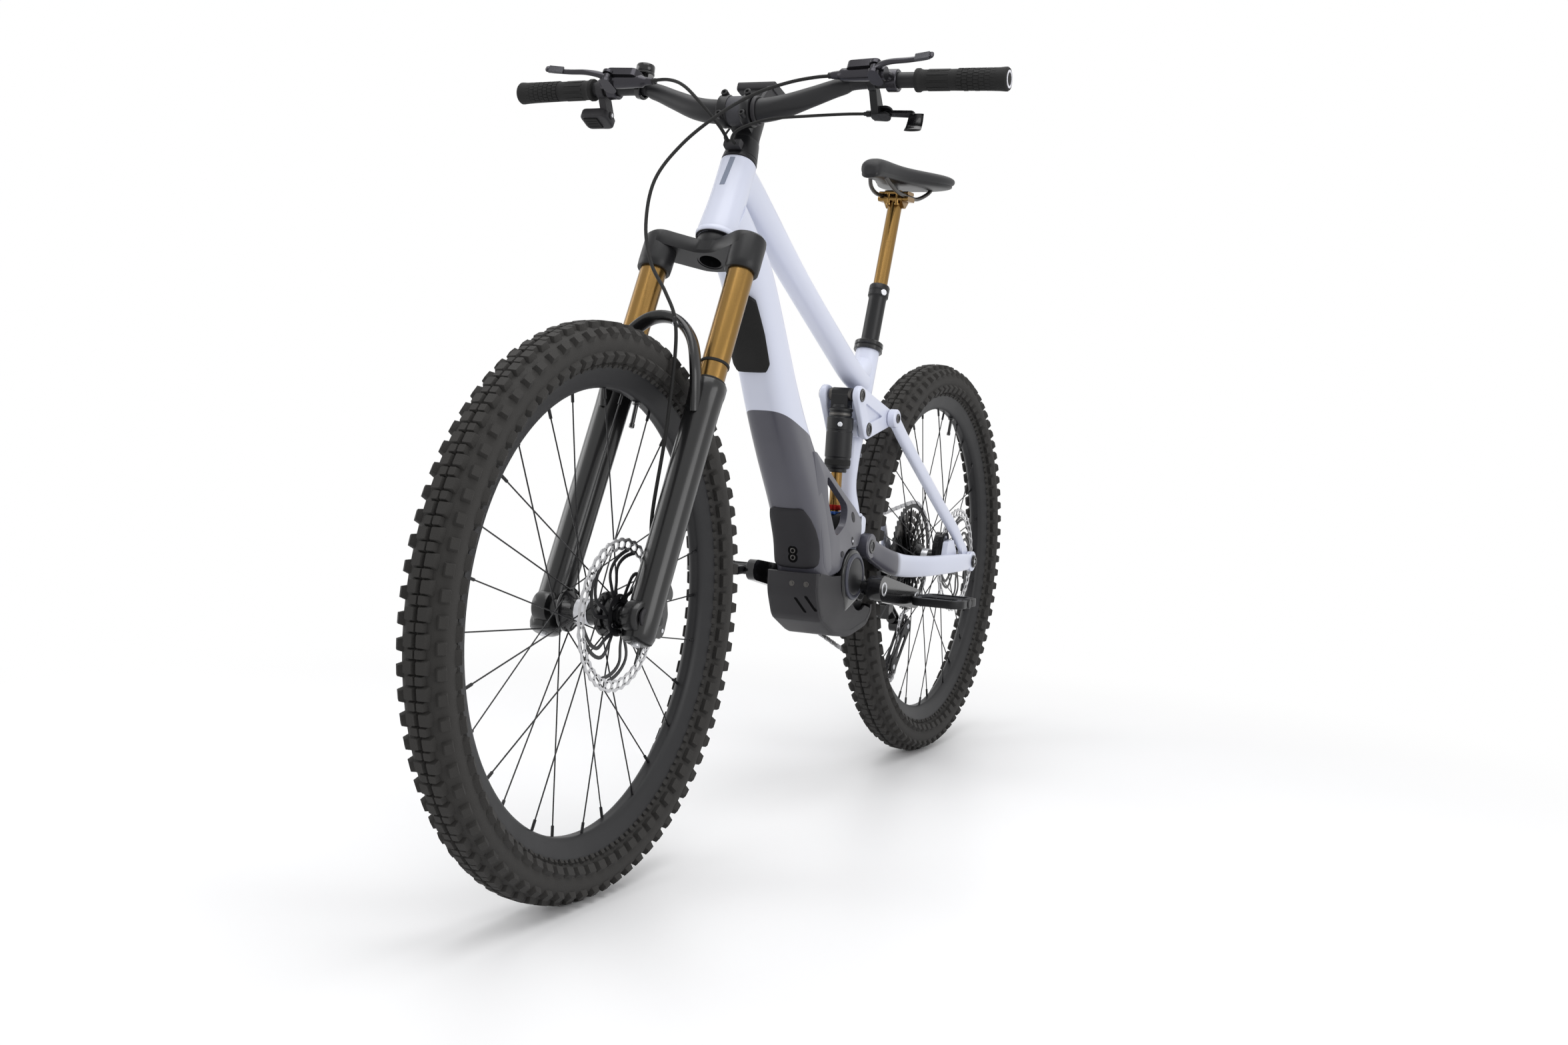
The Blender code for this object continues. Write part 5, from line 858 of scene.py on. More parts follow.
@dataclass
class Studio:
    """Camera, floor and soft light."""

    focal_pixels: float = 2619.7
    frame_pixels: int = 2352
    camera_at: tuple[float, float, float] = (2.5679, 1.1481, 0.6508)
    azimuth: float = math.radians(114.477)
    elevation: float = math.radians(3.784)
    roll: float = math.radians(3.082)

    def camera(self) -> None:
        """Stand the camera where the photograph was taken, turned by its azimuth, elevation and roll."""
        a, e, r = self.azimuth, self.elevation, self.roll
        back = np.array([math.sin(a) * math.cos(e), -math.cos(a) * math.cos(e), math.sin(e)])
        right = np.cross((0, 0, 1), back)
        right /= np.linalg.norm(right)
        up = np.cross(back, right)
        turned = math.cos(r) * right + math.sin(r) * up, math.cos(r) * up - math.sin(r) * right
        data = bpy.data.cameras.new("camera")
        data.sensor_width = 36.0
        data.lens = 36.0 * self.focal_pixels / self.frame_pixels
        data.clip_start, data.clip_end = 0.05, 60.0
        camera = bpy.data.objects.new("camera", data)
        matrix = np.eye(4)
        matrix[:3, :3] = np.stack([turned[0], turned[1], back], -1)
        matrix[:3, 3] = self.camera_at
        camera.matrix_world = Matrix(matrix.tolist())
        bpy.context.scene.collection.objects.link(camera)
        bpy.context.scene.camera = camera

    def floor(self) -> None:
        """Lay a wide pale floor just under the tyres, which turns to plain white away from the bike."""
        mesh = bpy.data.meshes.new("floor")
        mesh.from_pydata([(-14, -14, -0.0005), (14, -14, -0.0005), (14, 14, -0.0005), (-14, 14, -0.0005)], [],
            [(0, 1, 2, 3)])
        floor = bpy.data.objects.new("floor", mesh)
        bpy.context.scene.collection.objects.link(floor)
        material = bpy.data.materials.new("floor")
        material.use_nodes = True
        surface = material.node_tree.nodes["Principled BSDF"]
        g = Graph(material.node_tree)
        noise = g.node("TexNoise", {"Vector": g.place(), "Scale": 0.8, "Detail": 2.0}).outputs[0]
        tint = g.mix(g.math("MULTIPLY", noise, 0.35), (0.93, 0.93, 0.94, 1), (0.86, 0.865, 0.875, 1))
        g.tree.links.new(tint, surface.inputs["Base Color"])
        surface.inputs["Roughness"].default_value = 0.42
        surface.inputs["Specular IOR Level"].default_value = 0.35
        away = g.node("VectorMath", {0: g.place()}, operation="LENGTH").outputs["Value"]
        away = g.node("MapRange", {"Value": away, "From Min": 0.9, "From Max": 1.9},
            interpolation_type="SMOOTHSTEP").outputs[0]
        white = g.node("Emission", {"Color": (1, 1, 1, 1), "Strength": 1.0}).outputs[0]
        shown = g.node("MixShader", {0: away, 1: surface.outputs[0], 2: white}).outputs[0]
        g.tree.links.new(shown, material.node_tree.nodes["Material Output"].inputs["Surface"])
        mesh.materials.append(material)

    def world(self) -> None:
        """Light from everywhere, plain white to the eye."""
        world = bpy.data.worlds.new("studio")
        world.use_nodes = True
        bpy.context.scene.world = world
        g = Graph(world.node_tree)
        world.node_tree.nodes.clear()
        path = g.node("LightPath").outputs
        seen = g.math("MAXIMUM", path["Is Camera Ray"], path["Is Glossy Ray"])
        seen = g.math("MAXIMUM", seen, path["Is Transmission Ray"])
        light = g.node("Background", {"Color": (1, 1, 1, 1), "Strength": 0.55}).outputs[0]
        white = g.node("Background", {"Color": (1, 1, 1, 1), "Strength": 1.0}).outputs[0]
        shown = g.node("MixShader", {0: seen, 1: light, 2: white}).outputs[0]
        out = g.node("OutputWorld")
        g.tree.links.new(shown, out.inputs["Surface"])

    def lamp(self, name: str, at: Point, target: Point, size: tuple[float, float], power: float) -> None:
        """Hang an area lamp that faces a target.

        Args:
            name: Name of the lamp.
            at: Where it hangs.
            target: What it faces.
            size: Width and height.
            power: Watts.
        """
        data = bpy.data.lights.new(name, "AREA")
        data.shape = "RECTANGLE"
        data.size, data.size_y = size
        data.energy = power
        lamp = bpy.data.objects.new(name, data)
        back = np.asarray(at, float) - np.asarray(target, float)
        back /= np.linalg.norm(back)
        right = np.cross((0.0, 0.3, 1.0), back)
        right /= np.linalg.norm(right)
        matrix = np.eye(4)
        matrix[:3, :3] = np.stack([right, np.cross(back, right), back], -1)
        matrix[:3, 3] = at
        lamp.matrix_world = Matrix(matrix.tolist())
        bpy.context.scene.collection.objects.link(lamp)

    def build(self) -> None:
        """Set the camera, the floor, the world and the lamps."""
        self.camera()
        self.floor()
        self.world()
        bpy.context.scene.view_settings.view_transform = "Standard"
        self.lamp("overhead", (0.3, 0.2, 3.2), (0, 0, 0.5), (3.0, 2.4), 62)
        self.lamp("left_side", (1.2, 3.2, 1.6), (0, 0, 0.6), (2.2, 1.6), 34)
        self.lamp("right_side", (0.8, -3.2, 1.6), (0, 0, 0.6), (2.2, 1.6), 26)


# Wheels

@dataclass
class Wheel:
    """One wheel: tyre with its knobs, deep rim, laced spokes, hub and brake rotor."""

    name: str
    centre: tuple[float, float]
    hub_half: float
    flange_left: float
    flange_right: float
    rotor_y: float
    bands: tuple[tuple[float, float, float, int], ...]
    radius: float = 0.374
    knob_height: float = 0.0068
    knob_root: float = 0.0012
    knob_taper: tuple[float, float] = (1.16, 0.86)
    pitches: int = 78
    rim_inner: float = 0.2885
    rim_edge: float = 0.3165
    spokes: int = 28
    spoke_radius: float = 0.001
    lacing: float = math.radians(62.0)
    rotor_half: float = 0.00095
    windows: int = 36
    rotor_bolts: int = 6
    knobs: tuple = ((0.0, 0.0088, 0.0068, 0.0088, 1.0), (0.5, 0.006, 0.0052, 0.0062, 0.95),
        (0.5, 0.0172, 0.004, 0.005, 0.62), (0.25, 0.0262, 0.0062, 0.0098, 1.0),
        (0.75, 0.0258, 0.0058, 0.0078, 0.92), (0.0, 0.0172, 0.003, 0.0042, 0.5))

    def at(self, radius: float, angle: float, y: float) -> tuple[float, float, float]:
        """Point of the wheel from its radius, angle and y."""
        x, z = polar(self.centre, radius, angle)
        return x, y, z

    def casing(self) -> Array:
        """Half profile of the casing, bead to crown: radius and y through stations."""
        crown = self.radius - self.knob_height
        return smooth_route([(self.rim_edge + 0.0006, 0.0158), (self.rim_edge + 0.0042, 0.019),
            (0.33, 0.0262), (0.3405, 0.0304), (0.349, 0.0308), (0.357, 0.0276), (0.363, 0.0205),
            (crown - 0.0006, 0.011), (crown, 0.0)], 4)

    def tyre(self) -> None:
        """Turn the casing, then set each row of knobs on its surface, square to it and tapered."""
        outer = self.casing()
        wall = outer - np.array([[0.0028, 0.0022]]) * np.linspace(0.4, 1, len(outer))[:, None]
        mirror = (1, -1)
        profile = np.vstack([outer, (outer * mirror)[-2::-1], wall * mirror, wall[-2::-1]])
        shell = Shell().spun(profile, self.centre, 156)
        for phase, y, half_wide, half_long, tall in self.knobs:
            for side in (-1, 1):
                knob = self.knob(y, half_wide, half_long, tall, side)
                angles = TAU * (np.arange(self.pitches) + phase + 0.004 * side) / self.pitches
                shell.copies(knob, spins(self.centre, angles))
        shaped(self.name + "_tyre_tread", shell, "tread", self.name + "_tyre", sharp=40)

    def knob(self, y: float, half_wide: float, half_long: float, tall: float, side: int) -> Shell:
        """Shape one knob at angle zero: a tapered block, square to the casing.

        Args:
            y: Distance of its middle from the wheel's middle plane.
            half_wide: Half of its width across.
            half_long: Half of its length round the wheel.
            tall: Height as a share of the full knob.
            side: Side of the middle plane.

        Returns:
            The knob.
        """
        outer = self.casing()[::-1]
        i = int(np.argmin(np.abs(outer[:, 1] - y)))
        step = outer[min(i + 1, len(outer) - 1)] - outer[max(i - 1, 0)]
        along = step / np.linalg.norm(step)
        normal = np.array([along[1], -along[0]])
        foot = outer[i] - self.knob_root * normal
        rise = (self.knob_height * tall + self.knob_root) * np.array([[0.0], [1.0]])
        reach = np.array(self.knob_taper)[:, None]
        rings = np.zeros((2, 12, 3))
        outline = filleted([(-half_wide, -half_long), (half_wide, -half_long), (half_wide, half_long * 0.85),
            (-half_wide, half_long * 0.85)], 0.0016, 2)
        across = outline[None, :, 0] * reach
        rings[..., 0] = foot[0] + rise * normal[0] + across * along[0]
        rings[..., 1] = side * (foot[1] + rise * normal[1] + across * along[1])
        rings[..., 2] = outline[None, :, 1] * reach
        rings = rings + np.array([self.centre[0], 0, self.centre[1]])
        return Shell().grid(rings)

    def rim(self) -> None:
        """Turn the rim's deep rounded profile, and stand the valve in it."""
        half = smooth_route([(self.rim_inner, 0.0), (self.rim_inner + 0.0004, 0.0062),
            (self.rim_inner + 0.005, 0.0112), (self.rim_inner + 0.013, 0.0146),
            (self.rim_edge - 0.0045, 0.018), (self.rim_edge, 0.0183)], 4)
        half = np.vstack([half, [(self.rim_edge + 0.0006, 0.0174), (self.rim_edge, 0.0158),
            (self.rim_edge - 0.007, 0.0152), (self.rim_edge - 0.0085, 0.01)]])
        profile = np.vstack([half * [1, -1], half[::-1][:-1]])[1:]
        shell = Shell().spun(profile, self.centre, 144)
        angle = TAU * 8.5 / self.spokes
        spots = [self.at(r, angle, 0) for r in (self.rim_inner - 0.036, self.rim_inner - 0.03, self.rim_inner
            - 0.004, self.rim_inner + 0.004)]
        shell.rod(spots[1], spots[3], 0.0029, 16, finish=1)
        shell.rod(spots[0], spots[1], 0.0036, 12, 0.0006, finish=1)
        shell.rod(spots[2], spots[3], 0.0058, 6, 0.0004, finish=1)
        shaped(self.name + "_rim_deep", shell, "carbon gloss", self.name + "_rim")

    def hub(self) -> None:
        """Turn the hub shell, lace the spokes with their nipples, and bolt the rotor's carrier on."""
        end, left, right = 0.0125, self.flange_left, self.flange_right
        shell = Shell()
        body = [(0.0079, -self.hub_half), (end, -self.hub_half), (end, right - 0.012),
            (0.017, right - 0.0095), (0.0175, right - 0.005), (0.0285, right - 0.0026),
            (0.029, right - 0.0016), (0.029, right + 0.0016), (0.024, right + 0.0034),
            (0.0165, right + 0.011), (0.0158, (left + right) / 2), (0.0165, left - 0.012),
            (0.025, left - 0.004), (0.029, left - 0.0018), (0.029, left + 0.002), (0.026, left + 0.0048),
            (0.0215, left + 0.0065), (0.0212, self.rotor_y - 0.0012), (0.0163, self.rotor_y - 0.001),
            (0.0163, self.rotor_y + 0.004), (end, self.rotor_y + 0.0046), (end, self.hub_half),
            (0.0079, self.hub_half)]
        shell.spun(body, self.centre, 56)
        for r, y0, y1, finish in self.bands:
            shell.spun([(0, y0), (r - 0.002, y0), (r, y0 + 0.0005), (r, y1 - 0.0005), (r - 0.002, y1),
                (0, y1)], self.centre, 56, finish)
        flanges = (right, left)
        for i in range(self.spokes):
            angle = TAU * i / self.spokes
            side, lean = (1 if i % 2 else -1), (1 if (i // 2) % 2 else -1)
            y = flanges[i % 2] + lean * 0.0028
            start = np.array(self.at(0.0255, angle + lean * self.lacing, y))
            stop = np.array(self.at(self.rim_inner - 0.0002, angle, side * 0.004 + lean * 0.0015))
            head = start + np.array([0, -lean * 0.0052, 0])
            ahead = (stop - start) / np.linalg.norm(stop - start)
            elbow = [head, start - np.array([0, lean * 0.001, 0]), start + ahead * 0.002, stop - ahead
                * 0.012]
            shell.tube(elbow, self.spoke_radius, 6, finish=1)
            shell.rod(stop - ahead * 0.0135, stop + ahead * 0.0005, 0.0021, 8, 0.0004, finish=1)
            shell.rod(head + [0, -lean * 0.001, 0], head, 0.0019, 8, finish=1)
        for i in range(self.rotor_bolts):
            spot = polar(self.centre, 0.0215, TAU * (i + 0.5) / self.rotor_bolts)
            shell.disc(spot, self.rotor_y - 0.001, self.rotor_y + 0.0042, 0.0032, 10, 0.0006)
        shaped(self.name + "_hub_laced", shell, "gloss satin_black silver", self.name + "_hub")

    def rotor(self) -> None:
        """Make the wavy braking track with its windows, and the curved arms inside it.

        Both edges of the track follow a cosine with one wave for each window, and a slanted bar
        parts each window from the next.
        """
        low, high = self.rotor_y - self.rotor_half, self.rotor_y + self.rotor_half
        shell = Shell()
        a = TAU * np.arange(self.windows * 8) / (self.windows * 8)
        wave = np.cos(self.windows * a)
        for middle, swing, half in ((0.0966, 0.0011, 0.0021), (0.0858, -0.0009, 0.0017)):
            r = middle + swing * wave
            for_edges = np.stack([r - half, r - half, r + half, r + half], -1)
            rings = np.zeros((len(a), 4, 3))
            rings[..., 0] = self.centre[0] + for_edges * np.cos(a)[:, None]
            rings[..., 2] = self.centre[1] + for_edges * np.sin(a)[:, None]
            rings[..., 1] = [low, high, high, low]
            shell.grid(rings, True)
        for i in range(self.windows):
            b = TAU * (i + 0.5) / self.windows
            shell.plate(self.bar([(0.0862, b - 0.012), (0.0952, b + 0.014)], 0.0017), low, high)
        for i in range(self.rotor_bolts):
            b = TAU * i / self.rotor_bolts
            for reach, bow in ((0.6, 0.3), (0.4, 0.02)):
                path = smooth_route([(0.021, b), (0.04, b + bow), (0.064, b + bow + 0.12),
                    (0.0855, b + reach + 0.35)], 6)
                shell.plate(self.bar(path, 0.0024), low + 0.0002, high - 0.0002, 1)
        shell.band(self.centre, low, high, 0.017, 0.0275, 48, 1)
        shaped(self.name + "_rotor_wave", shell, "steel satin_black", self.name + "_rotor")

    def bar(self, path: Sequence[Point], half: float) -> Array:
        """Outline of a strip of one width round the wheel's centre.

        Args:
            path: Radius and angle of each station.
            half: Half of the width.

        Returns:
            Points of the outline.
        """
        p = np.asarray(path, float)
        spots = np.stack([self.centre[0] + p[:, 0] * np.cos(p[:, 1]), self.centre[1] + p[:, 0]
            * np.sin(p[:, 1])], -1)
        ahead = np.gradient(spots, axis=0)
        ahead /= np.linalg.norm(ahead, axis=1, keepdims=True)
        side = np.stack([-ahead[:, 1], ahead[:, 0]], -1) * half
        return np.vstack([spots + side, (spots - side)[::-1]])

    def build(self) -> None:
        """Make the wheel's pieces."""
        self.tyre()
        self.rim()
        self.hub()
        self.rotor()


# Fork

@dataclass
class Fork:
    """Suspension fork in the steering frame: crown, steerer, stanchions, legs, arch and brake."""

    side: float = 0.069
    ahead: float = 0.028
    crown_low: float = 0.52
    crown_level: float = 0.5535
    crown_high: float = 0.576
    head_low: float = 0.5897
    leg_top: float = 0.345
    leg_low: float = -0.03
    stanchion: float = 0.019
    axle: tuple[float, float] = (0.044, 0.0)
    inner: float = 0.0553
    rotor_y: float = 0.0415

    def upper(self) -> None:
        """Forge the crown round the steerer's open foot, and press in both stanchions."""
        shell = Shell(STEER)
        half = [(0.0275, 0.0), (0.03, 0.018), (0.042, 0.042), (0.052, 0.062), (0.049, 0.08), (0.036, 0.0915),
            (0.019, 0.091), (0.006, 0.081), (-0.004, 0.06), (-0.017, 0.037), (-0.027, 0.018), (-0.03, 0.0)]
        left = smooth_route(half, 4)
        outline = np.vstack([left, (left * [1, -1])[::-1][1:-1]])
        hole = 0.0192 * (outline / np.linalg.norm(outline, axis=1, keepdims=True))
        shell.collar(outline, hole, self.crown_level, self.crown_high, 0.0035)
        shell.turned([(0.0195, self.crown_level + 0.001), (0.0285, self.crown_high - 0.002),
            (0.0262, self.head_low), (0.0195, self.head_low), (0.0194, 0.605), (0.0143, 0.635),
            (0.0143, 0.802), (0.0115, 0.802), (0.0115, 0.64), (0.016, 0.6),
            (0.016, self.crown_level + 0.001)], 48)
        for side in (-1, 1):
            foot = (self.ahead, side * self.side, 0)
            shell.turned([(0.0192, self.crown_low), (0.0228, self.crown_low),
                (0.024, self.crown_low + 0.0015), (0.0246, self.crown_low + 0.012),
                (0.0246, self.crown_high - 0.01), (0.0236, self.crown_high - 0.0035),
                (0.0205, self.crown_high - 0.0025), (0.0192, self.crown_high - 0.003)], 48, at=foot)
            shell.turned([(0, 0.56), (0.0194, 0.56), (0.0194, 0.5752), (0.0182, 0.5762), (0.0125, 0.5762),
                (0.0118, 0.5772), (0, 0.5772)], 40, 1 if side < 0 else 2, at=foot)
            shell.post(foot, 0.2, 0.565, self.stanchion, 48, 0.001, finish=3)
        shell.turned([(0, 0.3725), (0.0189, 0.3725), (0.0204, 0.373), (0.0204, 0.3765), (0.0189, 0.377),
            (0, 0.377)], 40, 4, at=(self.ahead, self.side, 0))
        shaped("fork_crown", shell, "satin_black blue plastic gold rubber", "fork_upper", sharp=38)

    def legs(self) -> None:
        """Turn both legs with their seals, and bridge them with the arch."""
        shell = Shell(STEER)
        top, low = self.leg_top, self.leg_low
        for side in (-1, 1):
            foot = (self.ahead, side * self.side, 0)
            shell.turned([(0, low), (0.015, low), (0.02, low + 0.003), (0.0222, low + 0.01), (0.0226, 0.03),
                (0.0229, 0.16), (0.0236, 0.3), (0.0242, top - 0.022), (0.0252, top - 0.014),
                (0.0252, top - 0.003), (0.024, top), (0.0194, top), (0.0194, 0.215), (0, 0.205)], 56, at=foot)
            shell.turned([(0.0194, top - 0.004), (0.0228, top), (0.0218, top + 0.0036),
                (0.0194, top + 0.005)], 48, 1, at=foot)
            shell.turned([(0, low - 0.004), (0.006, low - 0.004), (0.006, low + 0.001), (0, low + 0.001)], 24,
                2, at=foot)
            self.dropout(shell, side)
        half = [(0.0755, 0.027, 0.412), (0.0715, 0.051, 0.386), (0.065, 0.0655, 0.342), (0.044, 0.069, 0.296)]
        route = [(x, -y, z) for x, y, z in reversed(half)] + [(0.078, 0.0, 0.419)] + half
        shell.tube(smooth_route(route, 6), 0.0125, 24, flat=(0.58, 1.0), up=(1, 0, 0))
        for side in (-1, 1):
            shell.tube([(0.042, side * 0.069, 0.33), (0.0545, side * 0.068, 0.318),
                (0.061, side * 0.067, 0.33)], 0.0068, 12)
        self.clamp(shell)
        shell.plate(filleted([(0.006, -0.004), (0.02, 0.0), (0.022, 0.084), (0.004, 0.088), (-0.04, 0.068),
            (-0.042, 0.056), (-0.018, 0.052), (0.0, 0.03)], 0.008, 4), 0.0568, 0.0638)
        shaped("fork_legs_cast", shell, "leg rubber silver plastic", "fork_lowers", bevel=0.0007, sharp=38)

    def dropout(self, shell: Shell, side: int) -> None:
        """Add the round boss at a leg's foot, open round the axle's end, with its flange toward the hub.

        Args:
            shell: Shell of the legs.
            side: Side of the bike.
        """
        near, far = side * self.inner, side * 0.078
        profile = [(0.0082, near), (0.015, near), (0.02, near + side * 0.002), (0.0212, near + side * 0.006),
            (0.0212, far - side * 0.003), (0.019, far), (0.0137, far), (0.013, far - side * 0.006),
            (0.0082, far - side * 0.006)]
        shell.spun(profile, self.axle, 48)

    def clamp(self, shell: Shell) -> None:
        """Small clip that holds the hose to the arch."""
        shell.tube([(0.0905, 0.03, 0.404), (0.0965, 0.029, 0.41), (0.1005, 0.03, 0.405),
            (0.0975, 0.031, 0.399), (0.0905, 0.03, 0.3985)], 0.0016, 8, finish=3)
        shell.rod((0.086, 0.03, 0.401), (0.0945, 0.03, 0.401), 0.004, 16, 0.0006, finish=2)

    def pin(self) -> None:
        """Through axle: shaft, hexagonal head on the left and threaded end on the right."""
        shell = Shell(STEER)
        shell.disc(self.axle, -0.078, 0.0775, 0.0075, 32, 0.0008)
        shell.spun([(0.0062, 0.0786), (0.012, 0.0786), (0.0122, 0.0812), (0.0112, 0.0822), (0.0062, 0.0822)],
            self.axle, 40)
        shell.band(self.axle, 0.0782, 0.08, 0, 0.0064, 6)
        shaped("front_axle_pin", shell, "plastic", "front_axle", bevel=0.0004)

    def caliper(self) -> None:
        """Brake caliper in two halves with its piston caps, bolts and hose fitting."""
        brake_caliper("front_caliper_body", STEER, self.axle, math.atan2(0.035, -0.087), self.rotor_y, 0.029,
            0.0562, "front_caliper")

    def build(self) -> None:
        """Make the fork's pieces."""
        self.upper()
        self.legs()
        self.pin()
        self.caliper()


def brake_caliper(name: str, basis: Basis, centre: Point, angle: float, rotor_y: float, low: float,
        high: float, node: str) -> None:
    """Make a caliper round a rotor's edge.

    Args:
        name: Name of the piece.
        basis: Frame of the numbers.
        centre: The wheel's centre.
        angle: Angle of the caliper's middle from the frame's X.
        rotor_y: Level of the rotor's middle plane.
        low: Lower end across the bike.
        high: Upper end across the bike.
        node: CAD node that it replaces.
    """
    shell = Shell(basis)
    reach = 0.089
    ends = [polar(centre, reach, angle + turn) for turn in (-0.18, 0.18)]
    outline = hull([(ends[0], 0.0148), (ends[1], 0.0148), (polar(centre, reach + 0.004, angle), 0.014)], 40)
    gap = 0.0019
    shell.plate(outline, low, rotor_y - gap)
    shell.plate(outline, rotor_y + gap, high)
    back = [polar(centre, 0.1016, angle - 0.24), polar(centre, 0.1016, angle + 0.24),
        polar(centre, 0.1065, angle + 0.16), polar(centre, 0.1065, angle - 0.16)]
    shell.plate(back, rotor_y - gap - 0.002, rotor_y + gap + 0.002)
    for share in (-0.085, 0.085):
        spot = polar(centre, reach - 0.003, angle + share)
        shell.disc(spot, high - 0.001, high + 0.0016, 0.0068, 24, 0.0006, finish=1)
        shell.disc(spot, low - 0.0012, low + 0.001, 0.0068, 24, 0.0006, finish=1)
    for turn in (-0.21, 0.21):
        shell.disc(polar(centre, 0.0965, angle + turn), low - 0.0008, high + 0.0012, 0.003, 12, 0.0004,
            finish=2)
    shaped(name, shell, "gloss satin_black silver", node, bevel=0.0012, sharp=38)


# Front triangle

def rayed(outline: Sequence[Point], centre: Point, count: int) -> Array:
    """Points of an outline along rays from a centre, which sees all of it.

    Each ray meets each side where the cross products of ray, side and offset allow, and the
    farthest meeting counts.

    Args:
        outline: Corners of the closed outline.
        centre: Where the rays start.
        count: Number of rays.

    Returns:
        One point for each ray.
    """
    p = np.asarray(outline, float) - np.asarray(centre, float)
    side = np.roll(p, -1, 0) - p
    rays = circle(1.0, count)
    det = rays[:, :1] * side[:, 1] - rays[:, 1:] * side[:, 0]
    det = np.where(np.abs(det) < 1e-12, 1e-12, det)
    reach = (p[:, 0] * side[:, 1] - p[:, 1] * side[:, 0]) / det
    share = (p[:, 0] * rays[:, 1:] - p[:, 1] * rays[:, :1]) / det
    reach = np.where((share >= -1e-9) & (share <= 1 + 1e-9) & (reach > 0), reach, 0.0).max(1)
    return rays * reach[:, None] + np.asarray(centre, float)


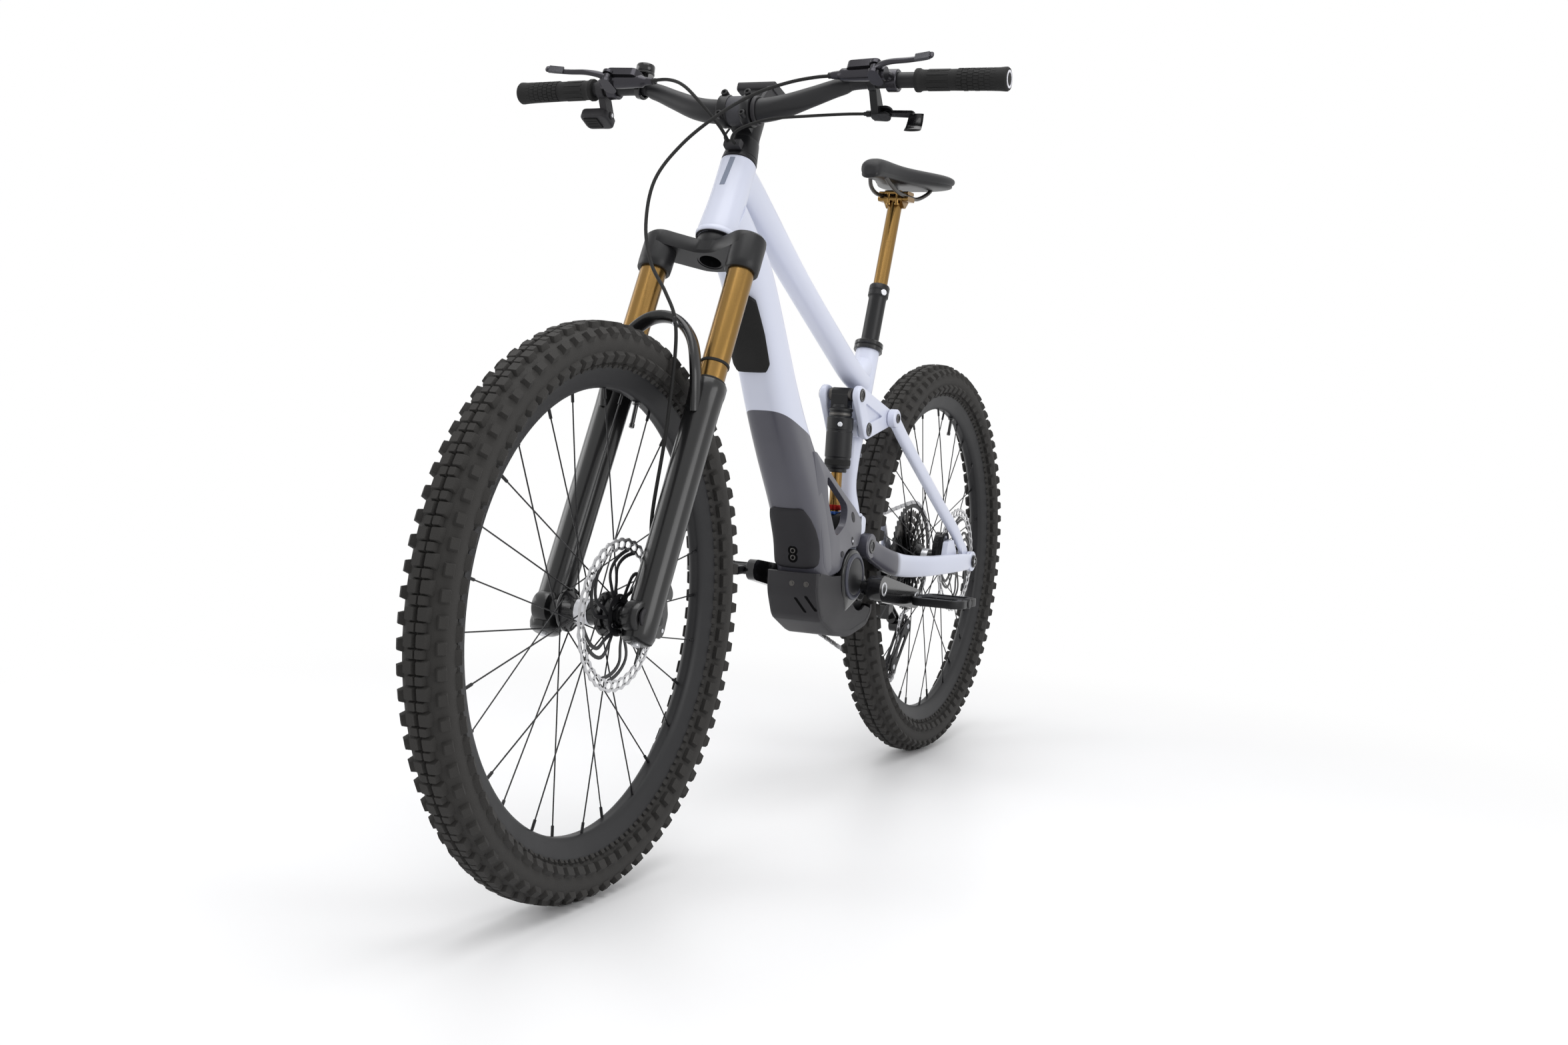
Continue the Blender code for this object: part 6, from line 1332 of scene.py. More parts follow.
@dataclass
class FrameSet:
    """Front triangle: head, tubes, bracket with its openings, lugs and the pads on the down tube."""

    down_tube: tuple = ((0.312, 0.916, 0.03, 0.036), (0.266, 0.8775, 0.032, 0.036),
        (0.2165, 0.826, 0.035, 0.036), (0.1188, 0.6667, 0.0372, 0.0395), (0.0647, 0.59, 0.0395, 0.0405),
        (0.0057, 0.5169, 0.041, 0.045), (-0.028, 0.455, 0.0412, 0.04), (-0.045, 0.41, 0.0412, 0.045),
        (-0.056, 0.38, 0.041, 0.045))
    top_tube: tuple = ((0.281, 0.977, 0.024, 0.031), (0.232, 0.957, 0.022, 0.027),
        (0.06, 0.855, 0.0205, 0.02), (-0.1, 0.766, 0.02, 0.019), (-0.19, 0.718, 0.02, 0.0195),
        (-0.238, 0.7, 0.019, 0.02))
    web: tuple = ((-0.23, 0.648, 0.019, 0.019), (-0.22, 0.615, 0.019, 0.0185), (-0.208, 0.57, 0.018, 0.016),
        (-0.206, 0.52, 0.016, 0.014), (-0.212, 0.475, 0.022, 0.018), (-0.214, 0.44, 0.024, 0.018))
    head: tuple = ((0.5899, 0.03, 0.0302), (0.592, 0.0312, 0.0312), (0.595, 0.0313, 0.0313),
        (0.5985, 0.0302, 0.0302), (0.606, 0.0297, 0.0298), (0.655, 0.0258, 0.0266), (0.705, 0.0251, 0.026),
        (0.716, 0.0253, 0.0262), (0.7198, 0.0244, 0.0254))
    gusset: tuple = ((-0.269, 0.752, 0.014, 0.01), (-0.245, 0.725, 0.018, 0.018),
        (-0.205, 0.708, 0.018, 0.016))
    plate: tuple = ((0.04, 0.5915), (-0.156, 0.486), (-0.184, 0.466), (-0.189, 0.446), (-0.174, 0.418),
        (-0.16, 0.4205), (-0.14, 0.4192), (-0.124, 0.413), (-0.11, 0.4), (-0.1035, 0.383), (-0.05, 0.374),
        (-0.03, 0.39), (-0.01, 0.45), (0.01, 0.51))
    window: tuple = ((-0.022, 0.546), (-0.118, 0.4915), (-0.114, 0.462), (-0.074, 0.441), (-0.036, 0.497))
    window_middle: tuple[float, float] = (-0.078, 0.481)
    squareness: float = 3.3
    inner: float = 0.029
    outer: float = 0.041

    def tube(self, shell: Shell, stations: Sequence[Point], power: float) -> None:
        """Add a tube through x, z, half width and half depth stations."""
        shell.beam([(x, 0.0, z, w, d) for x, z, w, d in stations], power, 56, 8)

    def body(self) -> None:
        """Join the tubes, the head, the seat tube and the bracket's two sides."""
        shell = Shell()
        self.tube(shell, self.down_tube, self.squareness)
        self.tube(shell, self.top_tube, 2.5)
        self.tube(shell, self.web, 2.6)
        self.tube(shell, self.gusset, 2.4)
        steer = Shell(STEER).stacked([(z, 0.0, 0.0, x, y) for z, x, y in self.head], 2.2, 64, 4)
        post = Shell(POST).turned([(0.0158, -0.15), (0.015, -0.156), (0.019, -0.156), (0.0205, -0.15),
            (0.0205, -0.0004), (0.0158, -0.0004)], 56)
        shell.merge(steer).merge(post)
        outline = rayed(filleted(self.plate, 0.012, 5), self.window_middle, 112)
        window = rayed(filleted(self.window, 0.014, 5), self.window_middle, 112)
        for side in (-1, 1):
            shell.collar(outline, window, side * (self.inner - 0.0002), side * self.outer, 0.0045, plane="xz",
                steps=4)
        lug = hull([(MAIN_PIVOT, 0.02), ((-0.196, 0.446), 0.015), ((-0.208, 0.462), 0.014)], 40)
        shell.plate(lug, -0.028, 0.028)
        shell.plate(filleted([(-0.203, 0.444), (-0.176, 0.44), (-0.174, 0.468), (-0.19, 0.474),
            (-0.204, 0.468)], 0.006, 3), -0.04, 0.04)
        shell.band(ROCKER_PIVOT, -0.0203, 0.0203, 0, 0.0145, 40)
        shaped("front_triangle", shell, "paint", "front_frame", bevel=0.001, sharp=44)

    def plugs(self) -> None:
        """Fill the bracket's holes with their plugs, and ring the head's ends."""
        shell = Shell()
        for side in (-1, 1):
            near, far = side * (self.outer - 0.003), side * (self.outer + 0.0004)
            for (x, z), long, wide, lean in (((-0.143, 0.4725), 0.0105, 0.0055, 0.95),
                    ((-0.146, 0.432), 0.0078, 0.0036, 1.2)):
                c, s = math.cos(lean), math.sin(lean)
                oval = circle(1.0, 28) * (long, wide) @ np.array([[c, s], [-s, c]]) + (x, z)
                shell.plate(oval, near, far)
            shell.disc((-0.104, 0.412), near, far + side * 0.0006, 0.0056, 28, 0.0008)
            shell.disc((-0.146, 0.432), near, far + side * 0.0006, 0.0023, 16, finish=1)
        steer = Shell(STEER)
        for r, z in ((0.0309, 0.5893), (0.025, 0.7199)):
            steer.turned([(r - 0.003, z - 0.0006), (r, z - 0.0004), (r, z + 0.0004), (r - 0.003, z + 0.0006)],
                64)
        shaped("bracket_plugs", shell.merge(steer), "plastic pale_grey", "motor_unit", stands_in=False)

    def stripe(self) -> None:
        """Plain slanted stripe on the head's front, a skin just over its superellipse."""
        stations = np.array(self.head)
        z = np.linspace(0.668, 0.715, 14)
        deep, wide = (np.interp(z, stations[:, 0], stations[:, k])[:, None] for k in (1, 2))
        y = np.linspace(-0.004, 0.004, 7) + (z[:, None] - 0.6915) * 0.1
        lift = deep * (1 - np.abs(y / wide) ** 2.2) ** (1 / 2.2)
        rings = np.zeros((len(z), 14, 3))
        rings[..., 1] = np.concatenate([y, y[:, ::-1]], 1)
        rings[..., 2] = z[:, None]
        rings[:, :7, 0] = lift + 0.0003
        rings[:, 7:, 0] = (lift - 0.0006)[:, ::-1]
        shaped("head_stripe", Shell(STEER).grid(rings), "stripe", "front_frame", stands_in=False)

    def pad(self, name: str, node: str, outline: Sequence[Point], thick: float, finish: str,
            screws: Sequence[tuple[float, float]]) -> None:
        """Wrap a pad round the down tube's front.

        A point of the pad lies at a length along the tube and an angle round its section, and the
        outline gives the half angle at each length. Its height over the tube falls off as a circle
        toward the outline.

        Args:
            name: Name of the piece.
            node: CAD node that it replaces.
            outline: Length along the tube and half angle of each station.
            thick: Thickness.
            finish: Name of the finish.
            screws: Length and angle of each screw.
        """
        route = smooth_route(self.down_tube, 24)
        length = np.concatenate([[0], np.cumsum(np.linalg.norm(np.diff(route[:, :2], axis=0), axis=1))])
        stations = np.array(outline)
        start, stop = stations[0, 0], stations[-1, 0]
        along = np.linspace(start, stop, 48)
        spot = np.stack([np.interp(along, length, route[:, k]) for k in range(4)], -1)
        ahead = np.gradient(spot[:, :2], axis=0)
        ahead /= np.linalg.norm(ahead, axis=1, keepdims=True)
        out = np.stack([-ahead[:, 1], ahead[:, 0]], -1)
        t = np.linspace(-1, 1, 33)
        angle = np.interp(along, stations[:, 0], stations[:, 1])[:, None] * t
        close = np.minimum(1.0, (1 - np.abs(t)) * 9)[None] * np.minimum(1.0, np.minimum(along - start,
            stop - along) / 0.005)[:, None]

        def surface(rise: Array | float) -> Array:
            """Points at a rise over the tube's superellipse."""
            u = np.sign(np.sin(angle)) * np.abs(np.sin(angle)) ** (2 / self.squareness)
            v = np.abs(np.cos(angle)) ** (2 / self.squareness) * np.sign(np.cos(angle))
            deep = (spot[:, 3:4] + rise) * v
            return np.stack([spot[:, :1] + out[:, :1] * deep, (spot[:, 2:3] + rise) * u, spot[:, 1:2]
                + out[:, 1:] * deep], -1)

        top = surface(0.0003 + thick * np.sqrt(1 - (1 - close) ** 2))
        shell = Shell().grid(np.concatenate([top, surface(0.0001)[:, ::-1]], axis=1))
        for where, turn in screws:
            i = int(np.argmin(np.abs(along - where)))
            j = int(np.argmin(np.abs(angle[i] - turn)))
            normal = np.cross(top[i, j + 1] - top[i, j - 1], top[i + 1, j] - top[i - 1, j])
            normal *= np.sign(normal @ np.array([out[i, 0], 0, out[i, 1]])) / np.linalg.norm(normal)
            # The dark ring round each screw and the hexagon on its head are painted shade of its pocket and
            # socket.
            shell.rod(top[i, j] - normal * 0.003, top[i, j] + normal * 0.0003, 0.0085, 32, 0.0002, finish=2)
            shell.rod(top[i, j] - normal * 0.002, top[i, j] + normal * 0.0007, 0.0046, 24, 0.0004, finish=1)
            shell.rod(top[i, j], top[i, j] + normal * 0.0012, 0.003, 6, 0.0002, finish=2)
        shaped(name, shell, finish + " dark_steel pit", node, sharp=46)

    def build(self) -> None:
        """Make the front triangle's pieces."""
        self.body()
        self.plugs()
        self.stripe()
        self.pad("port_guard", "battery_cover", ((0.508, 0.32), (0.513, 0.56), (0.536, 0.82), (0.562, 1.02),
            (0.59, 1.12), (0.614, 1.1), (0.623, 1.0), (0.628, 0.72)), 0.0034, "cover",
            ((0.598, 0.0), (0.609, 0.0)))
        self.pad("crown_bumper", "down_tube_bumper", ((0.125, 0.3), (0.135, 0.58), (0.19, 0.66), (0.24, 0.62),
            (0.255, 0.34)), 0.0085, "rubber", ((0.146, 0.0),))


# Motor

@dataclass
class Motor:
    """Mid motor with its left cap, and the tray under it."""

    outline: tuple = ((-0.02, 0.405), (0.0, 0.36), (-0.02, 0.315), (-0.08, 0.285), (-0.15, 0.277),
        (-0.215, 0.288), (-0.24, 0.325), (-0.238, 0.37), (-0.21, 0.403), (-0.12, 0.412))
    cap: tuple[float, float] = (-0.15, 0.372)
    cap_radius: float = 0.046
    skirt_tip: tuple[float, float] = (-0.121, 0.32)
    tray: tuple = ((0.006, 0.386), (0.0055, 0.352), (-0.016, 0.308), (-0.079, 0.2775), (-0.15, 0.269),
        (-0.224, 0.282), (-0.246, 0.302), (-0.246, 0.318))
    screws: tuple = ((0.0011, 0.3678), (0.0264, 0.3679))
    vents: tuple = ((0.008, -0.006), (0.027, -0.002))
    tray_half: float = 0.0447
    tray_wall: float = 0.0034

    def unit(self) -> None:
        """Cast the housing, and put the cap, its ring and the spindle's bosses on."""
        shell = Shell()
        shell.plate(filleted(self.outline, 0.012, 4), -0.0285, 0.0285)
        skirt = hull([(self.cap, self.cap_radius), (self.skirt_tip, 0.006)], 72)
        middle = np.array(self.cap)
        levels = ((1.0, 0.02), (1.0, 0.042), (0.985, 0.0438), (0.95, 0.0448), (0.87, 0.0456))
        rings = np.zeros((len(levels), len(skirt), 3))
        for ring, (share, y) in zip(rings, levels):
            ring[:, [0, 2]] = middle + (skirt - middle) * share
            ring[:, 1] = y
        shell.grid(rings, finish=1, poles=((middle[0], 0.02, middle[1]), (middle[0], 0.0456, middle[1])))
        shell.spun([(0.0315, 0.044), (0.0398, 0.044), (0.0392, 0.0478), (0.0372, 0.0492), (0.033, 0.0492),
            (0.0315, 0.0482)], self.cap, 72, 2)
        shell.spun([(0, 0.044), (0.0316, 0.044), (0.0316, 0.0478), (0.029, 0.0488), (0, 0.0492)], self.cap,
            72, 3)
        shell.spun([(0.0123, -0.04), (0.0285, -0.04), (0.03, -0.0385), (0.03, -0.02), (0.0123, -0.02)],
            BRACKET_CENTRE, 56)
        shell.spun([(0.0123, 0.02), (0.024, 0.02), (0.024, 0.044), (0.0225, 0.0458), (0.0123, 0.0458)],
            BRACKET_CENTRE, 56, 1)
        for x, z in ((-0.229, 0.35), (-0.208, 0.299), (-0.042, 0.309), (-0.018, 0.36)):
            for side in (-1, 1):
                shell.disc((x, z), side * 0.027, side * 0.031, 0.0068, 20, 0.0008)
        shaped("motor_housing", shell, "plastic gloss slate satin_black", "motor_unit", bevel=0.0008,
            sharp=40)

    def skid(self) -> None:
        """Fold the tray: a rounded channel along its foot, and a wall up each side round the cap."""
        bends = filleted(self.tray, 0.012, 3)[4:-4]
        path = smooth_route(np.vstack([self.tray[:1], bends, self.tray[-1:]]), 3)
        ahead = np.gradient(path, axis=0)
        ahead /= np.linalg.norm(ahead, axis=1, keepdims=True)
        inward = np.stack([ahead[:, 1], -ahead[:, 0]], -1)
        half, wall = self.tray_half, self.tray_wall
        side = [(half, 0.012), (half, 0.006), (half - 0.0018, 0.0018), (half - 0.006, 0.0)]
        back = [(half - 0.006, wall), (half - wall - 0.001, 0.0055), (half - wall, 0.008),
            (half - wall, 0.012)]
        profile = np.array(side + [(-y, n) for y, n in side[::-1]] + [(-y, n) for y, n in back[::-1]] + back)
        rings = np.zeros((len(path), len(profile), 3))
        rings[..., [0, 2]] = path[:, None] + inward[:, None] * profile[None, :, 1:]
        rings[..., 1] = profile[None, :, 0]
        shell = Shell().grid(rings)
        wall_line = path[3:-3] + inward[3:-3] * 0.005
        arc = [polar(BRACKET_CENTRE, 0.041, a) for a in np.radians((235, 255, 275, 295, 315, 335))]
        sweep = [polar(self.cap, 0.0535, a) for a in np.radians((293, 305, 317, 329, 341, 353, 365))]
        left = np.vstack([wall_line, arc, sweep, [(-0.06, 0.378), (-0.01, 0.386)]])
        right = np.vstack([wall_line, arc, [(-0.13, 0.345), (-0.06, 0.378), (-0.01, 0.386)]])
        shell.plate(left, half - wall, half - 0.0002)
        shell.plate(right, -half + 0.0002, -half + wall)
        for y, z in self.screws:
            shell.rod((0.0045, y, z), (0.0062, y, z), 0.0046, 24, 0.0003, finish=1)
            shell.rod((0.006, y, z), (0.007, y, z), 0.0026, 6, finish=1)
        front = Shell(Basis.tilted((0.0055, 0.352), math.atan2(0.044, -0.0215)))
        # Each vent is a thin near-black sheet on the tray's front: painted shade of the slot.
        for y, z in self.vents:
            bar = np.array([(-0.004, -0.002), (0.001, -0.002), (0.016, -0.029), (0.011, -0.029)]) + (y, z)
            front.plate(filleted(bar, 0.002, 3), -0.001, 0.0004, 2, "yz")
        shell.merge(front)
        shaped("skid_tray", shell, "plastic dark_steel pit", "motor_skid_plate", sharp=40)

    def build(self) -> None:
        """Make the motor's pieces."""
        self.unit()
        self.skid()


# Rear suspension

@dataclass
class Suspension:
    """Chainstays, seatstays, rocker and shock, each on its own body."""

    stay_pivot: tuple[float, float] = (-0.297, 0.641)
    shock_top: tuple[float, float] = (-0.163, 0.677)
    shock_bottom: tuple[float, float] = (-0.155, 0.452)
    right_limb: tuple = ((-0.222, -0.0375, 0.417, 0.0085, 0.019), (-0.25, -0.0405, 0.405, 0.0085, 0.0195),
        (-0.3, -0.0475, 0.388, 0.0075, 0.021), (-0.38, -0.054, 0.3765, 0.009, 0.02),
        (-0.46, -0.063, 0.374, 0.01, 0.0185), (-0.52, -0.0735, 0.374, 0.01, 0.0178),
        (-0.58, -0.0863, 0.374, 0.0078, 0.0165), (-0.624, -0.0891, 0.374, 0.0053, 0.015))
    left_limb: tuple = ((-0.222, 0.0395, 0.417, 0.0105, 0.019), (-0.25, 0.043, 0.405, 0.0105, 0.0195),
        (-0.3, 0.051, 0.388, 0.011, 0.021), (-0.37, 0.056, 0.3775, 0.0095, 0.02),
        (-0.45, 0.07, 0.374, 0.01, 0.0185), (-0.52, 0.079, 0.374, 0.01, 0.0178),
        (-0.58, 0.0863, 0.374, 0.0078, 0.0165), (-0.624, 0.0891, 0.374, 0.0053, 0.015))
    stay: tuple = ((-0.305, 0.0443, 0.634, 0.0078, 0.013), (-0.36, 0.05, 0.59, 0.008, 0.0125),
        (-0.5, 0.066, 0.485, 0.008, 0.012), (-0.565, 0.0735, 0.438, 0.0076, 0.012),
        (-0.59, 0.0765, 0.417, 0.006, 0.012), (-0.606, 0.07875, 0.4, 0.0043, 0.012))

    def bolt(self, shell: Shell, spot: Point, y: float, side: int, radius: float, first: int) -> None:
        """Add a bolt's ring, head and hexagonal socket.

        Args:
            shell: Shell to add to.
            spot: Its x and z.
            y: Level of the surface under its head.
            side: Side that it faces.
            radius: Radius of its ring.
            first: Number of its finish; its socket has the next one.
        """
        place = {"at": (spot[0], y, spot[1]), "axis": (0, side, 0)}
        shell.turned([(radius * 0.62, -0.002), (radius, -0.002), (radius, 0.001), (radius * 0.92, 0.0018),
            (radius * 0.62, 0.0018)], 40, first, **place)
        shell.turned([(0, -0.001), (radius * 0.64, -0.001), (radius * 0.64, 0.0006), (0, 0.0009)], 40, first,
            **place)
        shell.turned([(0, 0.0), (radius * 0.36, 0.0), (radius * 0.36, 0.0011), (0, 0.0011)], 6, first + 1,
            **place)

    def chainstay(self) -> None:
        """Forge both limbs, the pivot's eyes with their bolts, the bridge, the ends and the brake's tab."""
        shell = Shell()
        shell.beam(self.left_limb, 2.9, 44, 7).beam(self.right_limb, 2.9, 44, 7)
        shell.disc(MAIN_PIVOT, -0.044, 0.048, 0.007, 48, 0.001)
        shell.disc(MAIN_PIVOT, 0.0291, 0.0496, 0.022, 48, 0.002)
        shell.disc(MAIN_PIVOT, -0.0456, -0.0291, 0.022, 48, 0.002)
        self.bolt(shell, MAIN_PIVOT, 0.0492, 1, 0.0125, 1)
        self.bolt(shell, MAIN_PIVOT, -0.0452, -1, 0.0125, 1)
        shell.disc((-0.245, 0.413), -0.042, 0.044, 0.0055, 48, 0.001)
        for side in (-1, 1):
            low, high = sorted((side * 0.0838, side * 0.0944))
            shell.spun([(0.0077, low), (0.018, low), (0.019, low + 0.001), (0.019, high - 0.0012),
                (0.0178, high), (0.0077, high)], REAR_AXLE, 48)
        tab = hull([((-0.575, 0.392), 0.008), ((-0.535, 0.388), 0.008), ((-0.56, 0.41), 0.0075),
            ((-0.54, 0.408), 0.0075)], 40)
        shell.plate(tab, 0.0658, 0.0765)
        shaped("chainstay_forged", shell, "stay_paint gloss satin_black", "chainstay", bevel=0.001, sharp=42)
        pin = Shell()
        pin.disc(REAR_AXLE, -0.1048, 0.0952, 0.0074, 48, 0.0006)
        pin.disc(REAR_AXLE, 0.0949, 0.0975, 0.012, 48, 0.0006)
        self.bolt(pin, REAR_AXLE, 0.0972, 1, 0.0098, 0)
        shaped("rear_axle_pin", pin, "gloss silver", "rear_axle")

    def seatstays(self) -> None:
        """Forge each seatstay with its eye, pivot bolt and axle tab."""
        for side, name in ((1, "left"), (-1, "right")):
            shell = Shell().beam([(x, side * y, z, w, d) for x, y, z, w, d in self.stay], 2.8, 40, 8)
            shell.disc(self.stay_pivot, side * 0.0364, side * 0.052, 0.016, 48, 0.0022)
            self.bolt(shell, self.stay_pivot, side * 0.0518, side, 0.0085, 1)
            shell.band(REAR_AXLE, side * 0.0744, side * 0.0832, 0.0077, 0.018, 48)
            shell.plate(hull([((-0.6165, 0.39), 0.013), ((-0.606, 0.4), 0.0115)], 32), side * 0.0746, side
                * 0.0829)
            shaped("seatstay_forged_" + name, shell, "paint gloss satin_black", "seatstay_" + name,
                bevel=0.001, sharp=42)

    def rocker(self) -> None:
        """Forge both rocker sides round their pockets, join them at the back and cap their pivots."""
        shell = Shell()
        corners = [(ROCKER_PIVOT, 0.017), (self.stay_pivot, 0.0155), (self.shock_top, 0.016)]
        middle = np.mean([c for c, _ in corners], axis=0) + (0.006, 0.0)
        outline = rayed(hull(corners, 96), middle, 120)
        pocket = rayed(filleted(middle + (np.array([c for c, _ in corners]) - middle) * 0.62, 0.009, 5),
            middle, 120)
        inner, outer = 0.0245, 0.036
        for side in (-1, 1):
            shell.collar(outline, pocket, side * inner, side * outer, 0.003, plane="xz", steps=4)
            shell.plate(pocket + (pocket - middle) * 0.04, side * (inner + 0.0006), side * (outer - 0.0045))
            for spot, radius in ((self.shock_top, 0.0115), (ROCKER_PIVOT, 0.012)):
                shell.disc(spot, side * (outer - 0.002), side * (outer + 0.001), radius + 0.002, 48, 0.001)
                self.bolt(shell, spot, side * (outer + 0.0006), side, radius, 1)
            shell.disc(ROCKER_PIVOT, side * 0.0208, side * (inner + 0.002), 0.013, 48, 0.001)
        shell.disc(ROCKER_PIVOT, -0.03, 0.03, 0.007, 48, 0.001)
        yoke = hull([((-0.285, 0.644), 0.0055), ((-0.279, 0.636), 0.0055)], 24)
        shell.plate(yoke, -0.03, 0.03)
        shaped("rocker_forged", shell, "paint gloss satin_black", "rocker_link", bevel=0.0008, sharp=42)

    def shock(self) -> None:
        """Turn the air can with its bands and valve, the shaft with its foot, and both adjusters."""
        run = math.hypot(self.shock_top[0] - self.shock_bottom[0], self.shock_top[1] - self.shock_bottom[1])
        lean = math.atan2(self.shock_top[1] - self.shock_bottom[1], self.shock_bottom[0] - self.shock_top[0])
        basis = Basis.tilted(self.shock_bottom, lean)
        can = Shell(basis)
        can.turned([(0.0097, 0.0932), (0.015, 0.0932), (0.0162, 0.0944), (0.0162, 0.099), (0.0205, 0.1005),
            (0.0212, 0.1025), (0.0212, 0.118), (0.0225, 0.1195), (0.0225, 0.161), (0.0216, 0.1622),
            (0.0216, 0.1648), (0.0225, 0.166), (0.0225, 0.185), (0.021, 0.1866), (0.0188, 0.187),
            (0.0188, 0.196), (0.0202, 0.1968), (0.0202, 0.201), (0.017, 0.203), (0.015, 0.208),
            (0.0097, 0.209)], 64)
        can.turned([(0.021, 0.105), (0.0221, 0.1054), (0.0221, 0.1146), (0.021, 0.115)], 64, 1)
        can.turned([(0.0186, 0.189), (0.0196, 0.1894), (0.0196, 0.1936), (0.0186, 0.194)], 56, 2)
        can.plate(filleted([(-0.012, 0.2), (0.012, 0.2), (0.011, run + 0.006), (0.006, run + 0.0118),
            (-0.006, run + 0.0118), (-0.011, run + 0.006)], 0.004, 4), -0.015, 0.015)
        can.disc((0, run), -0.0205, 0.0205, 0.0112, 40, 0.0006, 2)
        can.rod((0.019, 0.008, 0.174), (0.0262, 0.011, 0.174), 0.0042, 24, 0.0008, 3)
        shaped("shock_air_can", can, "satin_black rubber dark_steel silver", "shock_can", bevel=0.0005)
        shaft = Shell(basis)
        shaft.post((0, 0), 0.008, 0.12, 0.0095, 48, 0.0004)
        shaft.turned([(0.0093, 0.029), (0.0122, 0.0294), (0.0128, 0.031), (0.0128, 0.038), (0.0093, 0.0384)],
            40, 3)
        shaft.plate(hull([((0, 0), 0.014), ((0, 0.015), 0.012)], 40), -0.015, 0.015, 1)
        shaft.disc((0, 0), -0.02, 0.02, 0.012, 40, 0.0006, 1)
        shaft.disc((0, 0), -0.0405, 0.0405, 0.0069, 32, 0.0008, 2)
        shaped("shock_inner_shaft", shaft, "gold satin_black dark_steel red", "shock_shaft", bevel=0.0005)
        lever = Shell(basis)
        lever.turned([(0.0098, 0.0216), (0.0126, 0.0216), (0.0128, 0.0222), (0.0128, 0.0264), (0.0126, 0.027),
            (0.0098, 0.027)], 40)
        lever.plate(filleted([(-0.011, -0.0038), (-0.03, -0.003), (-0.0325, 0.0), (-0.03, 0.003),
            (-0.011, 0.0038)], 0.0015, 3), 0.0222, 0.0262, plane="xy")
        shaped("shock_switch", lever, "blue", "shock_lever", bevel=0.0005)

    def build(self) -> None:
        """Make the suspension's pieces."""
        self.chainstay()
        self.seatstays()
        self.rocker()
        self.shock()


# Cockpit

def ride_basis(start: Point, stop: Point) -> Basis:
    """Axes with Z from one point of the steering frame to another, and X as near its own X as can be.

    Args:
        start: Where Z starts.
        stop: Where Z leads.

    Returns:
        The axes.
    """
    first, last = STEER.place(np.array([start]))[0], STEER.place(np.array([stop]))[0]
    z = (last - first) / np.linalg.norm(last - first)
    x = np.array(STEER.x) - z * (np.array(STEER.x) @ z)
    x /= np.linalg.norm(x)
    return Basis(tuple(first), tuple(x), tuple(np.cross(z, x)), tuple(z))


def rounds(angles: Array, shifts: Array) -> Array:
    """Matrices that turn about Z and shift along it.

    Args:
        angles: One turn for each matrix.
        shifts: One distance for each matrix.

    Returns:
        Stack of 4 by 4 matrices.
    """
    c, s = np.cos(angles), np.sin(angles)
    m = np.tile(np.eye(4), (len(c), 1, 1))
    m[:, 0, 0], m[:, 0, 1], m[:, 1, 0], m[:, 1, 1], m[:, 2, 3] = c, -s, s, c, shifts
    return m


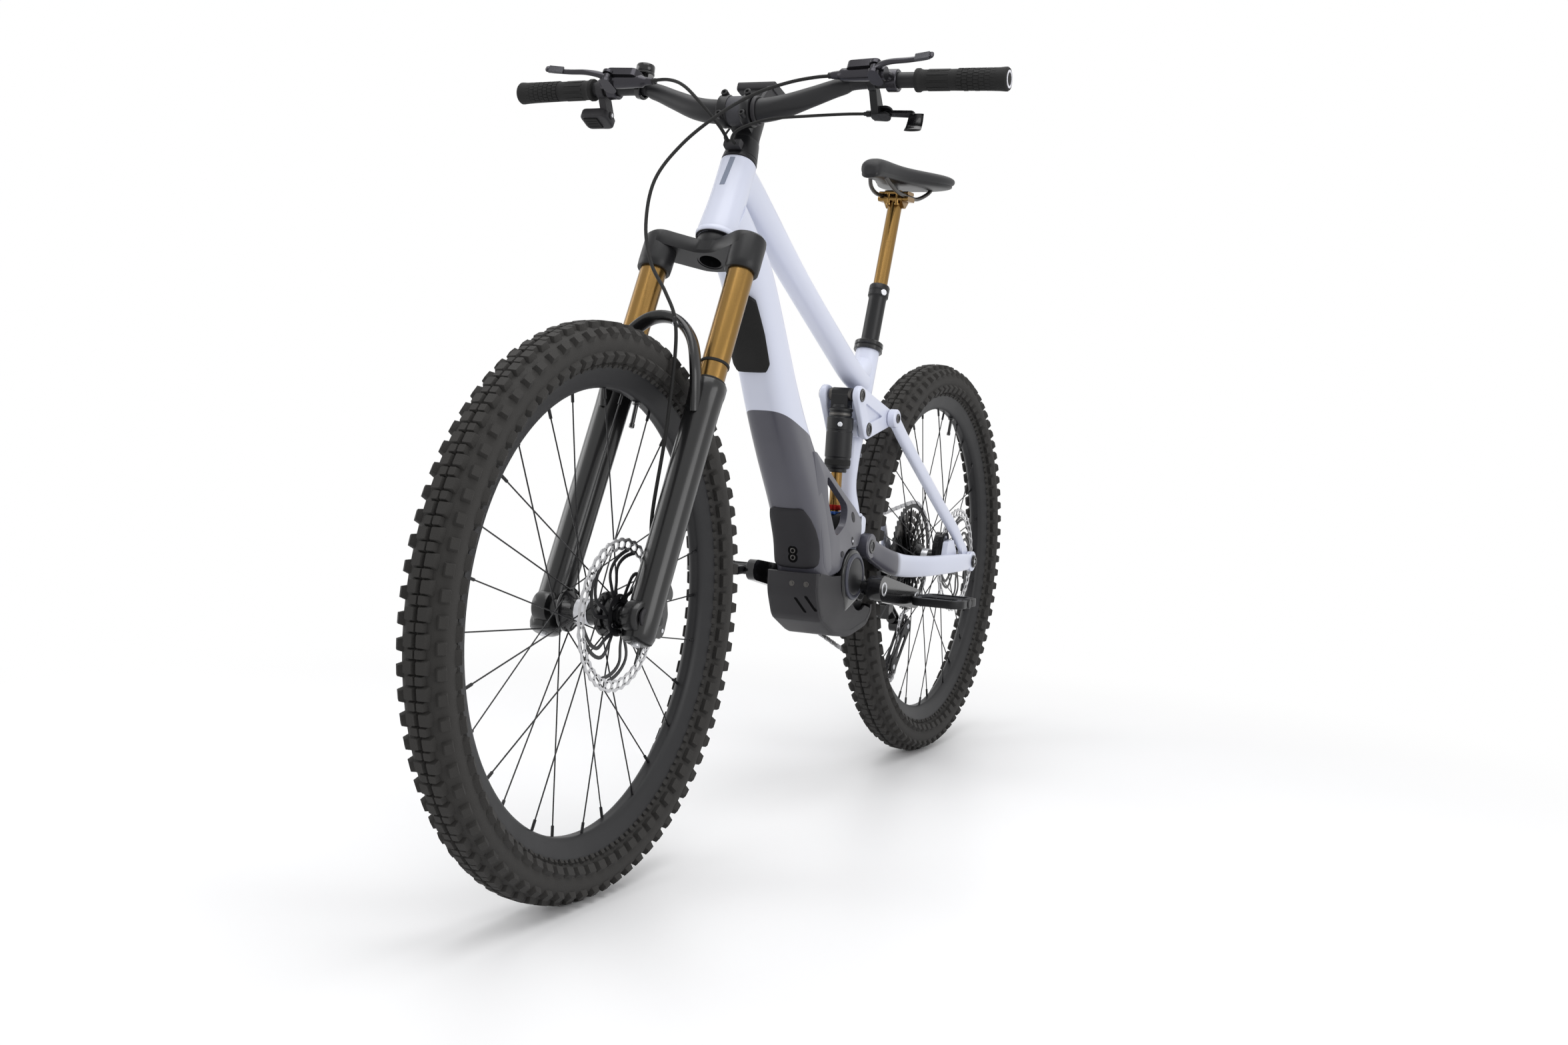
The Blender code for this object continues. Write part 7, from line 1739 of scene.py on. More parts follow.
@dataclass
class Cockpit:
    """Headset cover, stem, bar, grips, brake levers, shifter, remote, display, bell and cables."""

    bar: tuple = ((0.0, 0.042, 0.782, 0.0175), (0.036, 0.042, 0.782, 0.0175), (0.07, 0.0412, 0.789, 0.0165),
        (0.11, 0.0392, 0.806, 0.0142), (0.15, 0.0368, 0.824, 0.0124), (0.19, 0.035, 0.834, 0.0111),
        (0.392, 0.03, 0.834, 0.0111))
    clamp: tuple[float, float] = (0.042, 0.782)
    clamp_y: float = 0.226
    pivot: tuple[float, float] = (0.078, 0.214)
    remote_y: float = 0.196
    grip_length: float = 0.132

    def centre(self, y: float) -> tuple[float, float, float]:
        """Point of the bar's centre line, on either side."""
        stations = np.array(self.bar)
        return (float(np.interp(abs(y), stations[:, 0], stations[:, 1])), y,
            float(np.interp(abs(y), stations[:, 0], stations[:, 2])))

    def handed(self, side: int) -> Basis:
        """Steering frame, mirrored for the right side."""
        return Basis(STEER.origin, STEER.x, (0.0, float(side), 0.0), STEER.z)

    def ring(self, shell: Shell, y0: float, y1: float, radius: float, inner: float = 0.0112,
            finish: int = 0) -> None:
        """Add a clamp ring round the bar.

        Args:
            shell: Shell to add to.
            y0: One end's distance from the middle.
            y1: The other end's distance.
            radius: Outer radius.
            inner: Inner radius.
            finish: Number of the finish.
        """
        start, stop = np.array(self.centre(y0)), np.array(self.centre(y1))
        length = float(np.linalg.norm(stop - start))
        shell.turned([(inner, 0), (radius - 0.001, 0), (radius, 0.001), (radius, length - 0.001),
            (radius - 0.001, length), (inner, length)], 40, finish, at=start, axis=stop - start)

    def stem(self) -> None:
        """Turn the cover and the stem's bands, and put the top cap, bolts and middle plate on."""
        cover = Shell(STEER).turned([(0.0148, 0.7204), (0.0262, 0.7204), (0.0264, 0.7225), (0.0256, 0.727),
            (0.0252, 0.7272), (0.0252, 0.7282), (0.0256, 0.7284), (0.0222, 0.753), (0.0214, 0.7566),
            (0.0148, 0.7566)], 64)
        shaped("headset_cone", cover, "satin_black", "headset_cover")
        x, z = self.clamp
        shell = Shell(STEER)
        shell.turned([(0.0146, 0.7572), (0.02, 0.7572), (0.0204, 0.76), (0.0198, 0.766), (0.0198, 0.796),
            (0.0186, 0.7995), (0.0146, 0.7995)], 56)
        shell.turned([(0, 0.799), (0.0165, 0.799), (0.017, 0.801), (0.0165, 0.804), (0.0125, 0.8056),
            (0.0045, 0.8056), (0.004, 0.804), (0, 0.804)], 48)
        shell.turned([(0, 0.803), (0.0034, 0.803), (0.0034, 0.8052), (0, 0.8052)], 6, 2)
        shell.plate(filleted([(-0.004, 0.7625), (0.034, 0.764), (0.034, 0.8), (-0.004, 0.7965)], 0.003, 3),
            -0.015, 0.015)
        for side in (-1, 1):
            y = [side * v for v in (0.0105, 0.011, 0.0135, 0.0215, 0.025, 0.0262, 0.0262)]
            shell.spun([(0.0178, y[0]), (0.0222, y[1]), (0.0238, y[2]), (0.0244, y[3]), (0.0236, y[4]),
                (0.0212, y[5]), (0.0178, y[6])], self.clamp, 72)
            for lift in (-1, 1):
                spot = np.array([x + 0.012, side * 0.0185, z + lift * 0.018])
                shell.rod(spot, spot + [0.0108, 0, 0], 0.0052, 24, 0.001)
                # The hexagon on each bolt is a near-black cap: painted shade of its socket.
                shell.rod(spot + [0.01, 0, 0], spot + [0.0111, 0, 0], 0.0026, 6, finish=3)
        shell.band(self.clamp, -0.0112, 0.0112, 0.0178, 0.0214, 72, 1)
        shaped("stem_forged", shell, "satin_black knurled dark_steel pit", "stem", bevel=0.0006, sharp=40)

    def handlebar(self) -> None:
        """Sweep the bar, thick at the stem and slim at the grips, then turn both grips."""
        half = np.array(self.bar)
        whole = np.vstack([(half * [-1, 1, 1, 1])[:0:-1], half])
        route = smooth_route(whole, 10)
        path = route[:, [1, 0, 2]]
        shell = Shell(STEER).tube(path, np.minimum(route[:, 3], 0.0175), 40, up=(0, 0, 1))
        shaped("riser_bar", shell, "carbon", "handlebar")
        for side, name in ((1, "left"), (-1, "right")):
            start, stop = self.centre(side * 0.26), self.centre(side * 0.392)
            basis = ride_basis(start, stop)
            grip = Shell(basis)
            length = self.grip_length
            grip.turned([(0, 0.0006), (0.0112, 0.0004), (0.016, 0.0004), (0.0166, 0.0018), (0.0166, 0.006),
                (0.0154, 0.0076), (0.0146, 0.011), (0.0144, 0.03), (0.015, 0.07), (0.0154, 0.105),
                (0.016, 0.122), (0.0166, 0.129), (0.0166, length), (0.015, length + 0.0022),
                (0, length + 0.0024)], 56)
            grip.turned([(0.0092, length + 0.0018), (0.0124, length + 0.0018), (0.0124, length + 0.0028),
                (0.0092, length + 0.0028)], 56, 1)
            brick = Shell().plate(filleted([(-0.0034, -0.0022), (0.0034, -0.0022), (0.0034, 0.0022),
                (-0.0034, 0.0022)], 0.0008, 2), 0.0138, 0.0158, plane="zy")
            angles, shifts = np.meshgrid(np.radians(np.arange(-96, 97, 19.2)), np.arange(0.066, 0.12, 0.0082))
            angles = angles + (np.arange(angles.shape[0]) % 2)[:, None] * np.radians(9.6)
            grip.copies(brick, rounds(angles.ravel(), shifts.ravel()))
            rib = Shell().plate(filleted([(-0.0022, -0.016), (0.0022, -0.016), (0.0022, 0.016),
                (-0.0022, 0.016)], 0.0016, 3)[:, ::-1], 0.0132, 0.015, plane="zy")
            spots = np.radians(np.arange(0, 360, 30))
            grip.copies(rib, rounds(spots, np.full(len(spots), 0.034)))
            shaped("grip_ribbed_" + name, grip, "rubber pale_grey", "grip_" + name)

    def brakes(self) -> None:
        """Cast each master cylinder with its reservoir and clamp, and forge its lever."""
        px, py = self.pivot
        for side, name in ((1, "left"), (-1, "right")):
            shell = Shell(self.handed(side))
            self.ring(shell, self.clamp_y - 0.008, self.clamp_y + 0.008, 0.016)
            shell.rod((0.04, 0.226, 0.833), (0.064, 0.219, 0.8245), 0.0078, 24, 0.001)
            shell.tube(smooth_route([(0.0625, 0.144, 0.8242), (0.0628, 0.156, 0.8241), (0.064, 0.185, 0.8235),
                (0.0655, 0.215, 0.8225), (0.066, 0.228, 0.822)], 5), np.interp(np.arange(21),
                [0, 5, 6, 14, 20], [0.005, 0.0062, 0.0092, 0.0105, 0.0098]), 32)
            shell.rod((0.0622, 0.1385, 0.8243), (0.0626, 0.156, 0.8241), 0.0044, 20, 0.0006, 1)
            shell.plate(filleted([(0.0555, 0.164), (0.077, 0.17), (0.08, 0.218), (0.056, 0.22)], 0.007, 5),
                0.8265, 0.8385, plane="xy")
            shell.plate(filleted([(0.058, 0.1675), (0.0745, 0.1725), (0.0775, 0.2155), (0.0585, 0.217)],
                0.006, 5), 0.838, 0.8402, 1, "xy")
            for y in (0.176, 0.21):
                shell.post((0.0672, y), 0.8395, 0.8412, 0.0024, 16, 0.0003, 2)
            lug = hull([((px, py), 0.0085), ((0.062, py), 0.01)], 36)
            shell.plate(lug, 0.8118, 0.8168, plane="xy")
            shell.plate(lug, 0.827, 0.8318, plane="xy")
            shell.post((px, py), 0.831, 0.8328, 0.0044, 24, 0.0004, 2)
            shaped("brake_cylinder_" + name, shell, "gunmetal satin_black silver", "brake_body_" + name,
                bevel=0.0008, sharp=38)
            blade = Shell(self.handed(side))
            blade.post((px, py), 0.818, 0.826, 0.0062, 28, 0.0005)
            blade.post((px, py), 0.8125, 0.8315, 0.003, 20)
            path = smooth_route([(px, py, 0.822), (0.0862, 0.227, 0.822), (0.0915, 0.245, 0.822),
                (0.093, 0.27, 0.8222), (0.0965, 0.295, 0.8226), (0.101, 0.3045, 0.8228),
                (0.103, 0.306, 0.8228)], 6)
            thick = np.interp(np.linspace(0, 1, len(path)), [0, 0.3, 0.6, 0.85, 1],
                [0.005, 0.004, 0.0036, 0.0044, 0.003])
            blade.tube(path, thick, 20, flat=(0.75, 1.15), up=(0, 0, 1))
            tip = filleted([(0.095, 0.28), (0.099, 0.279), (0.1035, 0.302), (0.0985, 0.3035)], 0.0015, 3)
            blade.plate(tip, 0.8176, 0.8276, 1, "xy")
            shaped("brake_blade_" + name, blade, "gunmetal knurled", "brake_lever_" + name, bevel=0.0004)

    def shifter(self) -> None:
        """Make the shifter's pod on its bracket, and its button in the well."""
        shell = Shell(STEER)
        self.ring(shell, -0.24, -0.252, 0.015)
        arm = [(0.026, 0.833), (0.014, 0.83), (-0.005, 0.814), (-0.007, 0.8), (0.006, 0.799), (0.015, 0.806),
            (0.036, 0.823)]
        shell.plate(filleted(arm, 0.006, 4), -0.2516, -0.2404)
        shell.disc((0.004, 0.808), -0.2402, -0.2372, 0.0062, 28, 0.0006)
        shell.disc((0.004, 0.808), -0.2374, -0.2366, 0.0034, 6, finish=1)
        outline = [(-0.016, -0.286), (0.02, -0.286), (0.02, -0.239), (-0.016, -0.239)]
        well = [(-0.01, -0.28), (0.014, -0.28), (0.014, -0.256), (-0.01, -0.256)]
        middle = (0.002, -0.268)
        shell.collar(rayed(filleted(outline, 0.01, 5), middle, 72), rayed(well, middle, 72), 0.7968, 0.812,
            0.0036, steps=4)
        shell.plate(filleted([(-0.014, -0.284), (0.018, -0.284), (0.018, -0.241), (-0.014, -0.241)], 0.009,
            5), 0.8025, 0.8118, plane="xy")
        shaped("shifter_case", shell, "plastic silver", "shifter_pod", bevel=0.0006)
        button = Shell(STEER).plate(filleted([(-0.0097, -0.2797), (0.0137, -0.2797), (0.0137, -0.2563),
            (-0.0097, -0.2563)], 0.003, 3), 0.7945, 0.7988, plane="xy")
        for x in (-0.004, 0.002, 0.008):
            button.disc((x, 0.7945), -0.277, -0.259, 0.0008, 10)
        shaped("shifter_plate", button, "rubber", "shifter_button", bevel=0.0006)

    def remote(self) -> None:
        """Make the seat post's remote: clamp, slotted plate, cable barrel and thumb paddle."""
        y = self.remote_y
        shell = Shell(STEER)
        self.ring(shell, y - 0.006, y + 0.006, 0.015)
        arm = [(0.024, 0.832), (0.01, 0.826), (-0.013, 0.813), (-0.013, 0.7985), (0.005, 0.7985),
            (0.034, 0.823)]
        shell.plate(filleted(arm, 0.005, 4), y - 0.0056, y + 0.0056)
        shell.disc((0.015, 0.815), y - 0.0068, y - 0.005, 0.004, 6, finish=1)
        shell.tube([(-0.003, y - 0.021, 0.806), (-0.003, y - 0.017, 0.806), (-0.003, y - 0.0165, 0.806),
            (-0.003, y - 0.01, 0.806), (-0.003, y - 0.0095, 0.806), (-0.003, y + 0.002, 0.806)],
            np.array([0.0028, 0.0034, 0.0046, 0.0046, 0.0036, 0.0036]), 20, up=(0, 0, 1))
        spot = (-0.003, y + 0.012)
        lug = hull([(spot, 0.0095), ((-0.003, y), 0.008)], 36)
        shell.plate(lug, 0.7988, 0.8022, plane="xy")
        shell.plate(lug, 0.8098, 0.813, plane="xy")
        shell.post(spot, 0.8122, 0.8144, 0.005, 24, 0.0005, 1)
        shaped("remote_bracket", shell, "satin_black silver", "dropper_remote", bevel=0.0005)
        paddle = Shell(STEER)
        paddle.post(spot, 0.803, 0.809, 0.0055, 24, 0.0004)
        paddle.post(spot, 0.7995, 0.8125, 0.0025, 20)
        paddle.plate(hull([((-0.003, y + 0.0125), 0.0045), ((-0.006, 0.246), 0.0055)], 32), 0.8034, 0.8086,
            plane="xy")
        thumb = smooth_route([(-0.0085, 0.253, 0.808), (-0.01, 0.253, 0.798), (-0.01, 0.253, 0.788),
            (-0.0075, 0.253, 0.7795)], 6)
        paddle.tube(thumb, np.linspace(0.0112, 0.013, len(thumb)), 28, flat=(1.0, 0.16), up=(1, 0, 0))
        shaped("remote_thumb", paddle, "gloss", "remote_paddle", bevel=0.0005)

    def display(self) -> None:
        """Make the trip computer with its dark screen, on its ring and arm."""
        shell = Shell(STEER)
        shell.spun([(0.0177, 0.0276), (0.0205, 0.0276), (0.021, 0.029), (0.021, 0.033), (0.0205, 0.0344),
            (0.0177, 0.0344)], self.clamp, 64)
        arm = [(0.046, 0.796), (0.032, 0.796), (0.004, 0.834), (0.012, 0.842), (0.03, 0.836)]
        shell.plate(filleted(arm, 0.005, 4), 0.0278, 0.0342)
        shell.plate(filleted([(-0.034, 0.841), (0.026, 0.832), (0.028, 0.846), (-0.032, 0.8562)], 0.005, 4),
            -0.024, 0.036)
        shell.plate(np.array([(-0.0285, 0.853), (0.0245, 0.8445), (0.0247, 0.847), (-0.0283, 0.8558)]), -0.02,
            0.032, 1)
        shaped("trip_display", shell, "plastic gloss", "display", bevel=0.0022, sharp=40)

    def bell(self) -> None:
        """Turn the bell's cap and its ringed stalk on a band."""
        shell = Shell(STEER)
        self.ring(shell, -0.171, -0.181, 0.015, 0.0116)
        foot = np.array(self.centre(-0.176)) + [0.002, 0, 0.01]
        axis = (0.3, 0, 1)
        shell.turned([(0, 0), (0.0058, 0), (0.0052, 0.005), (0.0064, 0.006), (0.0064, 0.0078),
            (0.0052, 0.0088), (0.0052, 0.012), (0, 0.012)], 36, at=foot, axis=axis)
        shell.turned([(0, 0.0118), (0.0138, 0.0118), (0.0146, 0.0128), (0.0146, 0.015), (0.0138, 0.016),
            (0.0134, 0.0165), (0.014, 0.0175), (0.014, 0.0255), (0.013, 0.0276), (0.0108, 0.0286),
            (0, 0.029)], 64, at=foot, axis=axis)
        shaped("bell_cap", shell, "gloss", "bell")

    def lines(self) -> None:
        """Run the hoses, the cable and the lead along their curves, with their port on the cover."""
        shell = Shell(STEER)
        shell.plate(filleted([(0.0245, 0.7265), (0.0365, 0.7275), (0.0365, 0.739), (0.0235, 0.74)], 0.003, 3),
            -0.0125, 0.0125, 1)
        hose = [(0.064, -0.149, 0.824), (0.074, -0.11, 0.817), (0.083, -0.075, 0.798), (0.08, -0.04, 0.768),
            (0.058, -0.012, 0.743), (0.032, -0.006, 0.734)]
        cable = [(-0.003, 0.175, 0.806), (0.008, 0.15, 0.798), (0.035, 0.11, 0.776), (0.062, 0.065, 0.752),
            (0.068, 0.028, 0.733), (0.052, 0.008, 0.729), (0.033, 0.005, 0.731)]
        lead = [(-0.008, -0.0275, 0.84), (-0.009, -0.03, 0.815), (0.002, -0.03, 0.784),
            (0.018, -0.025, 0.756), (0.031, -0.0095, 0.7345)]
        for route, radius in ((hose, 0.0025), (cable, 0.0022), (lead, 0.0016)):
            shell.tube(smooth_route(route, 8), radius, 16)
        shaped("cable_run", shell, "rubber plastic", "control_cables")
        route = [(0.062, 0.149, 0.824), (0.066, 0.12, 0.819), (0.074, 0.085, 0.805), (0.086, 0.045, 0.778),
            (0.098, 0.005, 0.735), (0.105, -0.035, 0.68), (0.106, -0.06, 0.62), (0.102, -0.055, 0.55),
            (0.1, -0.03, 0.49), (0.099, 0.005, 0.445), (0.096, 0.03, 0.405), (0.084, 0.04, 0.35),
            (0.056, 0.042, 0.25), (0.03, 0.042, 0.14), (-0.002, 0.0455, 0.095), (-0.024, 0.048, 0.066)]
        shaped("front_hose_run", Shell(STEER).tube(smooth_route(route, 8), 0.0025, 16), "rubber",
            "front_brake_hose")

    def build(self) -> None:
        """Make the cockpit's pieces."""
        self.stem()
        self.handlebar()
        self.brakes()
        self.shifter()
        self.remote()
        self.display()
        self.bell()
        self.lines()


# Seat post and saddle

@dataclass
class SeatPost:
    """Dropper post with its clamp, and the saddle on its rails."""

    exposed: float = 0.084
    collar: float = 0.022
    head: float = 0.272
    rail_level: float = 1.035
    stations: tuple = ((-0.2262, 1.0632, 0.002, 0.002), (-0.2268, 1.0634, 0.0105, 0.0085),
        (-0.233, 1.066, 0.0172, 0.0132), (-0.248, 1.069, 0.02, 0.0158), (-0.27, 1.07, 0.0218, 0.0165),
        (-0.3, 1.0702, 0.0252, 0.016), (-0.33, 1.07, 0.0318, 0.0155), (-0.36, 1.0703, 0.042, 0.0152),
        (-0.39, 1.071, 0.0545, 0.015), (-0.42, 1.0718, 0.0655, 0.015), (-0.446, 1.0728, 0.0705, 0.0149),
        (-0.466, 1.0737, 0.0702, 0.0142), (-0.478, 1.0744, 0.066, 0.0122), (-0.484, 1.0749, 0.056, 0.0085),
        (-0.4862, 1.0751, 0.03, 0.003))

    def at(self, along: float) -> tuple[float, float]:
        """Point of the post's axis in the bike's plane."""
        x, _, z = POST.place(np.array([[0.0, 0.0, along]]))[0]
        return float(x), float(z)

    def outer(self) -> None:
        """Turn the double-ring clamp, the outer tube and its collar with a round button."""
        ring = Shell(POST)
        for low in (-0.0178, -0.009):
            ring.turned([(0.0207, low), (0.024, low), (0.025, low + 0.001), (0.025, low + 0.0062),
                (0.024, low + 0.0072), (0.0207, low + 0.0072)], 64)
        ring.turned([(0.0207, -0.011), (0.0232, -0.011), (0.0232, -0.0086), (0.0207, -0.0086)], 64, 1)
        shaped("seat_clamp_rings", ring, "gloss satin_black", "seat_clamp")
        shell = Shell(POST)
        top = self.exposed + self.collar
        shell.turned([(0.0127, -0.128), (0.0155, -0.128), (0.0155, self.exposed - 0.004),
            (0.0168, self.exposed), (0.018, self.exposed + 0.0012), (0.018, self.exposed + 0.009),
            (0.0172, self.exposed + 0.0098), (0.0172, self.exposed + 0.0112), (0.018, self.exposed + 0.012),
            (0.018, top - 0.003), (0.0168, top - 0.0004), (0.014, top), (0.0127, top)], 64)
        turn = math.radians(52)
        way = np.array([math.cos(turn), math.sin(turn), 0.0])
        middle = np.array([0, 0, self.exposed + 0.006])
        shell.rod(middle + way * 0.016, middle + way * 0.019, 0.0056, 32, 0.0006, 1)
        shaped("post_sleeve", shell, "satin_black silver", "dropper_outer")

    def inner(self) -> None:
        """Turn the sliding post, and forge the cradle and clamp round the rails."""
        shell = Shell(POST).post((0, 0), self.exposed - 0.03, self.head - 0.006, 0.0125, 56, 0.0006)
        x, _ = self.at(self.head)
        z = self.rail_level
        world = Shell()
        cradle = hull([((x - 0.014, z - 0.006), 0.005), ((x + 0.014, z - 0.006), 0.005),
            ((x, z - 0.015), 0.007)], 40)
        world.plate(cradle, -0.0175, 0.0175)
        for side in (-1, 1):
            for half, drop, radius, near, far in ((0.013, -0.006, 0.0042, 0.0175, 0.0285),
                    (0.012, 0.004, 0.0032, 0.015, 0.0275)):
                jaw = hull([((x - half, z + drop), radius), ((x + half, z + drop), radius)], 32)
                world.plate(jaw, side * near, side * far)
            for ahead in (-1, 1):
                world.post((x + ahead * 0.0165, side * 0.008), z - 0.016, z + 0.0075, 0.003, 20, 0.0004)
                world.post((x + ahead * 0.0165, side * 0.008), z - 0.0175, z - 0.014, 0.0048, 24, 0.0005)
        for ahead in (-1, 1):
            ends = [((x + ahead * reach, z + 0.005), 0.0036) for reach in (0.0165, 0.012)]
            world.plate(hull(ends, 28), -0.015, 0.015)
        shaped("post_slider", shell.merge(world), "gold", "dropper_inner", bevel=0.0006)

    def saddle(self) -> None:
        """Shape the padded top over its base, and bend both rails.

        Each ring is a superellipse whose upper half is flattened, with a shallow valley along its middle
        toward the tail.
        """
        s = smooth_route(self.stations, 5)
        s[:, 2:] = np.maximum(s[:, 2:], 0.0012)
        e = superellipse(s[:, 2], s[:, 3], 2.5, 56)
        across = e[..., 0] / s[:, None, 2]
        valley = np.clip((-0.28 - s[:, :1]) / 0.12, 0, 1) * 0.0028 * np.exp(-(across / 0.3) ** 2)
        up = np.where(e[..., 1] > 0, e[..., 1] - valley, e[..., 1])
        rings = np.stack([np.broadcast_to(s[:, :1], e.shape[:2]), e[..., 0], s[:, 1:2] + up], -1)
        shell = Shell().grid(rings)
        foot = np.stack([np.broadcast_to(s[6:-6, :1], e[6:-6].shape[:2]), e[6:-6, :, 0] * 0.93, s[6:-6, 1:2]
            - 0.0085 + e[6:-6, :, 1] * 0.62], -1)
        shell.grid(foot, finish=1)
        for side in (-1, 1):
            route = [(-0.262, 0.012, 0.027), (-0.285, 0.019, 0.009), (-0.318, 0.022, 0.0),
                (-0.36, 0.022, 0.0), (-0.404, 0.022, 0.0), (-0.436, 0.03, 0.013), (-0.452, 0.036, 0.029)]
            shell.tube(smooth_route([(x, side * y, self.rail_level + z) for x, y, z in route], 6), 0.0035, 20,
                finish=2)
        piece = shaped("saddle_padded", shell, "saddle_cover satin_black dark_steel", "saddle", sharp=60)

    def build(self) -> None:
        """Make the post's and the saddle's pieces."""
        self.outer()
        self.inner()
        self.saddle()


# Drivetrain

PITCH = 0.0127
TOOTH_STEPS = 8


def pitch_radius(teeth: int) -> float:
    """Radius of a chain's pitch line on a sprocket: half the pitch over the sine of pi over the teeth."""
    return PITCH / (2 * math.sin(math.pi / teeth))


def toothed(centre: Point, teeth: int, radius: float, height: float, steepness: float) -> Array:
    """Toothed outline: a radius plus a cosine wave of the height, with its peaks and valleys cut flat.

    Args:
        centre: Middle of the outline.
        teeth: Number of waves.
        radius: Radius halfway up a tooth.
        height: Half of a tooth's height.
        steepness: Factor of the wave before it is cut.

    Returns:
        Points of the outline.
    """
    a = TAU * np.arange(teeth * TOOTH_STEPS) / (teeth * TOOTH_STEPS)
    r = radius + height * np.clip(np.cos(teeth * a) * steepness, -1, 1)
    return np.asarray(centre) + np.stack([np.cos(a), np.sin(a)], -1) * r[:, None]


def sprocket(centre: Point, teeth: int) -> Array:
    """Outline of a sprocket for the chain."""
    return toothed(centre, teeth, pitch_radius(teeth) - 0.0012, 0.0026, 1.35)


def belt(wheels: Sequence[tuple[Point, float, float, int]]) -> Array:
    """Closed run of points round wheels, joined by their common tangents.

    A tangent's heading is the line between two centres turned by the arc sine of the difference of
    the signed radii over their distance.

    Args:
        wheels: Centre, y, radius and turn of each wheel; a turn of one is anticlockwise.

    Returns:
        Points of the run, a few millimetres apart at most on the wheels.
    """
    spans = []
    for (a, _, r0, s0), (b, _, r1, s1) in zip(wheels, wheels[1:] + wheels[:1]):
        run = math.hypot(b[0] - a[0], b[1] - a[1])
        spans.append(math.atan2(b[1] - a[1], b[0] - a[0]) + math.asin((r0 * s0 - r1 * s1) / run)
            - math.pi / 2)
    parts = []
    for i, (centre, y, radius, turn) in enumerate(wheels):
        first, last = spans[i - 1], spans[i]
        if turn < 0:
            first, last = first + math.pi, last + math.pi
        sweep = ((last - first) * turn) % TAU
        a = first + turn * np.linspace(0, sweep, max(3, int(radius * sweep / 0.003)))
        parts.append(np.stack([centre[0] + radius * np.cos(a), np.full(len(a), y), centre[1] + radius
            * np.sin(a)], -1))
    return np.vstack(parts)


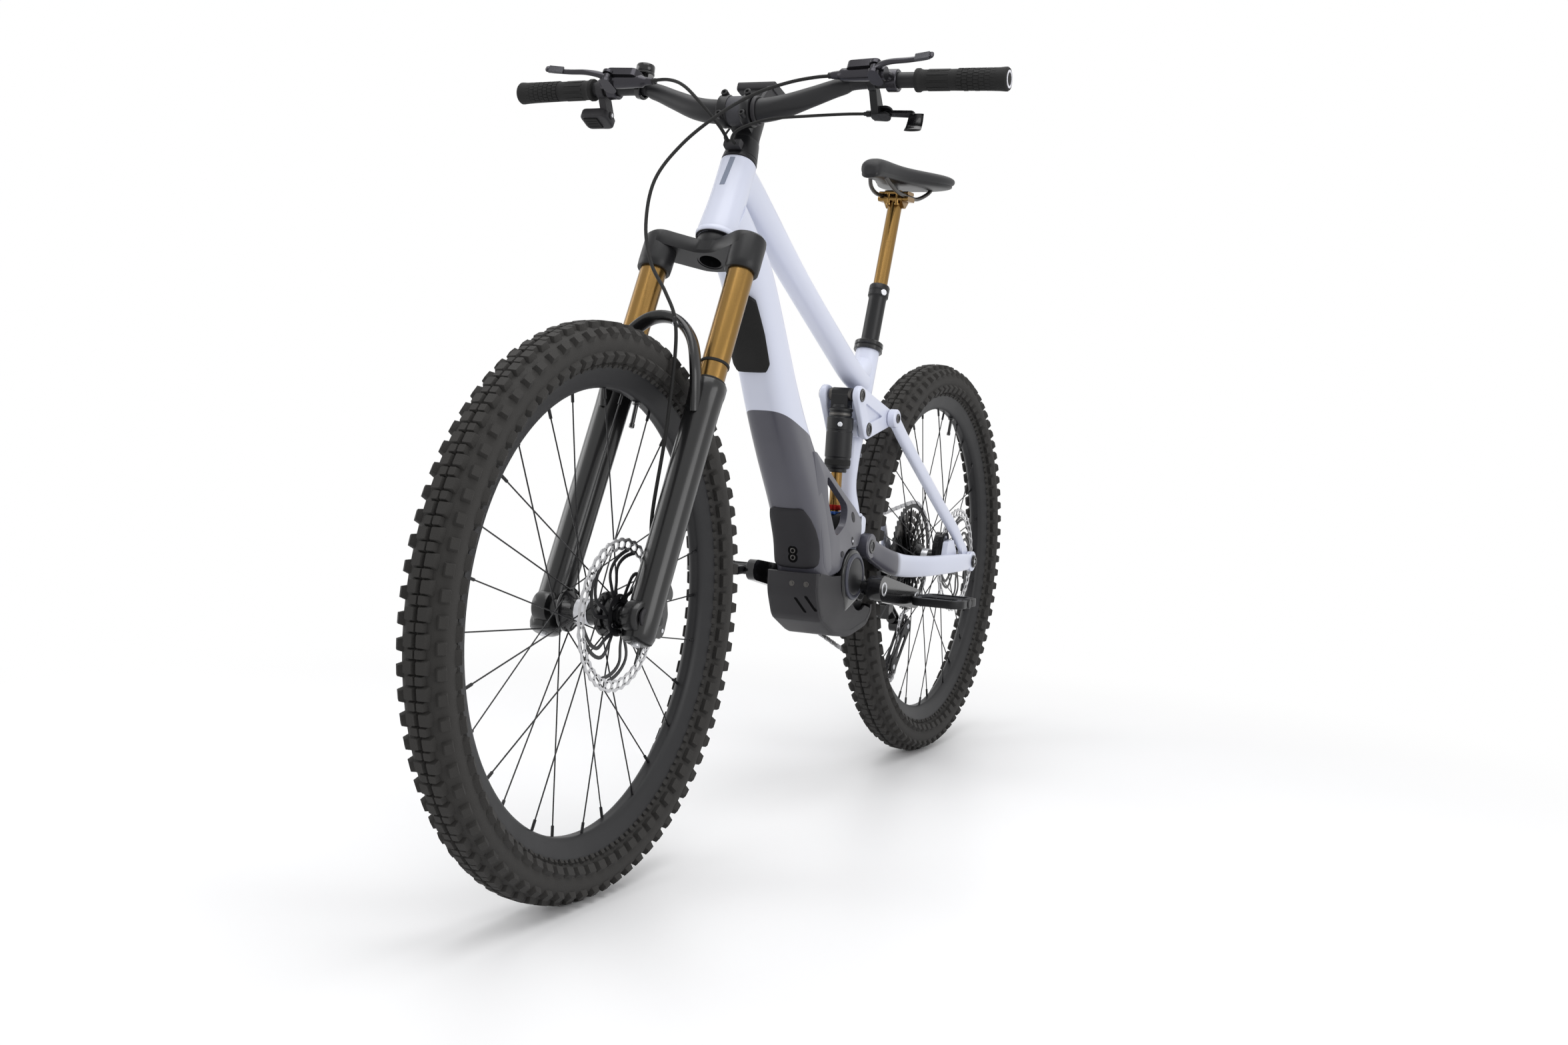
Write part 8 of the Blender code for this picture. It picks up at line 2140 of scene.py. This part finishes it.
@dataclass
class Drivetrain:
    """Cranks, pedals, chainring, chain, cassette and derailleur."""

    crank: float = 0.165
    tilt: float = math.radians(10.0)
    inner: float = 0.074
    thick: float = 0.014
    ring_y: float = -0.0525
    ring_teeth: int = 34
    cogs: tuple = (52, 44, 38, 32, 28, 24, 21, 18, 16, 14, 12, 10)
    cog_y: float = -0.035
    cog_step: float = 0.0031
    upper: tuple[float, float] = (-0.636, 0.235)
    lower: tuple[float, float] = (-0.57, 0.162)
    hanger: tuple[float, float] = (-0.654, 0.325)
    arm: tuple[float, float] = (-0.656, 0.3)
    arm_y: float = -0.095
    cage_y: float = -0.04

    def cranks(self) -> None:
        """Forge both arms with the spindle and the spider, and screw the pedals' axles in."""
        outer = self.inner + self.thick
        for side, name in ((1, "left"), (-1, "right")):
            end = polar(BRACKET_CENTRE, -side * self.crank, self.tilt)
            shell = Shell()
            shell.plate(hull([(BRACKET_CENTRE, 0.0223), (end, 0.0173)], 56), side * self.inner, side * outer)
            shell.disc(end, side * (outer - 0.002), side * (outer + 0.096), 0.006, 28, 0.0006, 2)
            shell.band(end, side * (outer - 0.0004), side * (outer + 0.0012), 0.0062, 0.0125, 36, 1)
            shell.spun([(0, side * (outer - 0.001)), (0.0118, side * (outer - 0.001)),
                (0.0118, side * (outer + 0.0006)), (0.0085, side * (outer + 0.0008)),
                (0.008, side * (outer - 0.0006)), (0, side * (outer - 0.0006))], BRACKET_CENTRE, 48, 1)
            shell.band(BRACKET_CENTRE, side * (outer - 0.001), side * (outer + 0.0002), 0, 0.0045, 6, 3)
            if side > 0:
                shell.disc(BRACKET_CENTRE, self.inner - 0.0118, self.inner + 0.004, 0.0213, 56, 0.0015)
            else:
                shell.disc(BRACKET_CENTRE, -outer + 0.002, outer - 0.003, 0.0119, 48)
                shell.spun([(0, -0.0762), (0.02, -0.0762), (0.024, -0.07), (0.03, -0.0582), (0.03, -0.0553),
                    (0, -0.0553)], BRACKET_CENTRE, 56)
            shaped("crank_arm_" + name, shell, "crank silver dark_steel satin_black", "crank_" + name,
                bevel=0.003, sharp=40)
            self.pedal(side, name, end, outer + 0.004)

    def pedal(self, side: int, name: str, end: Point, start: float) -> None:
        """Cast a slim flat pedal round its axle, with pins on both faces.

        Args:
            side: Side of the bike.
            name: Name of the side.
            end: The axle's x and z.
            start: Distance of its inner end from the middle plane.
        """
        x, z = end
        y0, y1 = start, start + 0.096
        half = 0.05
        shell = Shell()
        cy = (y0 + y1) / 2
        for cx in (0.0275, -0.0275):
            near, far = (0.0075, half) if cx > 0 else (-0.0075, -half)
            lobe = [(near, y0 + 0.001), (far - math.copysign(0.012, far), y0), (far, y0 + 0.01),
                (far, y1 - 0.012), (far - math.copysign(0.014, far), y1), (near, y1 - 0.001)]
            hole = [(math.copysign(0.014, cx), y0 + 0.014), (math.copysign(0.039, cx), y0 + 0.014),
                (math.copysign(0.039, cx), y1 - 0.016), (math.copysign(0.014, cx), y1 - 0.016)]
            outline = rayed(filleted(lobe, 0.008, 4), (cx, cy), 96) * (1, side) + (x, 0)
            window = rayed(filleted(hole, 0.007, 4), (cx, cy), 96) * (1, side) + (x, 0)
            shell.collar(outline, window, z - 0.007, z + 0.007, 0.0018, steps=3)
        shell.band(end, side * y0, side * (y1 - 0.001), 0.0063, 0.0088, 36)
        shell.disc(end, side * (y1 - 0.004), side * (y1 + 0.0002), 0.0086, 28, 0.0012)
        for px, py in ((-0.044, 0.02), (-0.044, 0.048), (-0.044, 0.076), (0.044, 0.02), (0.044, 0.048),
                (0.044, 0.076), (-0.026, 0.006), (0.026, 0.006), (-0.026, 0.09), (0.026, 0.09)):
            y = side * (start + py)
            shell.post((x + px, y), z - 0.008, z + 0.008, 0.0016, 8, 0.0003, 1)
        shaped("pedal_flat_" + name, shell, "satin_black dark_steel", "pedal_" + name, sharp=40)

    def ring(self) -> None:
        """Cut the chainring's teeth, and open it between its arms."""
        shell = Shell()
        outline = sprocket(BRACKET_CENTRE, self.ring_teeth)
        inner = np.array(BRACKET_CENTRE) + circle(0.056, len(outline))
        shell.collar(outline, inner, self.ring_y - 0.0018, self.ring_y + 0.0018, 0.0005, plane="xz")
        for i in range(6):
            a = TAU * (i + 0.25) / 6
            arm = [polar(BRACKET_CENTRE, r, a + t) for r, t in ((0.018, -0.42), (0.034, -0.2), (0.058, -0.17),
                (0.058, 0.17), (0.034, 0.2), (0.018, 0.42))]
            shell.plate(arm, self.ring_y - 0.0016, self.ring_y + 0.0016)
        shell.band(BRACKET_CENTRE, self.ring_y - 0.0019, self.ring_y + 0.0019, 0.0123, 0.03, 56)
        shaped("chainring_toothed", shell, "satin_black", "chainring", bevel=0.0003)

    def cassette(self) -> None:
        """Stack twelve sprockets on their carrier, the large ones open between slanted arms."""
        shell = Shell()
        for i, teeth in enumerate(self.cogs):
            y = self.cog_y - self.cog_step * i
            reach = pitch_radius(teeth)
            hollow = max(reach - (0.011 if i < 8 else 0.006), 0.0172)
            outline = sprocket(REAR_AXLE, teeth)
            inner = np.array(REAR_AXLE) + circle(hollow, len(outline))
            shell.collar(outline, inner, y - 0.0009, y + 0.0009, 0.0003, 0 if i else 1, "xz")
            if i < 8:
                for k in range(12):
                    a = TAU * k / 12 + i * 0.12
                    path = [(polar(REAR_AXLE, r, a + t)) for r, t in ((0.018, 0.0), (hollow + 0.001, 0.45))]
                    shell.tube([(path[0][0], y, path[0][1]), (path[1][0], y, path[1][1])], 0.0016, 6,
                        finish=1, flat=(1.2, 0.5))
        low = self.cog_y - self.cog_step * len(self.cogs)
        shell.spun([(0.0172, low), (0.0205, low), (0.02, self.cog_y + 0.0008), (0.0172, self.cog_y + 0.0008)],
            REAR_AXLE, 48, 1)
        shaped("cassette_cogs", shell, "dark_steel satin_black", "cassette")

    def chain(self) -> None:
        """Lay links along the chain's run: pairs of outer and inner plates with a roller between."""
        route = belt([(BRACKET_CENTRE, self.ring_y, pitch_radius(self.ring_teeth), 1),
            (REAR_AXLE, self.cog_y, pitch_radius(self.cogs[0]), 1), (self.upper, self.cage_y, 0.0287, -1),
            (self.lower, self.cage_y, 0.0287, 1)])
        route = np.vstack([route, route[:1]])
        length = np.concatenate([[0], np.cumsum(np.linalg.norm(np.diff(route, axis=0), axis=1))])
        count = 2 * round(length[-1] / PITCH / 2)
        spots = np.stack([np.interp(np.linspace(0, length[-1], count + 1), length, route[:, k])
            for k in range(3)], -1)
        ahead = np.diff(spots, axis=0)
        ahead /= np.linalg.norm(ahead, axis=1, keepdims=True)
        side = np.cross((0.0, 1.0, 0.0), ahead)
        side /= np.linalg.norm(side, axis=1, keepdims=True)
        moves = np.tile(np.eye(4), (count, 1, 1))
        moves[:, :3, 0], moves[:, :3, 1], moves[:, :3, 2] = ahead, np.cross(side, ahead), side
        moves[:, :3, 3] = (spots[:-1] + spots[1:]) / 2
        shell = Shell()
        for first, y in ((0, 0.0026), (1, 0.0017)):
            link = Shell()
            waist = [(-PITCH / 2 + 0.002, 0.0036), (0.0, 0.0024), (PITCH / 2 - 0.002, 0.0036),
                (PITCH / 2 + 0.0034, 0.0016), (PITCH / 2 + 0.0034, -0.0016), (PITCH / 2 - 0.002, -0.0036),
                (0.0, -0.0024), (-PITCH / 2 + 0.002, -0.0036), (-PITCH / 2 - 0.0034, -0.0016),
                (-PITCH / 2 - 0.0034, 0.0016)]
            for s in (-1, 1):
                link.plate(filleted(waist, 0.0018, 2), s * y, s * (y - 0.0009))
            link.disc((-PITCH / 2, 0), -y - 0.0001, y + 0.0001, 0.0021, 10)
            shell.copies(link, moves[first::2])
        shaped("chain_links", shell, "steel", "chain")

    def mount(self) -> None:
        """Forge the derailleur's mount round the axle's end, and bolt it on."""
        face = -0.0947
        mount = Shell()
        mount.plate(hull([(REAR_AXLE, 0.015), (self.hanger, 0.013)], 48), face - 0.011, face)
        mount.plate(hull([(self.hanger, 0.011), (self.arm, 0.01)], 48), face - 0.0112, -0.0852)
        mount.spun([(0, face - 0.0125), (0.01, face - 0.0125), (0.011, face - 0.0115), (0.011, face - 0.01),
            (0, face - 0.01)], REAR_AXLE, 40, 1)
        mount.band(REAR_AXLE, face - 0.013, face - 0.012, 0, 0.0045, 6, 2)
        shaped("derailleur_mount", mount, "gloss silver plastic", "derailleur_body", bevel=0.0018, sharp=40)

    def swing(self) -> None:
        """Join the swinging arm's two plates, and hang the motor box and the cage's pivot on them."""
        swing = Shell()
        x0, x1 = self.arm[0] + 0.0148, self.arm[0] + 0.0378
        low_z = self.upper[1] + 0.014
        for x in (x0, x1 - 0.005):
            swing.plate(hull([((self.arm_y, self.arm[1]), 0.008), ((-0.062, low_z), 0.0095)], 40), x, x
                + 0.005, 0, "yz")
        swing.plate(hull([((self.arm_y + 0.003, self.arm[1] - 0.006), 0.005),
            ((-0.064, low_z + 0.004), 0.006)], 36), x0 + 0.004, x1 - 0.004, 1, "yz")
        swing.rod((self.arm[0] - 0.0088, self.arm_y, self.arm[1]), (x1 - 0.001, self.arm_y, self.arm[1]),
            0.0034, 24, 0.0004, 1)
        ux, uz = self.upper
        swing.disc(self.upper, -0.0688, -0.049, 0.0124, 40, 0.001)
        swing.plate(filleted([(ux + 0.0112, uz + 0.0132), (ux + 0.0358, uz + 0.0132),
            (ux + 0.0358, uz + 0.0408), (ux + 0.0112, uz + 0.0408)], 0.004, 4), -0.0838, -0.0602)
        shaped("derailleur_swing", swing, "gloss silver", "derailleur_arm", bevel=0.001, sharp=40)

    def cage(self) -> None:
        """Cut the cage's two plates with their slot, and pin them together through the jockey wheels."""
        cage = Shell()
        upper, lower = np.array(self.upper), np.array(self.lower)
        middle = (upper + lower) / 2
        outline = rayed(hull([(upper, 0.015), (lower, 0.013)], 96), middle, 120)
        slot = rayed(hull([(middle + (upper - middle) * 0.42, 0.007),
            (middle + (lower - middle) * 0.42, 0.006)], 72), middle, 120)
        for low, high in ((-0.0482, -0.0453), (-0.0347, -0.0318)):
            cage.collar(outline, slot, low, high, 0.0006, plane="xz", steps=2)
        for spot in (upper, lower):
            cage.disc(spot, -0.0486, -0.0316, 0.003, 20, 0.0003, 1)
            cage.disc(spot, -0.0318, -0.0308, 0.0052, 24, 0.0003, 1)
        cage.disc(upper, -0.064, -0.0475, 0.0039, 24)
        shaped("derailleur_cage_plates", cage, "satin_black silver", "derailleur_cage")

    def jockeys(self) -> None:
        """Cut each jockey wheel's teeth, and join them to its hub with slanted spokes."""
        for name, centre in (("jockey_upper", self.upper), ("jockey_lower", self.lower)):
            rim = toothed(centre, 14, 0.0218, 0.0017, 1.4)
            wheel = Shell().collar(rim, np.array(centre) + circle(0.0148, len(rim)), self.cage_y - 0.0012,
                self.cage_y + 0.0012, 0.0003, plane="xz")
            wheel.band(centre, self.cage_y - 0.003, self.cage_y + 0.003, 0.0033, 0.008, 32, 1)
            for k in range(7):
                b = TAU * k / 7
                (ax, az), (bx, bz) = polar(centre, 0.007, b), polar(centre, 0.0156, b + 0.25)
                wheel.tube([(ax, self.cage_y, az), (bx, self.cage_y, bz)], 0.0014, 8)
            shaped(name + "_toothed", wheel, "plastic dark_steel", name)

    def build(self) -> None:
        """Make the drivetrain's pieces."""
        self.cranks()
        self.ring()
        self.cassette()
        self.chain()
        self.mount()
        self.swing()
        self.cage()
        self.jockeys()


def main() -> None:
    """Build the studio, then each sub-assembly in order."""
    logging.basicConfig(level=logging.INFO, format="%(name)s: %(message)s")
    FINISHES.update(build_finishes())
    Studio().build()
    Wheel("front", FRONT_AXLE, 0.055, 0.024, -0.032, 0.0415, ((0.0172, -0.016, 0.004, 2),)).build()
    Wheel("rear", REAR_AXLE, 0.074, 0.03, -0.019, 0.0585, ((0.0172, -0.008, 0.006, 2),)).build()
    Fork().build()
    FrameSet().build()
    Motor().build()
    Suspension().build()
    brake_caliper("rear_caliper_body", BIKE, REAR_AXLE, math.radians(18), 0.0585, 0.046, 0.0655,
        "rear_caliper")
    Cockpit().build()
    SeatPost().build()
    Drivetrain().build()
    battery()


if __name__ == "__main__":
    main()
